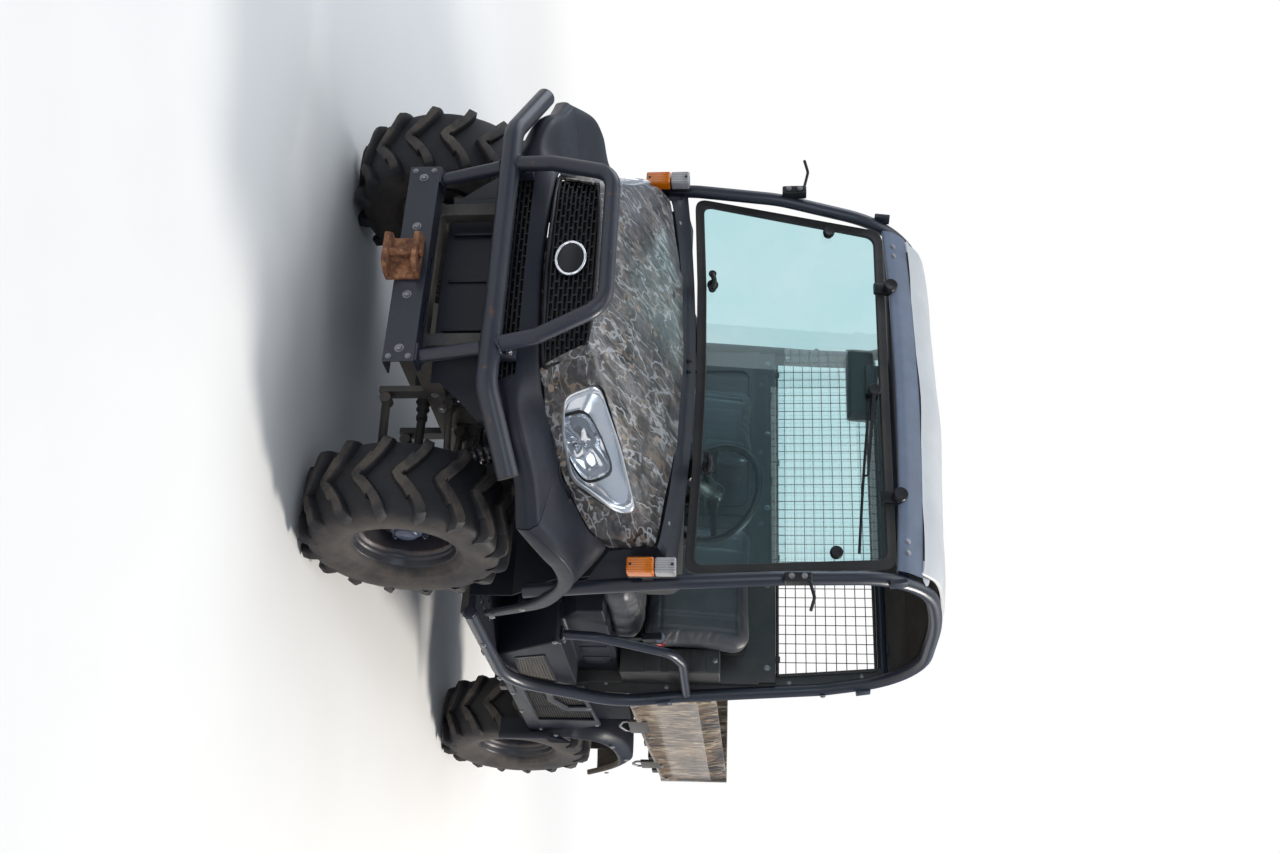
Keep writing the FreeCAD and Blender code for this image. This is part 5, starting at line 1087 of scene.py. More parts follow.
HOOD = (
    # along, then (across, height) of the edge, side, shoulder, top and middle
    (-446, (284, 868), (285, 875), (280, 886), (150, 898), (0, 901)),
    (-413, (333, 758), (338, 830), (318, 905), (170, 924), (0, 927)),
    (-360, (372, 762), (375, 840), (352, 922), (190, 947), (0, 952)),
    (-282, (431, 764), (432, 860), (405, 945), (220, 974), (0, 982)),
    (-135, (548, 804), (545, 895), (515, 985), (280, 1022), (0, 1036)),
    (0, (640, 864), (635, 940), (605, 1022), (330, 1065), (0, 1080)),
    (98, (652, 909), (652, 980), (636, 1048), (350, 1092), (0, 1106)),
)


def hood_ridge(point):
    """The raised middle of the hood between two soft ridges that run to the grille's corners."""
    along = (point.y - FRONT_AXLE) * 1000
    line = 322 + (along - 98) * 0.115
    across = abs(point.x) * 1000
    share = min(1.0, max(0.0, (line + 16 - across) / 32))
    raised = share * share * (3 - 2 * share) * 7
    crest = 3.5 * math.exp(-((across - line + 12) / 16) ** 2)
    fade = min(1.0, max(0.0, (along + 440) / 60))
    return (raised + crest - 5) * fade


def build_hood():
    """The hood shell with its ridges and the openings for the headlamps."""
    stations = []
    for y, *half in HOOD:
        line = []
        for (x0, z0), (x1, z1) in zip(half, half[1:]):
            line += [(x0, z0), ((x0 + x1) / 2, (z0 + z1) / 2)]
        stations.append(both_sides(y, [*line, half[-1]]))
    rows = []
    for row in flowing(stations, 5, 12):
        rows.append([point + Vector((0, 0, hood_ridge(point) / 1000)) for point in row])
    work = bmesh.new()
    skin(work, rows, 0.006)
    made = piece("hood_skin", work, "hood", "camo_plastic", "camo", angle=45)
    middle, along, up = lamp_frame()
    for side in (1, -1):
        rings = []
        for depth in (-0.09, 0.09):
            ring = [middle + (along * point.x + up * point.y) * 1.012 + LAMP_WAY * depth
                    for point in lamp_outline(72)]
            rings.append([Vector((place.x * side, place.y, place.z)) for place in ring])
        carve(made, *rings)
    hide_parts("hood")


MAIN_TUBE = ((-668, -392, 686), (-440, -500, 624), (440, -500, 624), (668, -392, 686))
HOOP = ((-316, -500, 624), (-300, -520, 754), (-226, -558, 942), (226, -558, 942), (300, -520, 754),
        (316, -500, 624))


WELD_STEPS = 44


def weld(work, place, way, radius):
    """A rippled bead round a tube."""
    axis = Vector(way).normalized()
    side = axis.orthogonal().normalized()
    other = axis.cross(side)
    ring = []
    for k in range(WELD_STEPS):
        angle = 2 * math.pi * k / WELD_STEPS
        ripple = 1 + 0.035 * math.sin(k * 2.9)
        ring.append(Vector(place) + (side * math.cos(angle) + other * math.sin(angle)) * radius * ripple)
    sweep(work, ring, ring_section(0.0035, 8), closed=True)


def build_guard():
    """The brush guard's bent tubes with open ends, welds, feet and bolts."""
    work = bmesh.new()
    tube(work, MAIN_TUBE, 0.030, 0.13, sides=32)
    tube(work, HOOP, 0.023, 0.075, sides=28)
    for side in (1, -1):
        rod(work, at(side * 316, -494, 624), at(side * 311, -440, 416), 0.020, 24)
        bar(work, (side * 311 - 28, -466, 404.4), (side * 311 + 28, -406, 411))
        weld(work, at(side * 311, -441, 413), (side * 0.02, -0.25, 1), 0.0225)
        weld(work, at(side * 316, -486, 598), (0, 0.25, -1), 0.0225)
        weld(work, at(side * 315, -502, 652), (side * -0.12, -0.15, 1), 0.0255)
        bar(work, (side * 316 - 22, -485, 632), (side * 316 + 22, -449, 690), 0.003)
        for x in (-12, 12):
            bolt(work, at(side * 316 + x, -486, 676), (0, -1, 0), 0.0075, 0.007, 1)
        end = at(side * 668, -392, 686)
        way = (end - at(side * 440, -500, 624)).normalized()
        lathe(work, [(0.0004, 0), (0.0004, 0.0262), (0.0014, 0.0278), (0.0004, 0.0298)],
              Matrix.Translation(end) @ facing(way), 32, 2)
    made = piece("guard_tubes", work, "vehicle", "cage_paint", "guard", "bolt", "gasket")
    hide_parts("brush_guard")


CARRIER_FACE = -466.2


def build_carrier():
    """The guard's slotted carrier channel with its bolts, and the rusted jaw on it."""
    work = eased("guard_carrier", 0.0016)
    bolts(work, [(x, CARRIER_FACE, 358) for x in (-300, -120, 120, 300)], (0, -1, 0), 0.0095, 0.008)
    bolts(work, [(x, CARRIER_FACE, z) for x in (-326, 326) for z in (330, 386)], (0, -1, 0), 0.006, 0.005)
    made = piece("carrier_channel", work, "vehicle", "chassis_paint", "guard", "bolt")
    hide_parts("guard_carrier")
    jaw = eased("tow_jaw", 0.0028)
    rod(jaw, at(0, -508, 282), at(0, -508, 394), 0.0122, 20, 0, 0.002)
    lathe(jaw, [(0, 0), (0, 0.018), (0.005, 0.020), (0.009, 0.016), (0.010, 0)],
          Matrix.Translation(at(0, -508, 389)) @ turned(-90, "Y"), 24)
    made = piece("tow_jaw_casting", jaw, "vehicle", "rusty_steel", "rust")
    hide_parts("tow_jaw")


# Front of the vehicle

LAMP_CORNERS = (
    (336, -345, 906), (368, -328, 797), (440, -243, 786), (540, -125, 806),
    (612, -45, 945), (602, -38, 998), (470, -190, 962),
)
LAMP_WAY = Vector((0.62, -0.60, 0.5)).normalized()
LAMP_BEND = 0.034
LAMP_CROWN = 0.016
BOWL_MIDDLE = Vector((-0.028, -0.020))
BOWL_HALF = (0.098, 0.046)


def lamp_frame():
    """The middle of the left headlamp and its axes: along, up and outward."""
    corners = [at(*corner) for corner in LAMP_CORNERS]
    middle = sum(corners, Vector()) / len(corners)
    along = corners[4] - corners[1]
    along = (along - LAMP_WAY * along.dot(LAMP_WAY)).normalized()
    return middle, along, LAMP_WAY.cross(along)


def within_half_turn(angle):
    """The same angle between minus and plus half a turn."""
    return (angle + math.pi) % (2 * math.pi) - math.pi


def lamp_outline(count):
    """The lamp's edge by angle round its middle: (side, up, outward) in its own axes."""
    middle, along, up = lamp_frame()
    corners = []
    for corner in LAMP_CORNERS:
        away = at(*corner) - middle
        corners.append(Vector((away.dot(along), away.dot(up), away.dot(LAMP_WAY))))
    rounded = []
    for number, corner in enumerate(corners):
        before, after = corners[number - 1], corners[(number + 1) % len(corners)]
        reaches = [min(LAMP_BEND, (other - corner).length * 0.42) for other in (before, after)]
        rounded.extend(rounded_corner(before, corner, after, *reaches))
    angles = [math.atan2(point.y, point.x) for point in rounded]
    result = []
    for k in range(count):
        aim = -math.pi + 2 * math.pi * (k + 0.5) / count
        best = None
        for number, point in enumerate(rounded):
            ahead = (number + 1) % len(rounded)
            span = within_half_turn(angles[ahead] - angles[number])
            offset = within_half_turn(aim - angles[number])
            if abs(span) > 1e-9 and 0 <= offset / span <= 1:
                best = point.lerp(rounded[ahead], offset / span)
                break
        result.append(best or rounded[0])
    return result


LAMP_STEPS = 96


def lamp_rings(rings):
    """Rings in space from (share of the outline, share of the bowl's edge, depth) rows."""
    middle, along, up = lamp_frame()
    edge = lamp_outline(LAMP_STEPS)
    lines = []
    for outline_share, bowl_share, depth in rings:
        line = []
        for k, point in enumerate(edge):
            angle = -math.pi + 2 * math.pi * (k + 0.5) / LAMP_STEPS
            cos, sin = math.cos(angle), math.sin(angle)
            reach = ((abs(cos) / BOWL_HALF[0]) ** 4 + (abs(sin) / BOWL_HALF[1]) ** 4) ** -0.25
            bowl = BOWL_MIDDLE + Vector((cos, sin)) * reach * bowl_share
            whole = Vector((point.x, point.y)) * outline_share
            share = min(1.0, max(0.0, (outline_share - 0.62) / 0.3)) if bowl_share else 1.0
            flat = whole * share + bowl * (1 - share)
            way_out = flat.length / max(1e-6, Vector((point.x, point.y)).length)
            crown = LAMP_CROWN * (1 - min(1.0, way_out ** 2))
            height = point.z * way_out + crown + depth
            line.append(middle + along * flat.x + up * flat.y + LAMP_WAY * height)
        lines.append(line)
    return lines


LAMP_FRAME = (
    # share of the outline, share of the bowl's edge, depth
    (0.995, 0, -0.020), (0.995, 0, 0.001), (0.975, 0, 0.0055), (0.94, 0, 0.0085), (0.90, 0, 0.0080),
    (0.87, 0, 0.0045), (0.855, 0, -0.002), (0.845, 0, -0.010), (0.78, 1.34, -0.012), (0.70, 1.22, -0.013),
    (0.62, 1.12, -0.012),
)
LAMP_LIP = ((0.6, 1.12, -0.012), (0.6, 1.10, -0.007), (0.6, 1.05, -0.006), (0.6, 1.02, -0.011))
LAMP_BOWL = (
    (0.6, 1.02, -0.011), (0.6, 0.98, -0.022), (0.6, 0.86, -0.034), (0.6, 0.66, -0.044), (0.6, 0.42, -0.050),
    (0.6, 0.20, -0.052), (0.6, 0.02, -0.052),
)
LAMP_COVER = (
    (0.93, 0, -0.003), (0.93, 0, 0.0015), (0.80, 0, 0.0030), (0.6, 0, 0.0035), (0.4, 0, 0.004),
    (0.2, 0, 0.004), (0.01, 0, 0.004),
)


def build_headlamps():
    """Each headlamp: a chromed surround and bowl, a bulb, and a clear cover over them."""
    chrome = bmesh.new()
    skin(chrome, lamp_rings(LAMP_FRAME), 0, 0, True)
    skin(chrome, lamp_rings(LAMP_LIP), 0, 2, True)
    skin(chrome, lamp_rings(LAMP_BOWL), 0, 3, True)
    middle, along, up = lamp_frame()
    seat = middle - along * 0.030 - up * 0.016
    rod(chrome, seat - LAMP_WAY * 0.052, seat - LAMP_WAY * 0.030, 0.010, 20, 0, 0.004)
    rod(chrome, seat - LAMP_WAY * 0.032, seat - LAMP_WAY * 0.016, 0.0065, 20, 1, 0.004)
    bmesh.ops.remove_doubles(chrome, verts=chrome.verts, dist=0.00001)
    mirror(chrome)
    made = piece("headlamp_reflectors", chrome, "hood", "chrome_lamp", "chrome", "white_lens", "gasket",
                 "mirror", outward=False)
    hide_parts("headlamps")
    cover = bmesh.new()
    skin(cover, lamp_rings(LAMP_COVER), 0.0015, 0, True)
    mirror(cover)
    piece("headlamp_covers", cover, "hood", "chrome_lamp", "lens")


GRILLE_EDGE = ((0, -447), (140, -442), (272, -428), (322, -408))


def bowed(table, x):
    """A value by its distance from the middle plane, between the rows of a table."""
    across = abs(x)
    for (x0, y0), (x1, y1) in zip(table, table[1:]):
        if across <= x1:
            return y0 + (y1 - y0) * (across - x0) / (x1 - x0)
    return table[-1][1]


def lattice(work, bottom, top, half_widths, pitch_z, pitch_x, line, depth):
    """Staggered brick pattern of bars and short uprights on a bowed face."""
    half = depth / 2000
    section = [(-half, -0.0022), (half, -0.0022), (half - 0.0008, 0.0022), (-half + 0.0008, 0.0022)]
    rows = int((top - bottom) / pitch_z)
    for row in range(rows + 1):
        z = bottom + row * (top - bottom) / rows
        reach = bowed(half_widths, (z - bottom))
        xs = [-reach + 2 * reach * k / 12 for k in range(13)]
        sweep(work, [at(x, line(x) + depth / 2, z) for x in xs], section, up=(0, 0, 1))
        if row == rows:
            break
        above = bowed(half_widths, (z + pitch_z - bottom))
        count = int(min(reach, above) // pitch_x)
        shift = pitch_x / 2 if row % 2 else 0
        for k in range(-count - 1, count + 2):
            x = k * pitch_x + shift
            if abs(x) > min(reach, above) - 3:
                continue
            middle = line(x) + depth / 2
            bar(work, (x - 2.6, middle - depth / 2, z), (x + 2.6, middle + depth / 2, z + pitch_z), 0.0008,
                segments=1)


GRILLE_OUTLINE = (
    (-322, 758), (-326, 790), (-300, 842), (-270, 880), (-140, 893), (0, 896), (140, 893), (270, 880),
    (300, 842), (326, 790), (322, 758), (160, 754), (0, 752), (-160, 754),
)
GRILLE_BACKS = (
    # behind the front, then (height, share of the width)
    (17, (750, 1.0), (800, 0.99), (850, 0.9), (890, 0.82)),
    (34, (744, 1.07), (800, 1.06), (850, 1.0), (900, 0.94)),
)
LOWER_EDGE = ((0, -450), (330, -437), (430, -418))
RING_Z = 820


def grille_front(x):
    """Where the front of the upper grille stands, along the vehicle."""
    return bowed(GRILLE_EDGE, x) - 6


def lower_front(x):
    """Where the front of the lower grille stands, along the vehicle."""
    return bowed(LOWER_EDGE, x)


def build_grille():
    """The upper grille in its frame, with dark sheets behind it."""
    work = bmesh.new()
    widths = ((0, 318), (24, 320), (62, 300), (116, 272), (140, 262))
    lattice(work, 764, 884, widths, 13.3, 47, grille_front, 11)
    path = smooth_path([at(x, grille_front(x) - 1, z) for x, z in GRILLE_OUTLINE], 5, True)
    sweep(work, path, ring_section(0.0075, 10, 0.8), closed=True)
    for behind, *rows in GRILLE_BACKS:
        back = [[at(x * share, grille_front(x * share) + behind, z) for x in range(-324, 325, 54)]
                for z, share in rows]
        skin(work, back, 0.002)
    made = piece("grille_lattice", work, "hood", "black_plastic", "shiny_black")
    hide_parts("grille")


def build_ring():
    """The plain oval ring on the upper grille, with its dark disc."""
    ring = bmesh.new()
    path = [at(56 * cos, -463, RING_Z + 42 * sin) for cos, sin in ring_section(1, 64)]
    sweep(ring, path, ring_section(0.0042, 10), closed=True)
    middle = at(0, -456, RING_Z)
    disc = bmesh.new()
    lathe(disc, [(0, 0), (0, 0.040), (0.004, 0.0415), (0.0065, 0.038), (0.0065, 0)],
          Matrix.Translation(middle) @ turned(-90, "Z"), 48, 1)
    bmesh.ops.scale(disc, vec=(1.30, 1, 0.98), verts=disc.verts, space=Matrix.Translation(-middle))
    joined(ring, disc, 1)
    piece("grille_ring", ring, "hood", "chrome_lamp", "chrome", "shiny_black")


def build_lower_grille():
    """The insert of the lower grille, with a dark sheet behind it."""
    work = bmesh.new()
    lattice(work, 634, 690, ((0, 372), (56, 396)), 11.5, 41, lower_front, 10)
    back = [[at(x, lower_front(x) + 24, z) for x in range(-405, 406, 54)] for z in (622, 660, 702)]
    skin(work, back, 0.002)
    piece("lower_grille_lattice", work, "vehicle", "black_plastic", "shiny_black")


def build_turn_signals():
    """Clear over amber lenses on black feet."""
    work = bmesh.new()
    bar(work, (692, 70, 962), (741, 112, 1044), 0.007, 0, 3)
    bar(work, (692, 72, 1046), (741, 112, 1109), 0.007, 1, 3)
    bar(work, (694, 108, 963), (739, 128, 1108), 0.005, 2)
    bar(work, (714, 122, 1002), (736, 172, 1038), 0.005, 2)
    bolts(work, ((716.5, 70.5, 974), (716.5, 70.5, 1098)), (0, -1, 0), 0.003, 0.002, 2)
    mirror(work)
    made = piece("turn_signal_lenses", work, "vehicle", "signal_lens", "amber", "white_lens", "shiny_black")
    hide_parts("turn_signals")


GLASS_LOW = at(0, 178, 1124)
GLASS_HIGH = at(0, 298, 1765)
GLASS_UP = (GLASS_HIGH - GLASS_LOW).normalized()
GLASS_OUT = Vector((0, -GLASS_UP.z, GLASS_UP.y))
GLASS_RUN = (GLASS_HIGH - GLASS_LOW).length * 1000


def on_glass(x, height, proud):
    """A point over the windshield, in millimetres from its lower edge."""
    return GLASS_LOW + Vector((x / 1000, 0, 0)) + GLASS_UP * height / 1000 + GLASS_OUT * proud / 1000


def knob(work, place, way, radius, height, index=0):
    """A moulded round knob with a dished face."""
    profile = [(0, 0), (0, radius * 0.8), (height * 0.35, radius * 0.86), (height * 0.45, radius),
               (height * 0.88, radius), (height, radius * 0.88), (height * 0.97, radius * 0.45),
               (height * 0.9, 0)]
    lathe(work, profile, Matrix.Translation(place) @ facing(way), 28, index)


def build_windshield_fittings():
    """Hinges with their covers, side knobs, latches and the wiper, all through the glass."""
    run = GLASS_RUN
    work = bmesh.new()
    for sign in (-1, 1):
        x = sign * 392
        block(work, (-0.021, -0.004, -0.030), (0.021, 0.012, 0.030), 0.005, 0,
              Matrix.Translation(on_glass(x, run - 8, 9)) @ turned(-10, "X"))
        knob(work, on_glass(x, run + 14, 8), GLASS_OUT, 0.024, 0.034)
        for spread in (-11, 11):
            bolt(work, on_glass(x + spread, run - 26, 5.5), GLASS_OUT, 0.005, 0.004, 1)
        knob(work, on_glass(sign * 600, run - 190, 3.4), GLASS_OUT, 0.020, 0.026)
        x = sign * 342
        knob(work, on_glass(x, 66, 3.4), GLASS_OUT, 0.019, 0.014)
        rod(work, on_glass(x, 66, 12), on_glass(x, 66, 34), 0.008, 14, 0, 0.002)
        handle = [on_glass(x - 30, 62, 32), on_glass(x, 68, 35), on_glass(x + 30, 62, 32)]
        sweep(work, smooth_path(handle, 5), ring_section(0.009, 12))
        for spread in (-30, 30):
            knob(work, on_glass(x + spread, 62, 26), GLASS_OUT, 0.013, 0.012)
    knob(work, on_glass(16, run - 52, 3.4), GLASS_OUT, 0.021, 0.026)
    arm = [on_glass(16, run - 52, 24), on_glass(120, run - 64, 25), on_glass(330, run - 84, 21)]
    sweep(work, smooth_path(arm, 6), [(-0.006, -0.002), (0.006, -0.002), (0.005, 0.003), (-0.005, 0.003)],
          up=GLASS_OUT, scale=lambda t: 1.2 - 0.5 * t)
    blade = [on_glass(40, run - 66, 7), on_glass(320, run - 94, 8.5), on_glass(592, run - 116, 7)]
    sweep(work, smooth_path(blade, 8),
          [(-0.0045, -0.0035), (0.0045, -0.0035), (0.002, 0.0035), (-0.002, 0.0035)], up=GLASS_OUT)
    rod(work, on_glass(328, run - 84, 21), on_glass(326, run - 94, 9), 0.004, 10)
    made = piece("windshield_hardware", work, "vehicle", "black_plastic", "shiny_black", "bolt")
    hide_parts("windshield_fittings")
    inside = bmesh.new()
    block(inside, (-0.115, -0.004, -0.045), (0.135, 0.060, 0.045), 0.014, 0,
          Matrix.Translation(on_glass(-70, run - 72, -58)) @ turned(-10, "X"), 3)
    block(inside, (-0.10, -0.002, -0.02), (0.02, 0.034, 0.02), 0.006, 0,
          Matrix.Translation(on_glass(-10, run - 46, -30)) @ turned(-10, "X"))
    piece("wiper_motor_housing", inside, "vehicle", "black_plastic", "shiny_black")


GASKET_CROWN = 22
GASKET_LINES = (
    # how far in from the glass's edge, and how far above its middle, round the border's section
    (0, 3.0), (0, 4.8), (12, 5.0), (23, 5.0), (25, 6.4), (28, 6.4), (31, 3.2), (31, -3.2), (28, -5.0),
    (2, -5.0), (0, -3.0), (0, 3.0),
)


def gasket_line(inset, lift):
    """A closed line round the glass, its lower edge crowned and its corners rounded."""
    low, high, top = 702 - inset, 634 - inset, GLASS_RUN - inset
    rise = inset + GASKET_CROWN * 0.72
    raw = [(-low, inset), (-low * 0.5, rise), (0, inset + GASKET_CROWN), (low * 0.5, rise), (low, inset),
           (high, top), (-high, top)]
    points = []
    for number, (x, h) in enumerate(raw):
        if 0 < number < 4:
            points.append((x, h))
            continue
        before, after = Vector(raw[number - 1]), Vector(raw[(number + 1) % len(raw)])
        reach = 34 + (30 - inset) * 0.4
        points.extend(rounded_corner(before, Vector((x, h)), after, reach, reach))
    return [on_glass(x, h, lift) for x, h in points]


def build_gasket():
    """The black border with rounded corners and a raised lip along its inner edge."""
    work = bmesh.new()
    skin(work, [gasket_line(*line) for line in GASKET_LINES], 0, 0, True)
    bmesh.ops.remove_doubles(work, verts=work.verts, dist=0.00001)
    made = piece("windshield_gasket", work, "vehicle", "gasket_rubber", "gasket")
    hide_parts("windshield_border")


# Cab

STEERING_HUB = (300, 452, 1200)
STEERING_RADIUS = 0.165


def build_steering_wheel():
    """A moulded ring with finger grips, three dished spokes and a padded hub."""
    lean = Matrix.Translation(at(*STEERING_HUB)) @ turned(-62, "X")
    work = bmesh.new()
    ring = [Vector((*point, 0)) for point in ring_section(STEERING_RADIUS, 72)]
    part = bmesh.new()
    sweep(part, ring, ring_section(0.0138, 14), closed=True, up=(0, 0, 1))
    for vert in part.verts:
        angle = math.atan2(vert.co.y, vert.co.x)
        way = Vector((math.cos(angle), math.sin(angle), 0))
        inward = way * STEERING_RADIUS - vert.co
        if inward.dot(way) > 0:
            vert.co += inward * 0.10 * (1 + math.cos(angle * 24))
    joined(work, part, 0, lean)
    for angle in (0, math.pi, math.pi / 2):
        way = Vector((math.cos(angle), math.sin(angle), 0))
        path = smooth_path([way * out + Vector((0, 0, -deep)) for out, deep in
                            ((0.022, 0.012), (0.07, 0.013), (0.12, 0.009), (0.158, 0))], 4)
        part = bmesh.new()
        sweep(part, path, [(-0.019, -0.003), (0.019, -0.003), (0.016, 0.004), (-0.016, 0.004)], up=(0, 0, 1),
              scale=lambda t: 1.25 - 0.65 * math.sin(t * math.pi * 0.6))
        joined(work, part, 0, lean)
    part = bmesh.new()
    lathe(part, [(-0.042, 0), (-0.042, 0.028), (-0.016, 0.036), (0.002, 0.036), (0.007, 0.032),
                 (0.008, 0.026), (0.0055, 0.022), (0.0055, 0)], turned(-90, "Y"), 40)
    joined(work, part, 0, lean)
    made = piece("steering_wheel_ring", work, "steering_wheel", "black_plastic", "shiny_black", angle=50)
    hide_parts("steering_wheel")


DASH_SECTION = (
    (212, 905), (212, 1085), (236, 1100), (318, 1110), (352, 1104), (388, 1080), (396, 1060), (397, 1002),
    (386, 980), (342, 910), (330, 906),
)


def build_dashboard():
    """The dash moulding with instrument pod, vents, switches, glove box and column shroud."""
    work = bmesh.new()
    stations = []
    for x in (-679, -672, -400, -60, 60, 400, 672, 679):
        grow = 0.985 if abs(x) == 679 else 1.0
        stations.append([at(x, 300 + (y - 300) * grow, 1010 + (z - 1010) * grow) for y, z in DASH_SECTION])
    part = bmesh.new()
    closed_loft(part, stations)
    joined(work, part)
    bar(work, (196, 386, 1010), (404, 398.5, 1075), 0.010, 1, 3)
    bar(work, (206, 392, 1018), (394, 399.5, 1067), 0.004, 2)
    bar(work, (-420, 392, 1012), (-110, 398.5, 1072), 0.006, 1)
    bar(work, (-290, 396, 1052), (-240, 401, 1062), 0.003, 1)
    for x in (-560, -30, 90, 560):
        for k in range(5):
            bar(work, (x - 34, 393, 1026 + k * 9), (x + 34, 400, 1030 + k * 9), 0.001, 1)
    for x in (0, 34, 68):
        bar(work, (x - 11, 380, 985), (x + 11, 393, 1004), 0.003, 1)
    knob(work, at(128, 380, 990), (0, 0.85, -0.35), 0.012, 0.016, 1)
    steering_column(work)
    made = piece("dashboard_moulding", work, "vehicle", "dash_plastic", "dash", "shiny_black", "screen")
    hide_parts("dashboard")


def steering_column(work):
    """The steering column's shroud and the levers on both sides of it."""
    lean = math.radians(28)
    axis = Vector((0, -math.cos(lean), -math.sin(lean)))
    hub = at(*STEERING_HUB)
    shroud = [(0, 0), (0, 0.030), (0.012, 0.036), (0.05, 0.038), (0.10, 0.038), (0.145, 0.038), (0.145, 0)]
    lathe(work, shroud, Matrix.Translation(hub + axis * 0.045) @ facing(axis), 32, 1)
    start = hub + axis * 0.075
    for reach in (0.12, -0.105):
        end = start + Vector((reach, 0.012, 0.006))
        rod(work, start, end, 0.0055, 12, 1, 0.002)
        rod(work, start + Vector((reach * 0.8, 0.0096, 0.0048)), end, 0.009, 12, 1, 0.003)


def build_pedals():
    """Ribbed pedal pads on bent arms."""
    work = bmesh.new()
    for x, half in ((250, 35), (365, 27.5)):
        bar(work, (x - half, 405, 560), (x + half, 413, 640), 0.003)
        for k in range(6):
            bar(work, (x - half + 5, 412, 568 + k * 12), (x + half - 5, 416, 573 + k * 12), 0.0015)
        tube(work, ((x, 405, 606), (x, 372, 690), (x, 332, 903)), 0.007, 0.06, 1, 14)
    made = piece("pedal_pads", work, "vehicle", "black_plastic", "shiny_black", "cage")
    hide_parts("pedals")


BASE_FIELD = ((775, 618), (1040, 623), (1046, 494), (802, 516))


def build_seat_base():
    """The moulded seat box and its side wings with ribs, lids and a mesh field."""
    work = eased("seat_base", 0.006)
    for sign in (-1, 1):
        x = sign * 655.5
        for y in (860, 960, 1060):
            bar(work, (x - 3, y - 32, 712), (x + 3, y + 32, 812), 0.003)
        bolt(work, at(748.0 * sign - sign * 3.6, 655, 671), (sign, 0, 0), 0.007, 0.005, 1)
    for x0, x1 in ((-600, -330), (-300, -20), (20, 300), (330, 600)):
        block(work, (x0 / 1000, -0.0035, 0.012), (x1 / 1000, 0.0035, 0.165), 0.004, 0,
              Matrix.Translation(at(0, 660, 520)))
    for sign in (-1, 1):
        a, b, c, d = corners = [at(sign * 746.0, y, z) for y, z in BASE_FIELD]
        for start, end in zip(corners, corners[1:] + corners[:1]):
            rod(work, start, end, 0.0034, 8)
        for count, radius, (p, q), (r, s) in ((11, 0.0019, (a, d), (b, c)), (24, 0.0016, (a, b), (d, c))):
            for k in range(1, count):
                rod(work, p.lerp(q, k / count), r.lerp(s, k / count), radius, 6, 2)
    made = piece("seat_box", work, "vehicle", "black_plastic", "black", "bolt", "mesh")
    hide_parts("seat_base")


def build_floor():
    """The floor pan with a field of raised treads."""
    work = eased("floor_pan", 0.002)
    for row in range(9):
        for column in range(15):
            x = -640 + column * 91 + (45 if row % 2 else 0)
            y = 418 + row * 26
            if abs(x) < 700:
                way = Matrix.Rotation(0.7 if (row + column) % 2 else -0.7, 4, "Z")
                block(work, (-0.014, -0.0035, 0), (0.014, 0.0035, 0.0022), 0.001, 0,
                      Matrix.Translation(at(x, y, 455.2)) @ way, 1)
    made = piece("floor_moulding", work, "vehicle", "black_plastic", "black")
    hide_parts("floor_pan")


SIDE_PLATES = (
    # inner and outer edge, along, height
    (628, 670, 1200, 1768), (642, 692, 1206, 1560), (653, 706, 1206, 1395), (640, 722, 1200, 1200),
    (620, 734, 1196, 1048), (600, 738, 1190, 880), (590, 732, 1186, 716),
)


def build_rear_wall():
    """The wall behind the seats: pressed fields, top rail, duct with its seams and a strap."""
    work = eased("rear_wall", 0.004)
    for x0, x1 in ((-610, -330), (-290, -10), (30, 310), (350, 590)):
        a, b, c, d = (at(x0, 1177, 900), at(x1, 1177, 900), at(x1, 1177, 1290), at(x0, 1177, 1290))
        path = bent_path([(a + b) / 2, b, c, d, a, (a + b) / 2], 0.04, 5)
        sweep(work, path, ring_section(0.005, 8, 0.8))
    for z in (930, 1010, 1090):
        bar(work, (612, 1064, z), (697, 1069, z + 56), 0.004)
    bolts(work, [(x, 1176, 1362) for x in (-640, -320, 0, 320, 640)], (0, -1, 0), 0.008, 0.006)
    bolts(work, ((655, 1066, 1180),), (0, -1, 0), 0.007, 0.006)
    bolts(work, ((-628, 1215, 1370), (628, 1215, 1370)), (0, 1, 0), 0.008, 0.006)
    made = piece("rear_wall_pressing", work, "vehicle", "wall_paint", "wall", "bolt")
    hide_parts("rear_wall")
    work = bmesh.new()
    rows = [[at(inner, y, z), at((inner + outer) / 2, y - 3, z), at(outer, y, z)]
            for inner, outer, y, z in SIDE_PLATES]
    skin(work, rows, 0.003)
    bolts(work, ((658, 1198, 1700), (684, 1202, 1440), (712, 1190, 1000), (700, 1183, 780)), (0, -1, 0),
          0.006, 0.004)
    mirror(work)
    piece("rear_wall_side_plates", work, "vehicle", "wall_paint", "wall", "bolt", angle=60)


SCREEN_PITCH = 36.0


def build_screen():
    """The woven mesh of round wires in its frame between the wall and the roof."""
    work = bmesh.new()
    low, high, y = 1392.3, 1756.0, 1196
    foot, head = low + 6, high - 6
    tube(work, [(x, y, z) for x, z in ((0, foot), (-662, foot), (-638, head), (638, head), (662, foot),
                                       (0, foot))], 0.006, 0.008, sides=12)
    count = int((2 * 668 - 90) // SCREEN_PITCH)
    for index in range(count + 1):
        x = (index - count / 2) * SCREEN_PITCH
        rod(work, at(x, y - 1.5, foot), at(x, y - 1.5, head), 0.0017, 8)
    rows = int((high - low - 24) // SCREEN_PITCH)
    for index in range(1, rows + 1):
        z = low + index * (high - low) / (rows + 1)
        reach = 660 - 30 * (z - low) / (high - low)
        rod(work, at(-reach, y + 1.5, z), at(reach, y + 1.5, z), 0.0017, 8)
    for x in (-600, -200, 200, 600):
        bar(work, (x - 10, y - 8, low - 2), (x + 10, y + 8, low + 16))
    made = piece("rear_screen_wires", work, "vehicle", "mesh_wire", "mesh")
    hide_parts("rear_screen")


SIDE_WINDOWS = ((1140, 1370), (1381, 1520))
WIRE_PITCH = 9


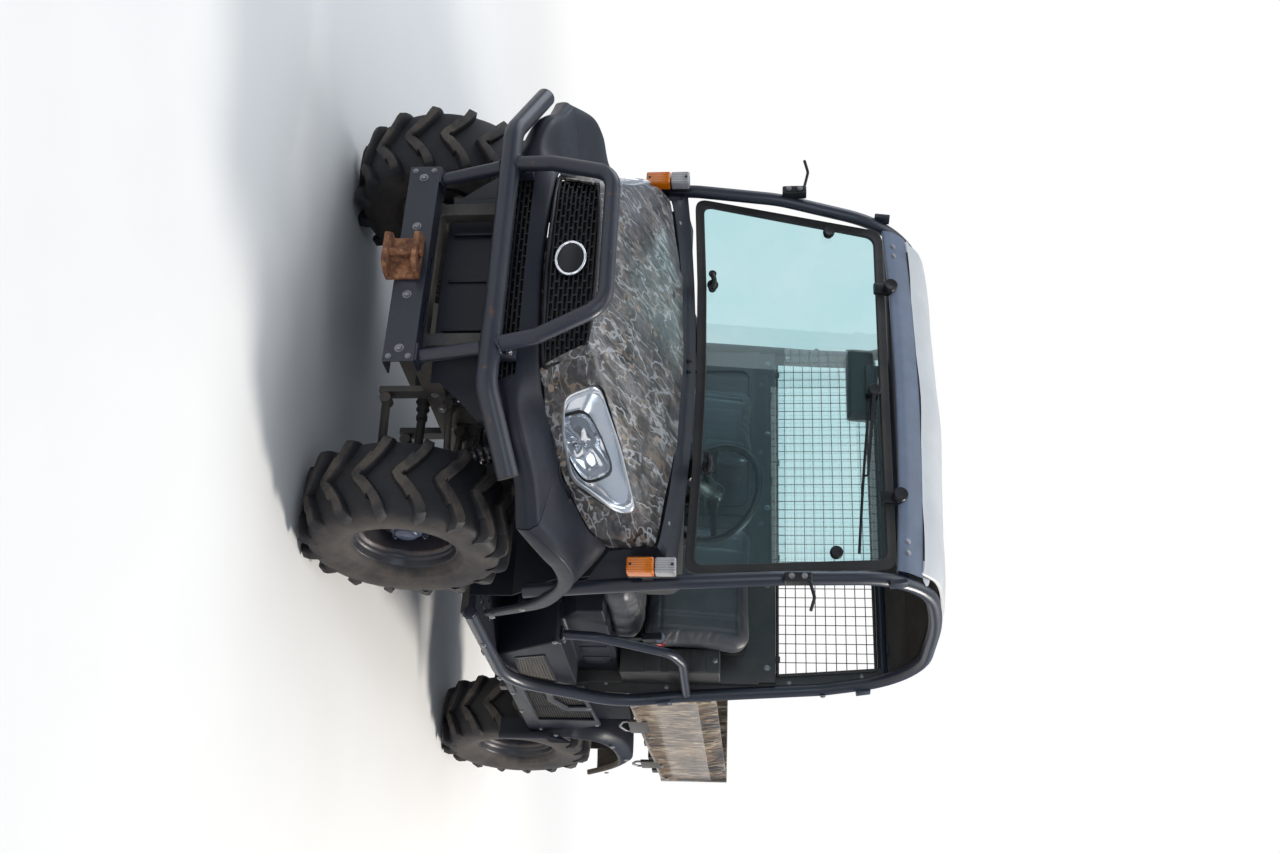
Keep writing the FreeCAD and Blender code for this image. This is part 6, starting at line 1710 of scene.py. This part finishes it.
def build_sides():
    """Side panels with rounded window edges, an angled bar, clips, and their wire screens."""
    work = eased("side_panels", 0.003)
    for y, z in ((1100, 600), (1188, 440), (1400, 440), (1620, 480), (1560, 706), (1360, 700), (1200, 690)):
        for sign in (-1, 1):
            bolts(work, ((sign * 742.2, y, z),), (sign, 0, 0), 0.006, 0.004)
    made = piece("side_panel_mouldings", work, "vehicle", "black_plastic", "black", "bolt")
    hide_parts("side_panels")
    wires = bmesh.new()
    for low, high in SIDE_WINDOWS:
        for y in range(low, high + 1, WIRE_PITCH):
            rod(wires, at(729, y, 478), at(729, y, 708), 0.0013, 6)
        for z in range(478, 709, WIRE_PITCH):
            rod(wires, at(730.6, low, z), at(730.6, high, z), 0.0013, 6)
    mirror(wires)
    made = piece("side_screen_wires", wires, "vehicle", "mesh_wire", "mesh")
    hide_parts("side_screens")
    liners = bmesh.new()
    for low, high in SIDE_WINDOWS:
        bar(liners, (724.5, low + 2, 480), (726, high - 2, 706), 0.0005, segments=1)
    mirror(liners)
    piece("side_screen_liners", liners, "vehicle", "mesh_wire", "gasket")


def build_mirror_stalks():
    """Mounts with bolts, and the thin bent rods left without mirrors."""
    work = bmesh.new()
    bar(work, (702, 152, 1424), (733, 190, 1506), 0.006, segments=3)
    bar(work, (706, 148, 1440), (729, 156, 1490), 0.004)
    bolts(work, ((717.5, 148.2, 1446), (717.5, 148.2, 1484)), (0, -1, 0), 0.0065, 0.005)
    tube(work, ((718, 160, 1496), (786, 150, 1512), (830, 140, 1500)), 0.005, 0.03, 0, 14)
    rod(work, at(716, 160.5, 1494), at(722, 159.5, 1499), 0.009, 14, 0, 0.002)
    mirror(work)
    made = piece("mirror_arms", work, "vehicle", "black_plastic", "shiny_black", "bolt")
    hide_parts("mirror_stalks")


HEADER_SECTION = ((306, 1770), (296, 1771), (292, 1776), (296, 1790), (302, 1804), (322, 1828), (345, 1851))
HEADER_RISE = ((-638, -5), (-540, 1), (-300, 12), (0, 16), (300, 12), (540, 1), (638, -5))


def build_header():
    """The header panel over the windshield, with its lower lip and bolts."""
    work = bmesh.new()
    stations = [[at(x, y, z + rise) for y, z in HEADER_SECTION] for x, rise in HEADER_RISE]
    skin(work, flowing(stations, 3, 5), 0.005)
    places = [(side * x, 300.5, z) for x, z in ((575, 1803), (537, 1804)) for side in (-1, 1)]
    bolts(work, places, (0, -0.85, 0.5), 0.0065, 0.004)
    made = piece("header_moulding", work, "vehicle", "header_grey", "header", "bolt")
    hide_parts("roof_header")


# Seats

SEATS = (
    # name, low corner, high corner, lean from upright, whether it is a backrest
    ("driver_cushion", (147, 545, 831), (628, 980, 925), 0.0, False),
    ("passenger_cushion", (-628, 545, 831), (125, 980, 925), 0.0, False),
    ("driver_back", (147, 945, 926), (628, 1034, 1312), -0.205, True),
    ("passenger_back", (-440, 945, 926), (-118, 1034, 1312), -0.205, True),
)


SEAT_CORNER = 0.055
SEAT_CORNER_STEPS = 6
SEAT_WAIST = 0.022
CUSHION_INSETS = (
    # depth from the rear to the face, and how much narrower the foam is there
    (-1.0, 0.030), (-0.93, 0.012), (-0.72, 0.002), (-0.1, 0.0), (0.45, 0.0), (0.72, 0.008), (0.90, 0.022),
    (1.0, 0.046),
)
COVER_VOXEL = 0.006
PUFF_PRESSURE = 4
PUFF_FRAMES = 20
PUFF_CAP = 0.010


def rounded_outline(half_a, half_b):
    """A rectangle with round corners whose sides pull in between them."""
    points = []
    for quarter, (sign_a, sign_b) in enumerate(((1, 1), (-1, 1), (-1, -1), (1, -1))):
        for step in range(SEAT_CORNER_STEPS + 1):
            way = math.radians(90 * (quarter + step / SEAT_CORNER_STEPS))
            points.append((sign_a * (half_a - SEAT_CORNER) + SEAT_CORNER * math.cos(way),
                           sign_b * (half_b - SEAT_CORNER) + SEAT_CORNER * math.sin(way)))
    full = []
    for (a, b), (c, d) in zip(points, points[1:] + points[:1]):
        full.append((a, b))
        if abs(c - a) + abs(d - b) > SEAT_CORNER:
            upright, flat = abs(c - a) < abs(d - b), abs(c - a) > abs(d - b)
            for share in (0.25, 0.5, 0.75):
                pull = 1 - SEAT_WAIST * (1 - (2 * share - 1) ** 2)
                x, y = a + (c - a) * share, b + (d - b) * share
                full.append((x * pull if upright else x, y * pull if flat else y))
    return full


def cushion_block(low, high, lean, upright):
    """The foam under a cover: round corners, a narrower face and a flat rear it stands on."""
    low, high = at(*low), at(*high)
    half = (high - low) / 2
    thick, length = (half.y, half.z) if upright else (half.z, half.y)
    rings = []
    for depth, inset in CUSHION_INSETS:
        outline = rounded_outline(half.x - inset, length - inset)
        rings.append([(a, -depth * thick, b) if upright else (a, b, depth * thick) for a, b in outline])
    work = bmesh.new()
    closed_loft(work, rings)
    place = Matrix.Translation((low + high) / 2)
    if lean:
        foot = Vector((0, 0, half.z))
        turn = Matrix.Translation(-foot) @ Matrix.Rotation(lean, 4, "X") @ Matrix.Translation(foot)
        place = place @ turn
    bmesh.ops.transform(work, matrix=place, verts=work.verts)
    return work, place, half


def inflate(made):
    """Puffs a cushion like filled cloth, held to a cap of travel."""
    scene = bpy.context.scene
    before = [vert.co.copy() for vert in made.data.vertices]
    cloth = made.modifiers.new("cloth", "CLOTH")
    cloth.settings.use_pressure = True
    cloth.settings.uniform_pressure_force = PUFF_PRESSURE
    cloth.settings.effector_weights.gravity = 0
    cloth.settings.quality = 5
    cloth.settings.tension_stiffness = 18
    cloth.settings.bending_stiffness = 0.6
    cloth.point_cache.frame_start = 1
    cloth.point_cache.frame_end = PUFF_FRAMES
    for number in range(1, PUFF_FRAMES + 1):
        scene.frame_set(number)
    graph = bpy.context.evaluated_depsgraph_get()
    puffed = bpy.data.meshes.new_from_object(made.evaluated_get(graph))
    moved = [vert.co.copy() for vert in puffed.vertices]
    bpy.data.meshes.remove(puffed)
    made.modifiers.remove(cloth)
    scene.frame_set(1)
    for vert, start, end in zip(made.data.vertices, before, moved):
        travel = end - start
        if travel.length > PUFF_CAP:
            travel = travel.normalized() * PUFF_CAP
        vert.co = start + travel


def sew(made, place, half, upright):
    """Crowns the face and sinks the sewn channels and the seam round it."""
    into = place.inverted()
    face_a = half.x
    thick, face_b = (half.y, half.z) if upright else (half.z, half.y)
    for vert in made.data.vertices:
        point = into @ vert.co
        a, b = point.x / face_a, (point.z if upright else point.y) / face_b
        depth = (-point.y if upright else point.z) / thick
        if depth < 0:
            continue
        crown = 0.012 * (1 - min(a * a, 1)) * (1 - min(b * b, 1)) * depth
        edge = max(abs(a) * face_a - (face_a - SEAT_CORNER), abs(b) * face_b - (face_b - SEAT_CORNER))
        seam = 0.0035 * math.exp(-(edge / 0.005) ** 2)
        channel = 0.004 * math.exp(-((abs(point.x) - face_a * 0.55) / 0.006) ** 2) if abs(b) < 0.8 else 0
        rise = crown - (seam + channel) * min(1, max(0, depth * 1.4))
        vert.co += place.to_3x3() @ (Vector((0, -rise, 0)) if upright else Vector((0, 0, rise)))


def build_seats():
    """Cushions and backrests puffed like upholstery, with the seams and channels sewn in."""
    for name, low, high, lean, upright in SEATS:
        work, place, half = cushion_block(low, high, lean, upright)
        made = piece(f"{name}_cover", work, "vehicle", "seat_vinyl", "vinyl", angle=180)
        remesh = made.modifiers.new("remesh", "REMESH")
        remesh.mode = "VOXEL"
        remesh.voxel_size = COVER_VOXEL
        mesh = applied(made, remesh)
        inflate(made)
        sew(made, place, half, upright)
        mesh.shade_smooth()
        if not mesh.materials:
            mesh.materials.append(MATERIALS["vinyl"])
        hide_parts("seat_backrests" if upright else "seat_cushions")


# Rear fenders, cargo bed and what hangs under it

REAR_LEG = (180, 172, 164, 156)
LEG_AHEAD = 366
REAR_ARCH = (
    # degrees, then (across, radius) of the turned lip, the lip, its bend, the ridge and the inner edge
    (146, (752, 452), (769, 454), (768, 470), (740, 488), (706, 494), (690, 493)),
    (140, (752, 466), (769, 468), (768, 482), (742, 500), (716, 506), (660, 502)),
    (129, (748, 488), (766, 490), (765, 506), (744, 530), (710, 538), (600, 534)),
    (115, (742, 464), (760, 466), (759, 482), (738, 512), (704, 521), (570, 518)),
    (97, (732, 432), (750, 434), (749, 450), (728, 484), (700, 492), (560, 490)),
    (80, (728, 422), (746, 424), (745, 440), (722, 476), (700, 484), (560, 480)),
    (66, (727, 388), (745, 390), (744, 406), (722, 438), (700, 446), (570, 442)),
    (50, (727, 355), (745, 357), (744, 372), (722, 400), (700, 407), (590, 402)),
)


def build_rear_fenders():
    """Each rear fender: an upright leg ahead of the wheel that bends over into the arch."""
    work = bmesh.new()
    stations = []
    for degrees in REAR_LEG:
        radius = LEG_AHEAD / abs(math.cos(math.radians(degrees)))
        stations.append(arch(degrees, WHEELBASE, (752, radius + 16), (769, radius + 14), (770, radius),
                             (742, radius), (708, radius), (690, radius)))
    stations.extend(arch(degrees, WHEELBASE, *points) for degrees, *points in REAR_ARCH)
    skin(work, flowing(stations, 3, 5), 0.004)
    liner = ((690, 1642), (668, 1560), (648, 1400), (640, 1212))
    skin(work, [[at(x, y, z) for x, y in liner] for z in (500, 640, 740, 828)], 0.003)
    for degrees, across, radius in ((150, 768, 455), (120, 768, 500), (90, 748, 462), (62, 748, 408)):
        bolt(work, arch(degrees, WHEELBASE, (across, radius))[0], (1, 0, 0), 0.007, 0.004, 2)
    for face in work.faces:
        middle = face.calc_center_median() - at(0, WHEELBASE, AXLE_HEIGHT)
        inward = -Vector((0, middle.y, middle.z)).normalized()
        if face.normal.dot(inward) > 0.35 and face.material_index == 0:
            face.material_index = 1
    mirror(work)
    made = piece("rear_fender_skins", work, "vehicle", "dusty_plastic", "black", "dusty", "bolt", angle=60)
    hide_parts("rear_fenders")


BED_SECTION = (
    # across and height of the side's outer face, from the top rail down
    (718, 1170), (721, 1176), (731, 1176), (734, 1172), (743, 1116), (744.6, 1108), (741, 1100),
    (740, 1060), (740, 960), (740, 24), (744.6, 16), (744.6, 2), (738, -4), (722, -2), (719.4, 0),
)


BED_FRONT, BED_BACK = 1246.0, 2304.7


def build_bed_sides():
    """Folded bed sides with a sloped top flange, a hem along the bottom and end posts."""
    work = bmesh.new()
    stations = []
    for share in (0.0, 0.004, 0.018, 0.03, 0.97, 0.985, 1.0):
        y = BED_FRONT + (BED_BACK - BED_FRONT) * share
        bottom = 850 + 44 * share
        flush = share < 0.01 or share > 0.99
        points = []
        for x, z in BED_SECTION:
            height = bottom + 4 + z if z < 30 else z
            across = 744.6 if flush and z < 1104 and x > 739 else x
            points.append(at(across, y, max(height, bottom)))
        stations.append(points)
    part = bmesh.new()
    closed_loft(part, stations)
    joined(work, part)
    bar(work, (733, 1247, 851), (747.5, 1275, 1160), 0.003)
    for low, high in ((1503, 1646), (2043, 2135)):
        bar(work, (733, low, 830), (745, high, 905), 0.003, 1)
        y0, y1 = low + 14, high - 14
        hook = ((y0, 842), (y0, 812), ((y0 + y1) / 2, 792), (y1, 812), (y1, 842))
        tube(work, [(739, y, z) for y, z in hook], 0.0045, 0.02, 2, 10)
    bolts(work, [(744.6, y, 880 + (y - BED_FRONT) * 0.04) for y in (1262, 1300, 1700, 2100, 2290)],
          (1, 0, 0), 0.0065, 0.005, 2)
    mirror(work)
    made = piece("bed_side_pressings", work, "bed", "camo_plastic", "side_camo", "bed", "bolt", angle=30)
    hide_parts("bed_sides")


def build_bed_floor():
    """The bed's ribbed load floor and headboard."""
    work = eased("bed_floor")
    for x in range(-600, 601, 120):
        bar(work, (x - 17, 1290, 889), (x + 17, 2290, 894), 0.0022)
    for z in (930, 1010, 1090):
        bar(work, (-700, 1271, z), (700, 1274.5, z + 44), 0.0016)
    bolts(work, [(x, BED_FRONT, z) for x in (-680, 680) for z in (920, 1140)], (0, -1, 0), 0.007, 0.005)
    made = piece("bed_load_floor", work, "bed", "wall_paint", "bed", "bolt")
    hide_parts("bed_floor")


def build_tailgate():
    """The tailgate with its pressed field, latches, hinges and a blank plate."""
    work = eased("tailgate", 0.003)
    for z in (950, 1010, 1070, 1120):
        bar(work, (-690, 2307, z - 14), (690, 2312, z + 14))
    for side in (1, -1):
        x = side * 700
        bar(work, (x - 22, 2328, 1112), (x + 22, 2334, 1160), 0.0015, 1)
        rod(work, at(x, 2326, 1136), at(x, 2335, 1136), 0.009, 16, 2, 0.001)
        for x in (side * 560, side * 200):
            rod(work, at(x - 26, 2327, 902), at(x + 26, 2327, 902), 0.008, 16, 1)
            bar(work, (x - 24, 2328, 902), (x + 24, 2334, 946), 0.0015, 1)
            bolts(work, ((x - 14, 2333, 934), (x + 14, 2333, 934)), (0, 1, 0), 0.005, 0.002, 2)
    bar(work, (-62, 2328, 1124), (62, 2335, 1150), 0.002, 1)
    made = piece("tailgate_pressing", work, "tailgate", "camo_plastic", "side_camo", "bed", "bolt")
    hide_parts("tailgate")


def build_tail_lamps():
    """Tail lamps with stop, turn and reversing fields on their bar."""
    work = bmesh.new()
    bar(work, (-640, 2215, 595), (640, 2227, 655), 0.003)
    for low in (540, -630):
        bar(work, (low, 2227, 599), (low + 90, 2238, 651), 0.004, 1)
        bar(work, (low + 3, 2236, 627), (low + 87, 2265, 648.5), 0.006, 2, 3)
        bar(work, (low + 3, 2236, 602), (low + 44, 2264, 625), 0.006, 3, 3)
        bar(work, (low + 46, 2236, 602), (low + 87, 2264, 625), 0.006, 4, 3)
    bolts(work, [(x, 2227, 625) for x in (-420, -180, 180, 420)], (0, 1, 0), 0.008, 0.006, 5)
    made = piece("tail_lamp_lenses", work, "vehicle", "tail_lens", "chassis", "shiny_black", "red", "amber",
                 "white_lens", "bolt")
    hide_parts("tail_lamps")


def build_hitch():
    """The receiver tube with its collar, pin hole rims and welds."""
    work = eased("rear_hitch", 0.0012)
    for x in (-35.1, 33.5):
        lathe(work, [(0, 0.0085), (0, 0.014), (0.0016, 0.014), (0.0016, 0.0085)],
              Matrix.Translation(at(x, 2285, 384)), 24, 0, True)
    for x0, x1, z0, z1 in ((-36, 36, 348, 352), (-36, 36, 416, 420), (-36, -32, 350, 418),
                           (32, 36, 350, 418)):
        bar(work, (x0, 2311, z0), (x1, 2325, z1), 0.001)
    made = piece("receiver_collar", work, "vehicle", "chassis_paint", "chassis")
    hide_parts("rear_hitch")


MUFFLER = (
    # along and radius of the rolled shell
    (0, 0), (0, 0.050), (0.004, 0.058), (0.010, 0.062), (0.030, 0.062), (0.032, 0.0600), (0.036, 0.0600),
    (0.038, 0.062), (0.154, 0.062), (0.156, 0.060), (0.160, 0.060), (0.162, 0.062), (0.182, 0.062),
    (0.188, 0.058), (0.192, 0.050), (0.192, 0),
)


def build_exhaust():
    """The muffler with its rolled ends, heat shield and bent tail pipe."""
    work = bmesh.new()
    y, z = 1790, 560
    lathe(work, MUFFLER, Matrix.Translation(at(272, y, z)), 48)
    tube(work, ((446, y, z), (446, y + 200, z), (446, y + 400, z)), 0.018, 0.05, 0, 20)
    lathe(work, [(0, 0.0155), (0, 0.0185), (0.012, 0.0185), (0.012, 0.0155)],
          Matrix.Translation(at(446, y + 389, z)) @ turned(90, "Z"), 24, 0, True)
    bar(work, (230, y - 20, 412), (300, y + 20, 510), 0.002, 1)
    for x in (313, 409):
        lathe(work, [(0, 0.0622), (0, 0.0640), (0.014, 0.0640), (0.014, 0.0622)],
              Matrix.Translation(at(x, y, z)), 40, 1, True)
    made = piece("muffler_shell", work, "vehicle", "exhaust_steel", "exhaust", "chassis")
    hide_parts("exhaust")


AXLES = (0, WHEELBASE)
COILS = 7.5
COIL_STEPS = 150
COIL_RADIUS = 0.0275


def build_shocks():
    """Coil springs round their dampers, with seats and a bright rod."""
    work = bmesh.new()
    foot, head = at(420, 0, 431.2), at(340, 0, 660)
    reach = (head - foot).length
    damper = [(0, 0), (0, 0.013), (0.022, 0.0138), (0.022, 0.031), (0.028, 0.033), (0.032, 0.031),
              (0.034, 0.021), (reach * 0.55, 0.021), (reach * 0.56, 0.017), (reach * 0.58, 0.0075),
              (reach - 0.052, 0.0075), (reach - 0.052, 0.032), (reach - 0.045, 0.033),
              (reach - 0.040, 0.022), (reach, 0.020), (reach, 0)]
    for axle in AXLES:
        place = Matrix.Translation(foot + Vector((0, axle / 1000, 0))) @ facing((head - foot).normalized())
        lathe(work, damper, place, 28)
        path = []
        for k in range(COIL_STEPS + 1):
            t = k / COIL_STEPS
            angle = 2 * math.pi * COILS * t
            path.append(place @ Vector((0.034 + (reach - 0.092) * t, COIL_RADIUS * math.cos(angle),
                                        COIL_RADIUS * math.sin(angle))))
        sweep(work, path, ring_section(0.0052, 8), 1)
    mirror(work)
    made = piece("coil_over_shocks", work, "vehicle", "machined_steel", "steel", "cage")
    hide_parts("shock_absorbers")


def pleats(count, start, run, radius, growth, depth):
    """The ridges and valleys of a rubber boot, as points of a turned profile."""
    for k in range(count + 1):
        ridge = radius + growth * (k / count)
        yield start + run * (k / count), ridge if k % 2 == 0 else ridge - depth


def build_half_shafts():
    """Drive shafts with pleated rubber boots and their clamps."""
    work = bmesh.new()
    for axle in AXLES:
        place = Matrix.Translation(at(0, axle, AXLE_HEIGHT))
        lathe(work, [(0.0955, 0), (0.0955, 0.035), (0.140, 0.036), (0.150, 0.033),
                     *pleats(8, 0.158, 0.100, 0.031, -0.013, 0.006), (0.270, 0.017), (0.272, 0.0135),
                     (0.456, 0.0135)], place, 28)
        lathe(work, [(0.456, 0.0135), *pleats(6, 0.464, 0.050, 0.018, 0.009, 0.005), (0.520, 0.028),
                     (0.552, 0.027), (0.562, 0.017), (0.566, 0)], place, 28, 1)
    mirror(work)
    made = piece("drive_shafts", work, "vehicle", "machined_steel", "gasket", "gasket")
    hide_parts("half_shafts")


def build_arms():
    """The wishbones of both axles and the rear hub carriers, with eased edges and bush bolts."""
    for node, axle in zip(("front_arms", "rear_arms"), AXLES):
        work = eased(node)
        for side in (1, -1):
            for way in (-1, 1):
                bolt(work, at(side * 300, axle + way * 121.5, 408), (0, way, 0), 0.009, 0.008, 1)
        made = piece(f"{node}_forged", work, "vehicle", "chassis_paint", "chassis", "bolt")
        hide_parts(node)


def build_knuckles():
    """The front uprights as cast."""
    for label in ("left", "right"):
        work = eased(f"knuckle_{label}")
        made = piece(f"knuckle_{label}_casting", work, f"knuckle_{label}", "cast_iron", "cast")
        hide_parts(f"knuckle_{label}")


def build_chassis():
    """The frame with eased edges, and bolts along the rails."""
    work = eased("chassis_frame", 0.0016)
    for side in (1, -1):
        bolts(work, [(side * 255.5, y, 382) for y in range(-340, 2200, 210)], (side, 0, 0), 0.0085, 0.006)
    made = piece("frame_rails", work, "vehicle", "chassis_paint", "chassis", "bolt")
    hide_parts("chassis_frame")


PANEL_HALF = 330
PANEL_TOP = 655


def build_splash_panel():
    """The bowed panel behind the nose, its side wings and its ribs."""
    panel = bmesh.new()
    stations = [[at(x, -352 + (abs(x) / PANEL_HALF) ** 2 * 26, z) for z in (420, 500, 580, 640)]
                for x in range(-PANEL_HALF, PANEL_HALF + 1, 110)]
    skin(panel, flowing(stations, 2, 3), 0.003)
    for side in (-1, 1):
        skin(panel, [[at(side * x, y, z) for z in (low, (low + PANEL_TOP) / 2, PANEL_TOP)]
                     for x, y, low in ((326, -327, 440), (380, -320, 500), (440, -300, 560))], 0.003)
    for x in (-170, 0, 170):
        bar(panel, (x - 5, -359, 440), (x + 5, -350, 620), 0.003)
    piece("nose_splash_panel", panel, "vehicle", "black_plastic", "black")


def build_engine():
    """The engine block dressed with fins, covers, a belt guard, hoses and bolts."""
    work = eased("engine_block", 0.006)
    for z in range(470, 711, 30):
        bar(work, (-201, 1300, z), (201, 1690, z + 7))
    for y in range(1310, 1621, 62):
        bar(work, (-150, y, 788), (150, y + 34, 793))
    bolts(work, [(x, y, 790) for x in (-180, 180) for y in (1306, 1430, 1560, 1684)], (0, 0, 1), 0.008, 0.007)
    for side in (1, -1):
        tube(work, ((side * 120, 1296, 700), (side * 140, 1262, 690), (side * 150, 1240, 600),
                    (side * 150, 1240, 470)), 0.017, 0.05, 2, 16)
    lathe(work, [(0, 0), (0, 0.075), (0.006, 0.080), (0.030, 0.080), (0.034, 0.070), (0.034, 0)],
          Matrix.Translation(at(197, 1420, 600)), 40, 2)
    lathe(work, [(0, 0), (0, 0.055), (0.006, 0.060), (0.034, 0.060), (0.038, 0.050), (0.038, 0)],
          Matrix.Translation(at(197, 1590, 560)), 40, 2)
    made = piece("engine_casting", work, "vehicle", "cast_iron", "cast", "bolt", "gasket")
    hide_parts("engine_block")


def build_driveline():
    """The driveline's castings with two bolt circles."""
    work = eased("driveline")
    for y in (1700, 1840):
        bolts(work, [(x, y, 420 + z) for x, z in ring_section(70, 6)], (0, 1, 0), 0.007, 0.005)
    made = piece("driveline_castings", work, "vehicle", "cast_iron", "cast", "bolt")
    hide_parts("driveline")


def build_rack():
    """The steering rack in its tube."""
    work = eased("steering_rack")
    made = piece("steering_rack_tube", work, "vehicle", "machined_steel", "steel")
    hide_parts("steering_rack")


def build_buckles():
    """The belt buckles beside the driver's cushion, on their stalks."""
    work = bmesh.new()
    for y, turn, top in ((905, 0.30, 1), (862, 0.12, 3)):
        place = Matrix.Translation(at(648, y, 975)) @ Matrix.Rotation(turn, 4, "X")
        block(work, (-0.013, -0.021, -0.036), (0.013, 0.021, 0.034), 0.006, 0, place)
        block(work, (-0.0138, -0.015, 0.012), (0.0138, 0.015, 0.038), 0.004, top, place)
        stalk = [at(648, y + 22, 836), at(648, y + 14, 900), at(648, y + 6, 945)]
        sweep(work, smooth_path(stalk, 5),
              [(-0.012, -0.0015), (0.012, -0.0015), (0.012, 0.0015), (-0.012, 0.0015)], 2, up=(1, 0, 0))
    piece("belt_buckles", work, "vehicle", "seat_vinyl", "shiny_black", "red", "gasket", "header")


build_wheels()
build_cage()
build_grab_bars()
build_roof()
build_header()
build_fascia()
build_front_fenders()
build_cowl()
build_hood()
build_guard()
build_carrier()
build_headlamps()
build_grille()
build_ring()
build_lower_grille()
build_turn_signals()
build_mirror_stalks()
build_windshield_fittings()
build_gasket()
build_steering_wheel()
build_dashboard()
build_pedals()
build_seat_base()
build_floor()
build_rear_wall()
build_screen()
build_sides()
build_seats()
build_rear_fenders()
build_bed_sides()
build_bed_floor()
build_tailgate()
build_tail_lamps()
build_hitch()
build_exhaust()
build_shocks()
build_half_shafts()
build_arms()
build_knuckles()
build_chassis()
build_splash_panel()
build_engine()
build_driveline()
build_rack()
build_buckles()


# Camera, lights and floor

CAMERA_AT = (2.39584, -3.78853 + FRONT_AXLE, 1.42076)
YAW, PITCH, ROLL = 0.506263, 0.0988318, 0.0045274
LENS = 40.43
SENSOR = 36


def build_camera():
    """The photograph lies on its side, so the camera's right is the vehicle's up."""
    ahead = Vector((-math.sin(YAW) * math.cos(PITCH), math.cos(YAW) * math.cos(PITCH), -math.sin(PITCH)))
    right = Vector((math.cos(YAW), math.sin(YAW), 0))
    down = ahead.cross(right)
    rolled_right = right * math.cos(ROLL) + down * math.sin(ROLL)
    rolled_down = down * math.cos(ROLL) - right * math.sin(ROLL)
    turn = Matrix((-rolled_down, -rolled_right, -ahead)).transposed()
    data = bpy.data.cameras.new("camera")
    data.lens = LENS
    data.sensor_width = SENSOR
    data.clip_end = 100
    camera = bpy.data.objects.new("camera", data)
    camera.matrix_world = Matrix.Translation(CAMERA_AT) @ turn.to_4x4()
    bpy.context.collection.objects.link(camera)
    bpy.context.scene.camera = camera


def area_light(name, place, target, energy, size, color):
    """A rectangular light that looks at a target."""
    data = bpy.data.lights.new(name, "AREA")
    data.energy = energy
    data.shape = "RECTANGLE"
    data.size, data.size_y = size
    data.color = color
    lamp = bpy.data.objects.new(name, data)
    lamp.location = place
    lamp.rotation_euler = (Vector(target) - Vector(place)).to_track_quat("-Z", "Y").to_euler()
    bpy.context.collection.objects.link(lamp)


def build_lights():
    """Soft studio light: a warm high key where the sun stood, behind on the left, and cool fills."""
    area_light("key_light", (4.2, 2.6, 5.0), (0, 0, 0.8), 430, (1.6, 1.6), (1.0, 0.95, 0.88))
    area_light("front_fill", (2.2, -5.5, 3.0), (0, -0.6, 0.8), 62, (3.5, 2.2), (0.84, 0.92, 1.0))
    area_light("side_fill", (-4.5, -1.5, 3.0), (0, 0, 0.9), 90, (3.0, 3.0), (0.86, 0.92, 1.0))
    area_light("top_light", (-0.6, -0.8, 5.5), (0, 0, 0), 95, (3.5, 4.5), (0.86, 0.93, 1.0))


def build_world():
    """A pale blue sky over a dark horizon for the light, and plain white behind the vehicle."""
    world = bpy.data.worlds.new("studio")
    bpy.context.scene.world = world
    world.use_nodes = True
    tree = world.node_tree
    links = tree.links
    place = tree.nodes.new("ShaderNodeTexCoord")
    height = tree.nodes.new("ShaderNodeSeparateXYZ")
    links.new(place.outputs["Generated"], height.inputs[0])
    sky = tree.nodes.new("ShaderNodeValToRGB")
    for element, (where, color) in zip((*sky.color_ramp.elements, sky.color_ramp.elements.new(0.5),
                                        sky.color_ramp.elements.new(0.7)),
                                       ((0.0, (0.30, 0.27, 0.24, 1)), (1.0, (0.42, 0.62, 1.0, 1)),
                                        (0.02, (0.10, 0.11, 0.12, 1)), (0.22, (0.62, 0.76, 0.95, 1)))):
        element.position = where
        element.color = color
    links.new(height.outputs["Z"], sky.inputs["Fac"])
    background = tree.nodes["Background"]
    background.inputs["Strength"].default_value = 0.50
    links.new(sky.outputs["Color"], background.inputs["Color"])
    white = tree.nodes.new("ShaderNodeBackground")
    white.inputs["Color"].default_value = (1, 1, 1, 1)
    path = tree.nodes.new("ShaderNodeLightPath")
    chosen = tree.nodes.new("ShaderNodeMath")
    chosen.operation = "MAXIMUM"
    links.new(path.outputs["Is Camera Ray"], chosen.inputs[0])
    links.new(path.outputs["Is Transmission Ray"], chosen.inputs[1])
    mixed = tree.nodes.new("ShaderNodeMixShader")
    links.new(chosen.outputs[0], mixed.inputs[0])
    links.new(background.outputs[0], mixed.inputs[1])
    links.new(white.outputs[0], mixed.inputs[2])
    links.new(mixed.outputs[0], tree.nodes["World Output"].inputs["Surface"])


def build_studio_floor():
    """A pale floor that fades into the white surround."""
    bpy.ops.mesh.primitive_plane_add(size=60, location=(0, 0, 0))
    floor = bpy.context.object
    floor.name = "studio_floor"
    shade = Shade("studio_floor")
    tone = shade.mix(shade.noise(1.5, 4), (0.72, 0.71, 0.70), (0.80, 0.79, 0.77))
    shade.set(Base_Color=tone, Roughness=0.9)
    glow = shade.new("ShaderNodeEmission")
    away = shade.math("DIVIDE", shade.radius("X", "Y"), 10.0)
    fade = shade.ramp(away, (0.20, 0.0), (0.55, 1.0), smooth=True)
    blend = shade.new("ShaderNodeMixShader")
    shade.feed(blend.inputs[0], fade)
    shade.feed(blend.inputs[1], shade.shader.outputs[0])
    shade.feed(blend.inputs[2], glow.outputs[0])
    shade.feed(shade.output.inputs["Surface"], blend.outputs[0])
    floor.data.materials.append(shade.material)


build_camera()
build_lights()
build_world()
build_studio_floor()

bpy.context.scene.view_settings.view_transform = "Standard"
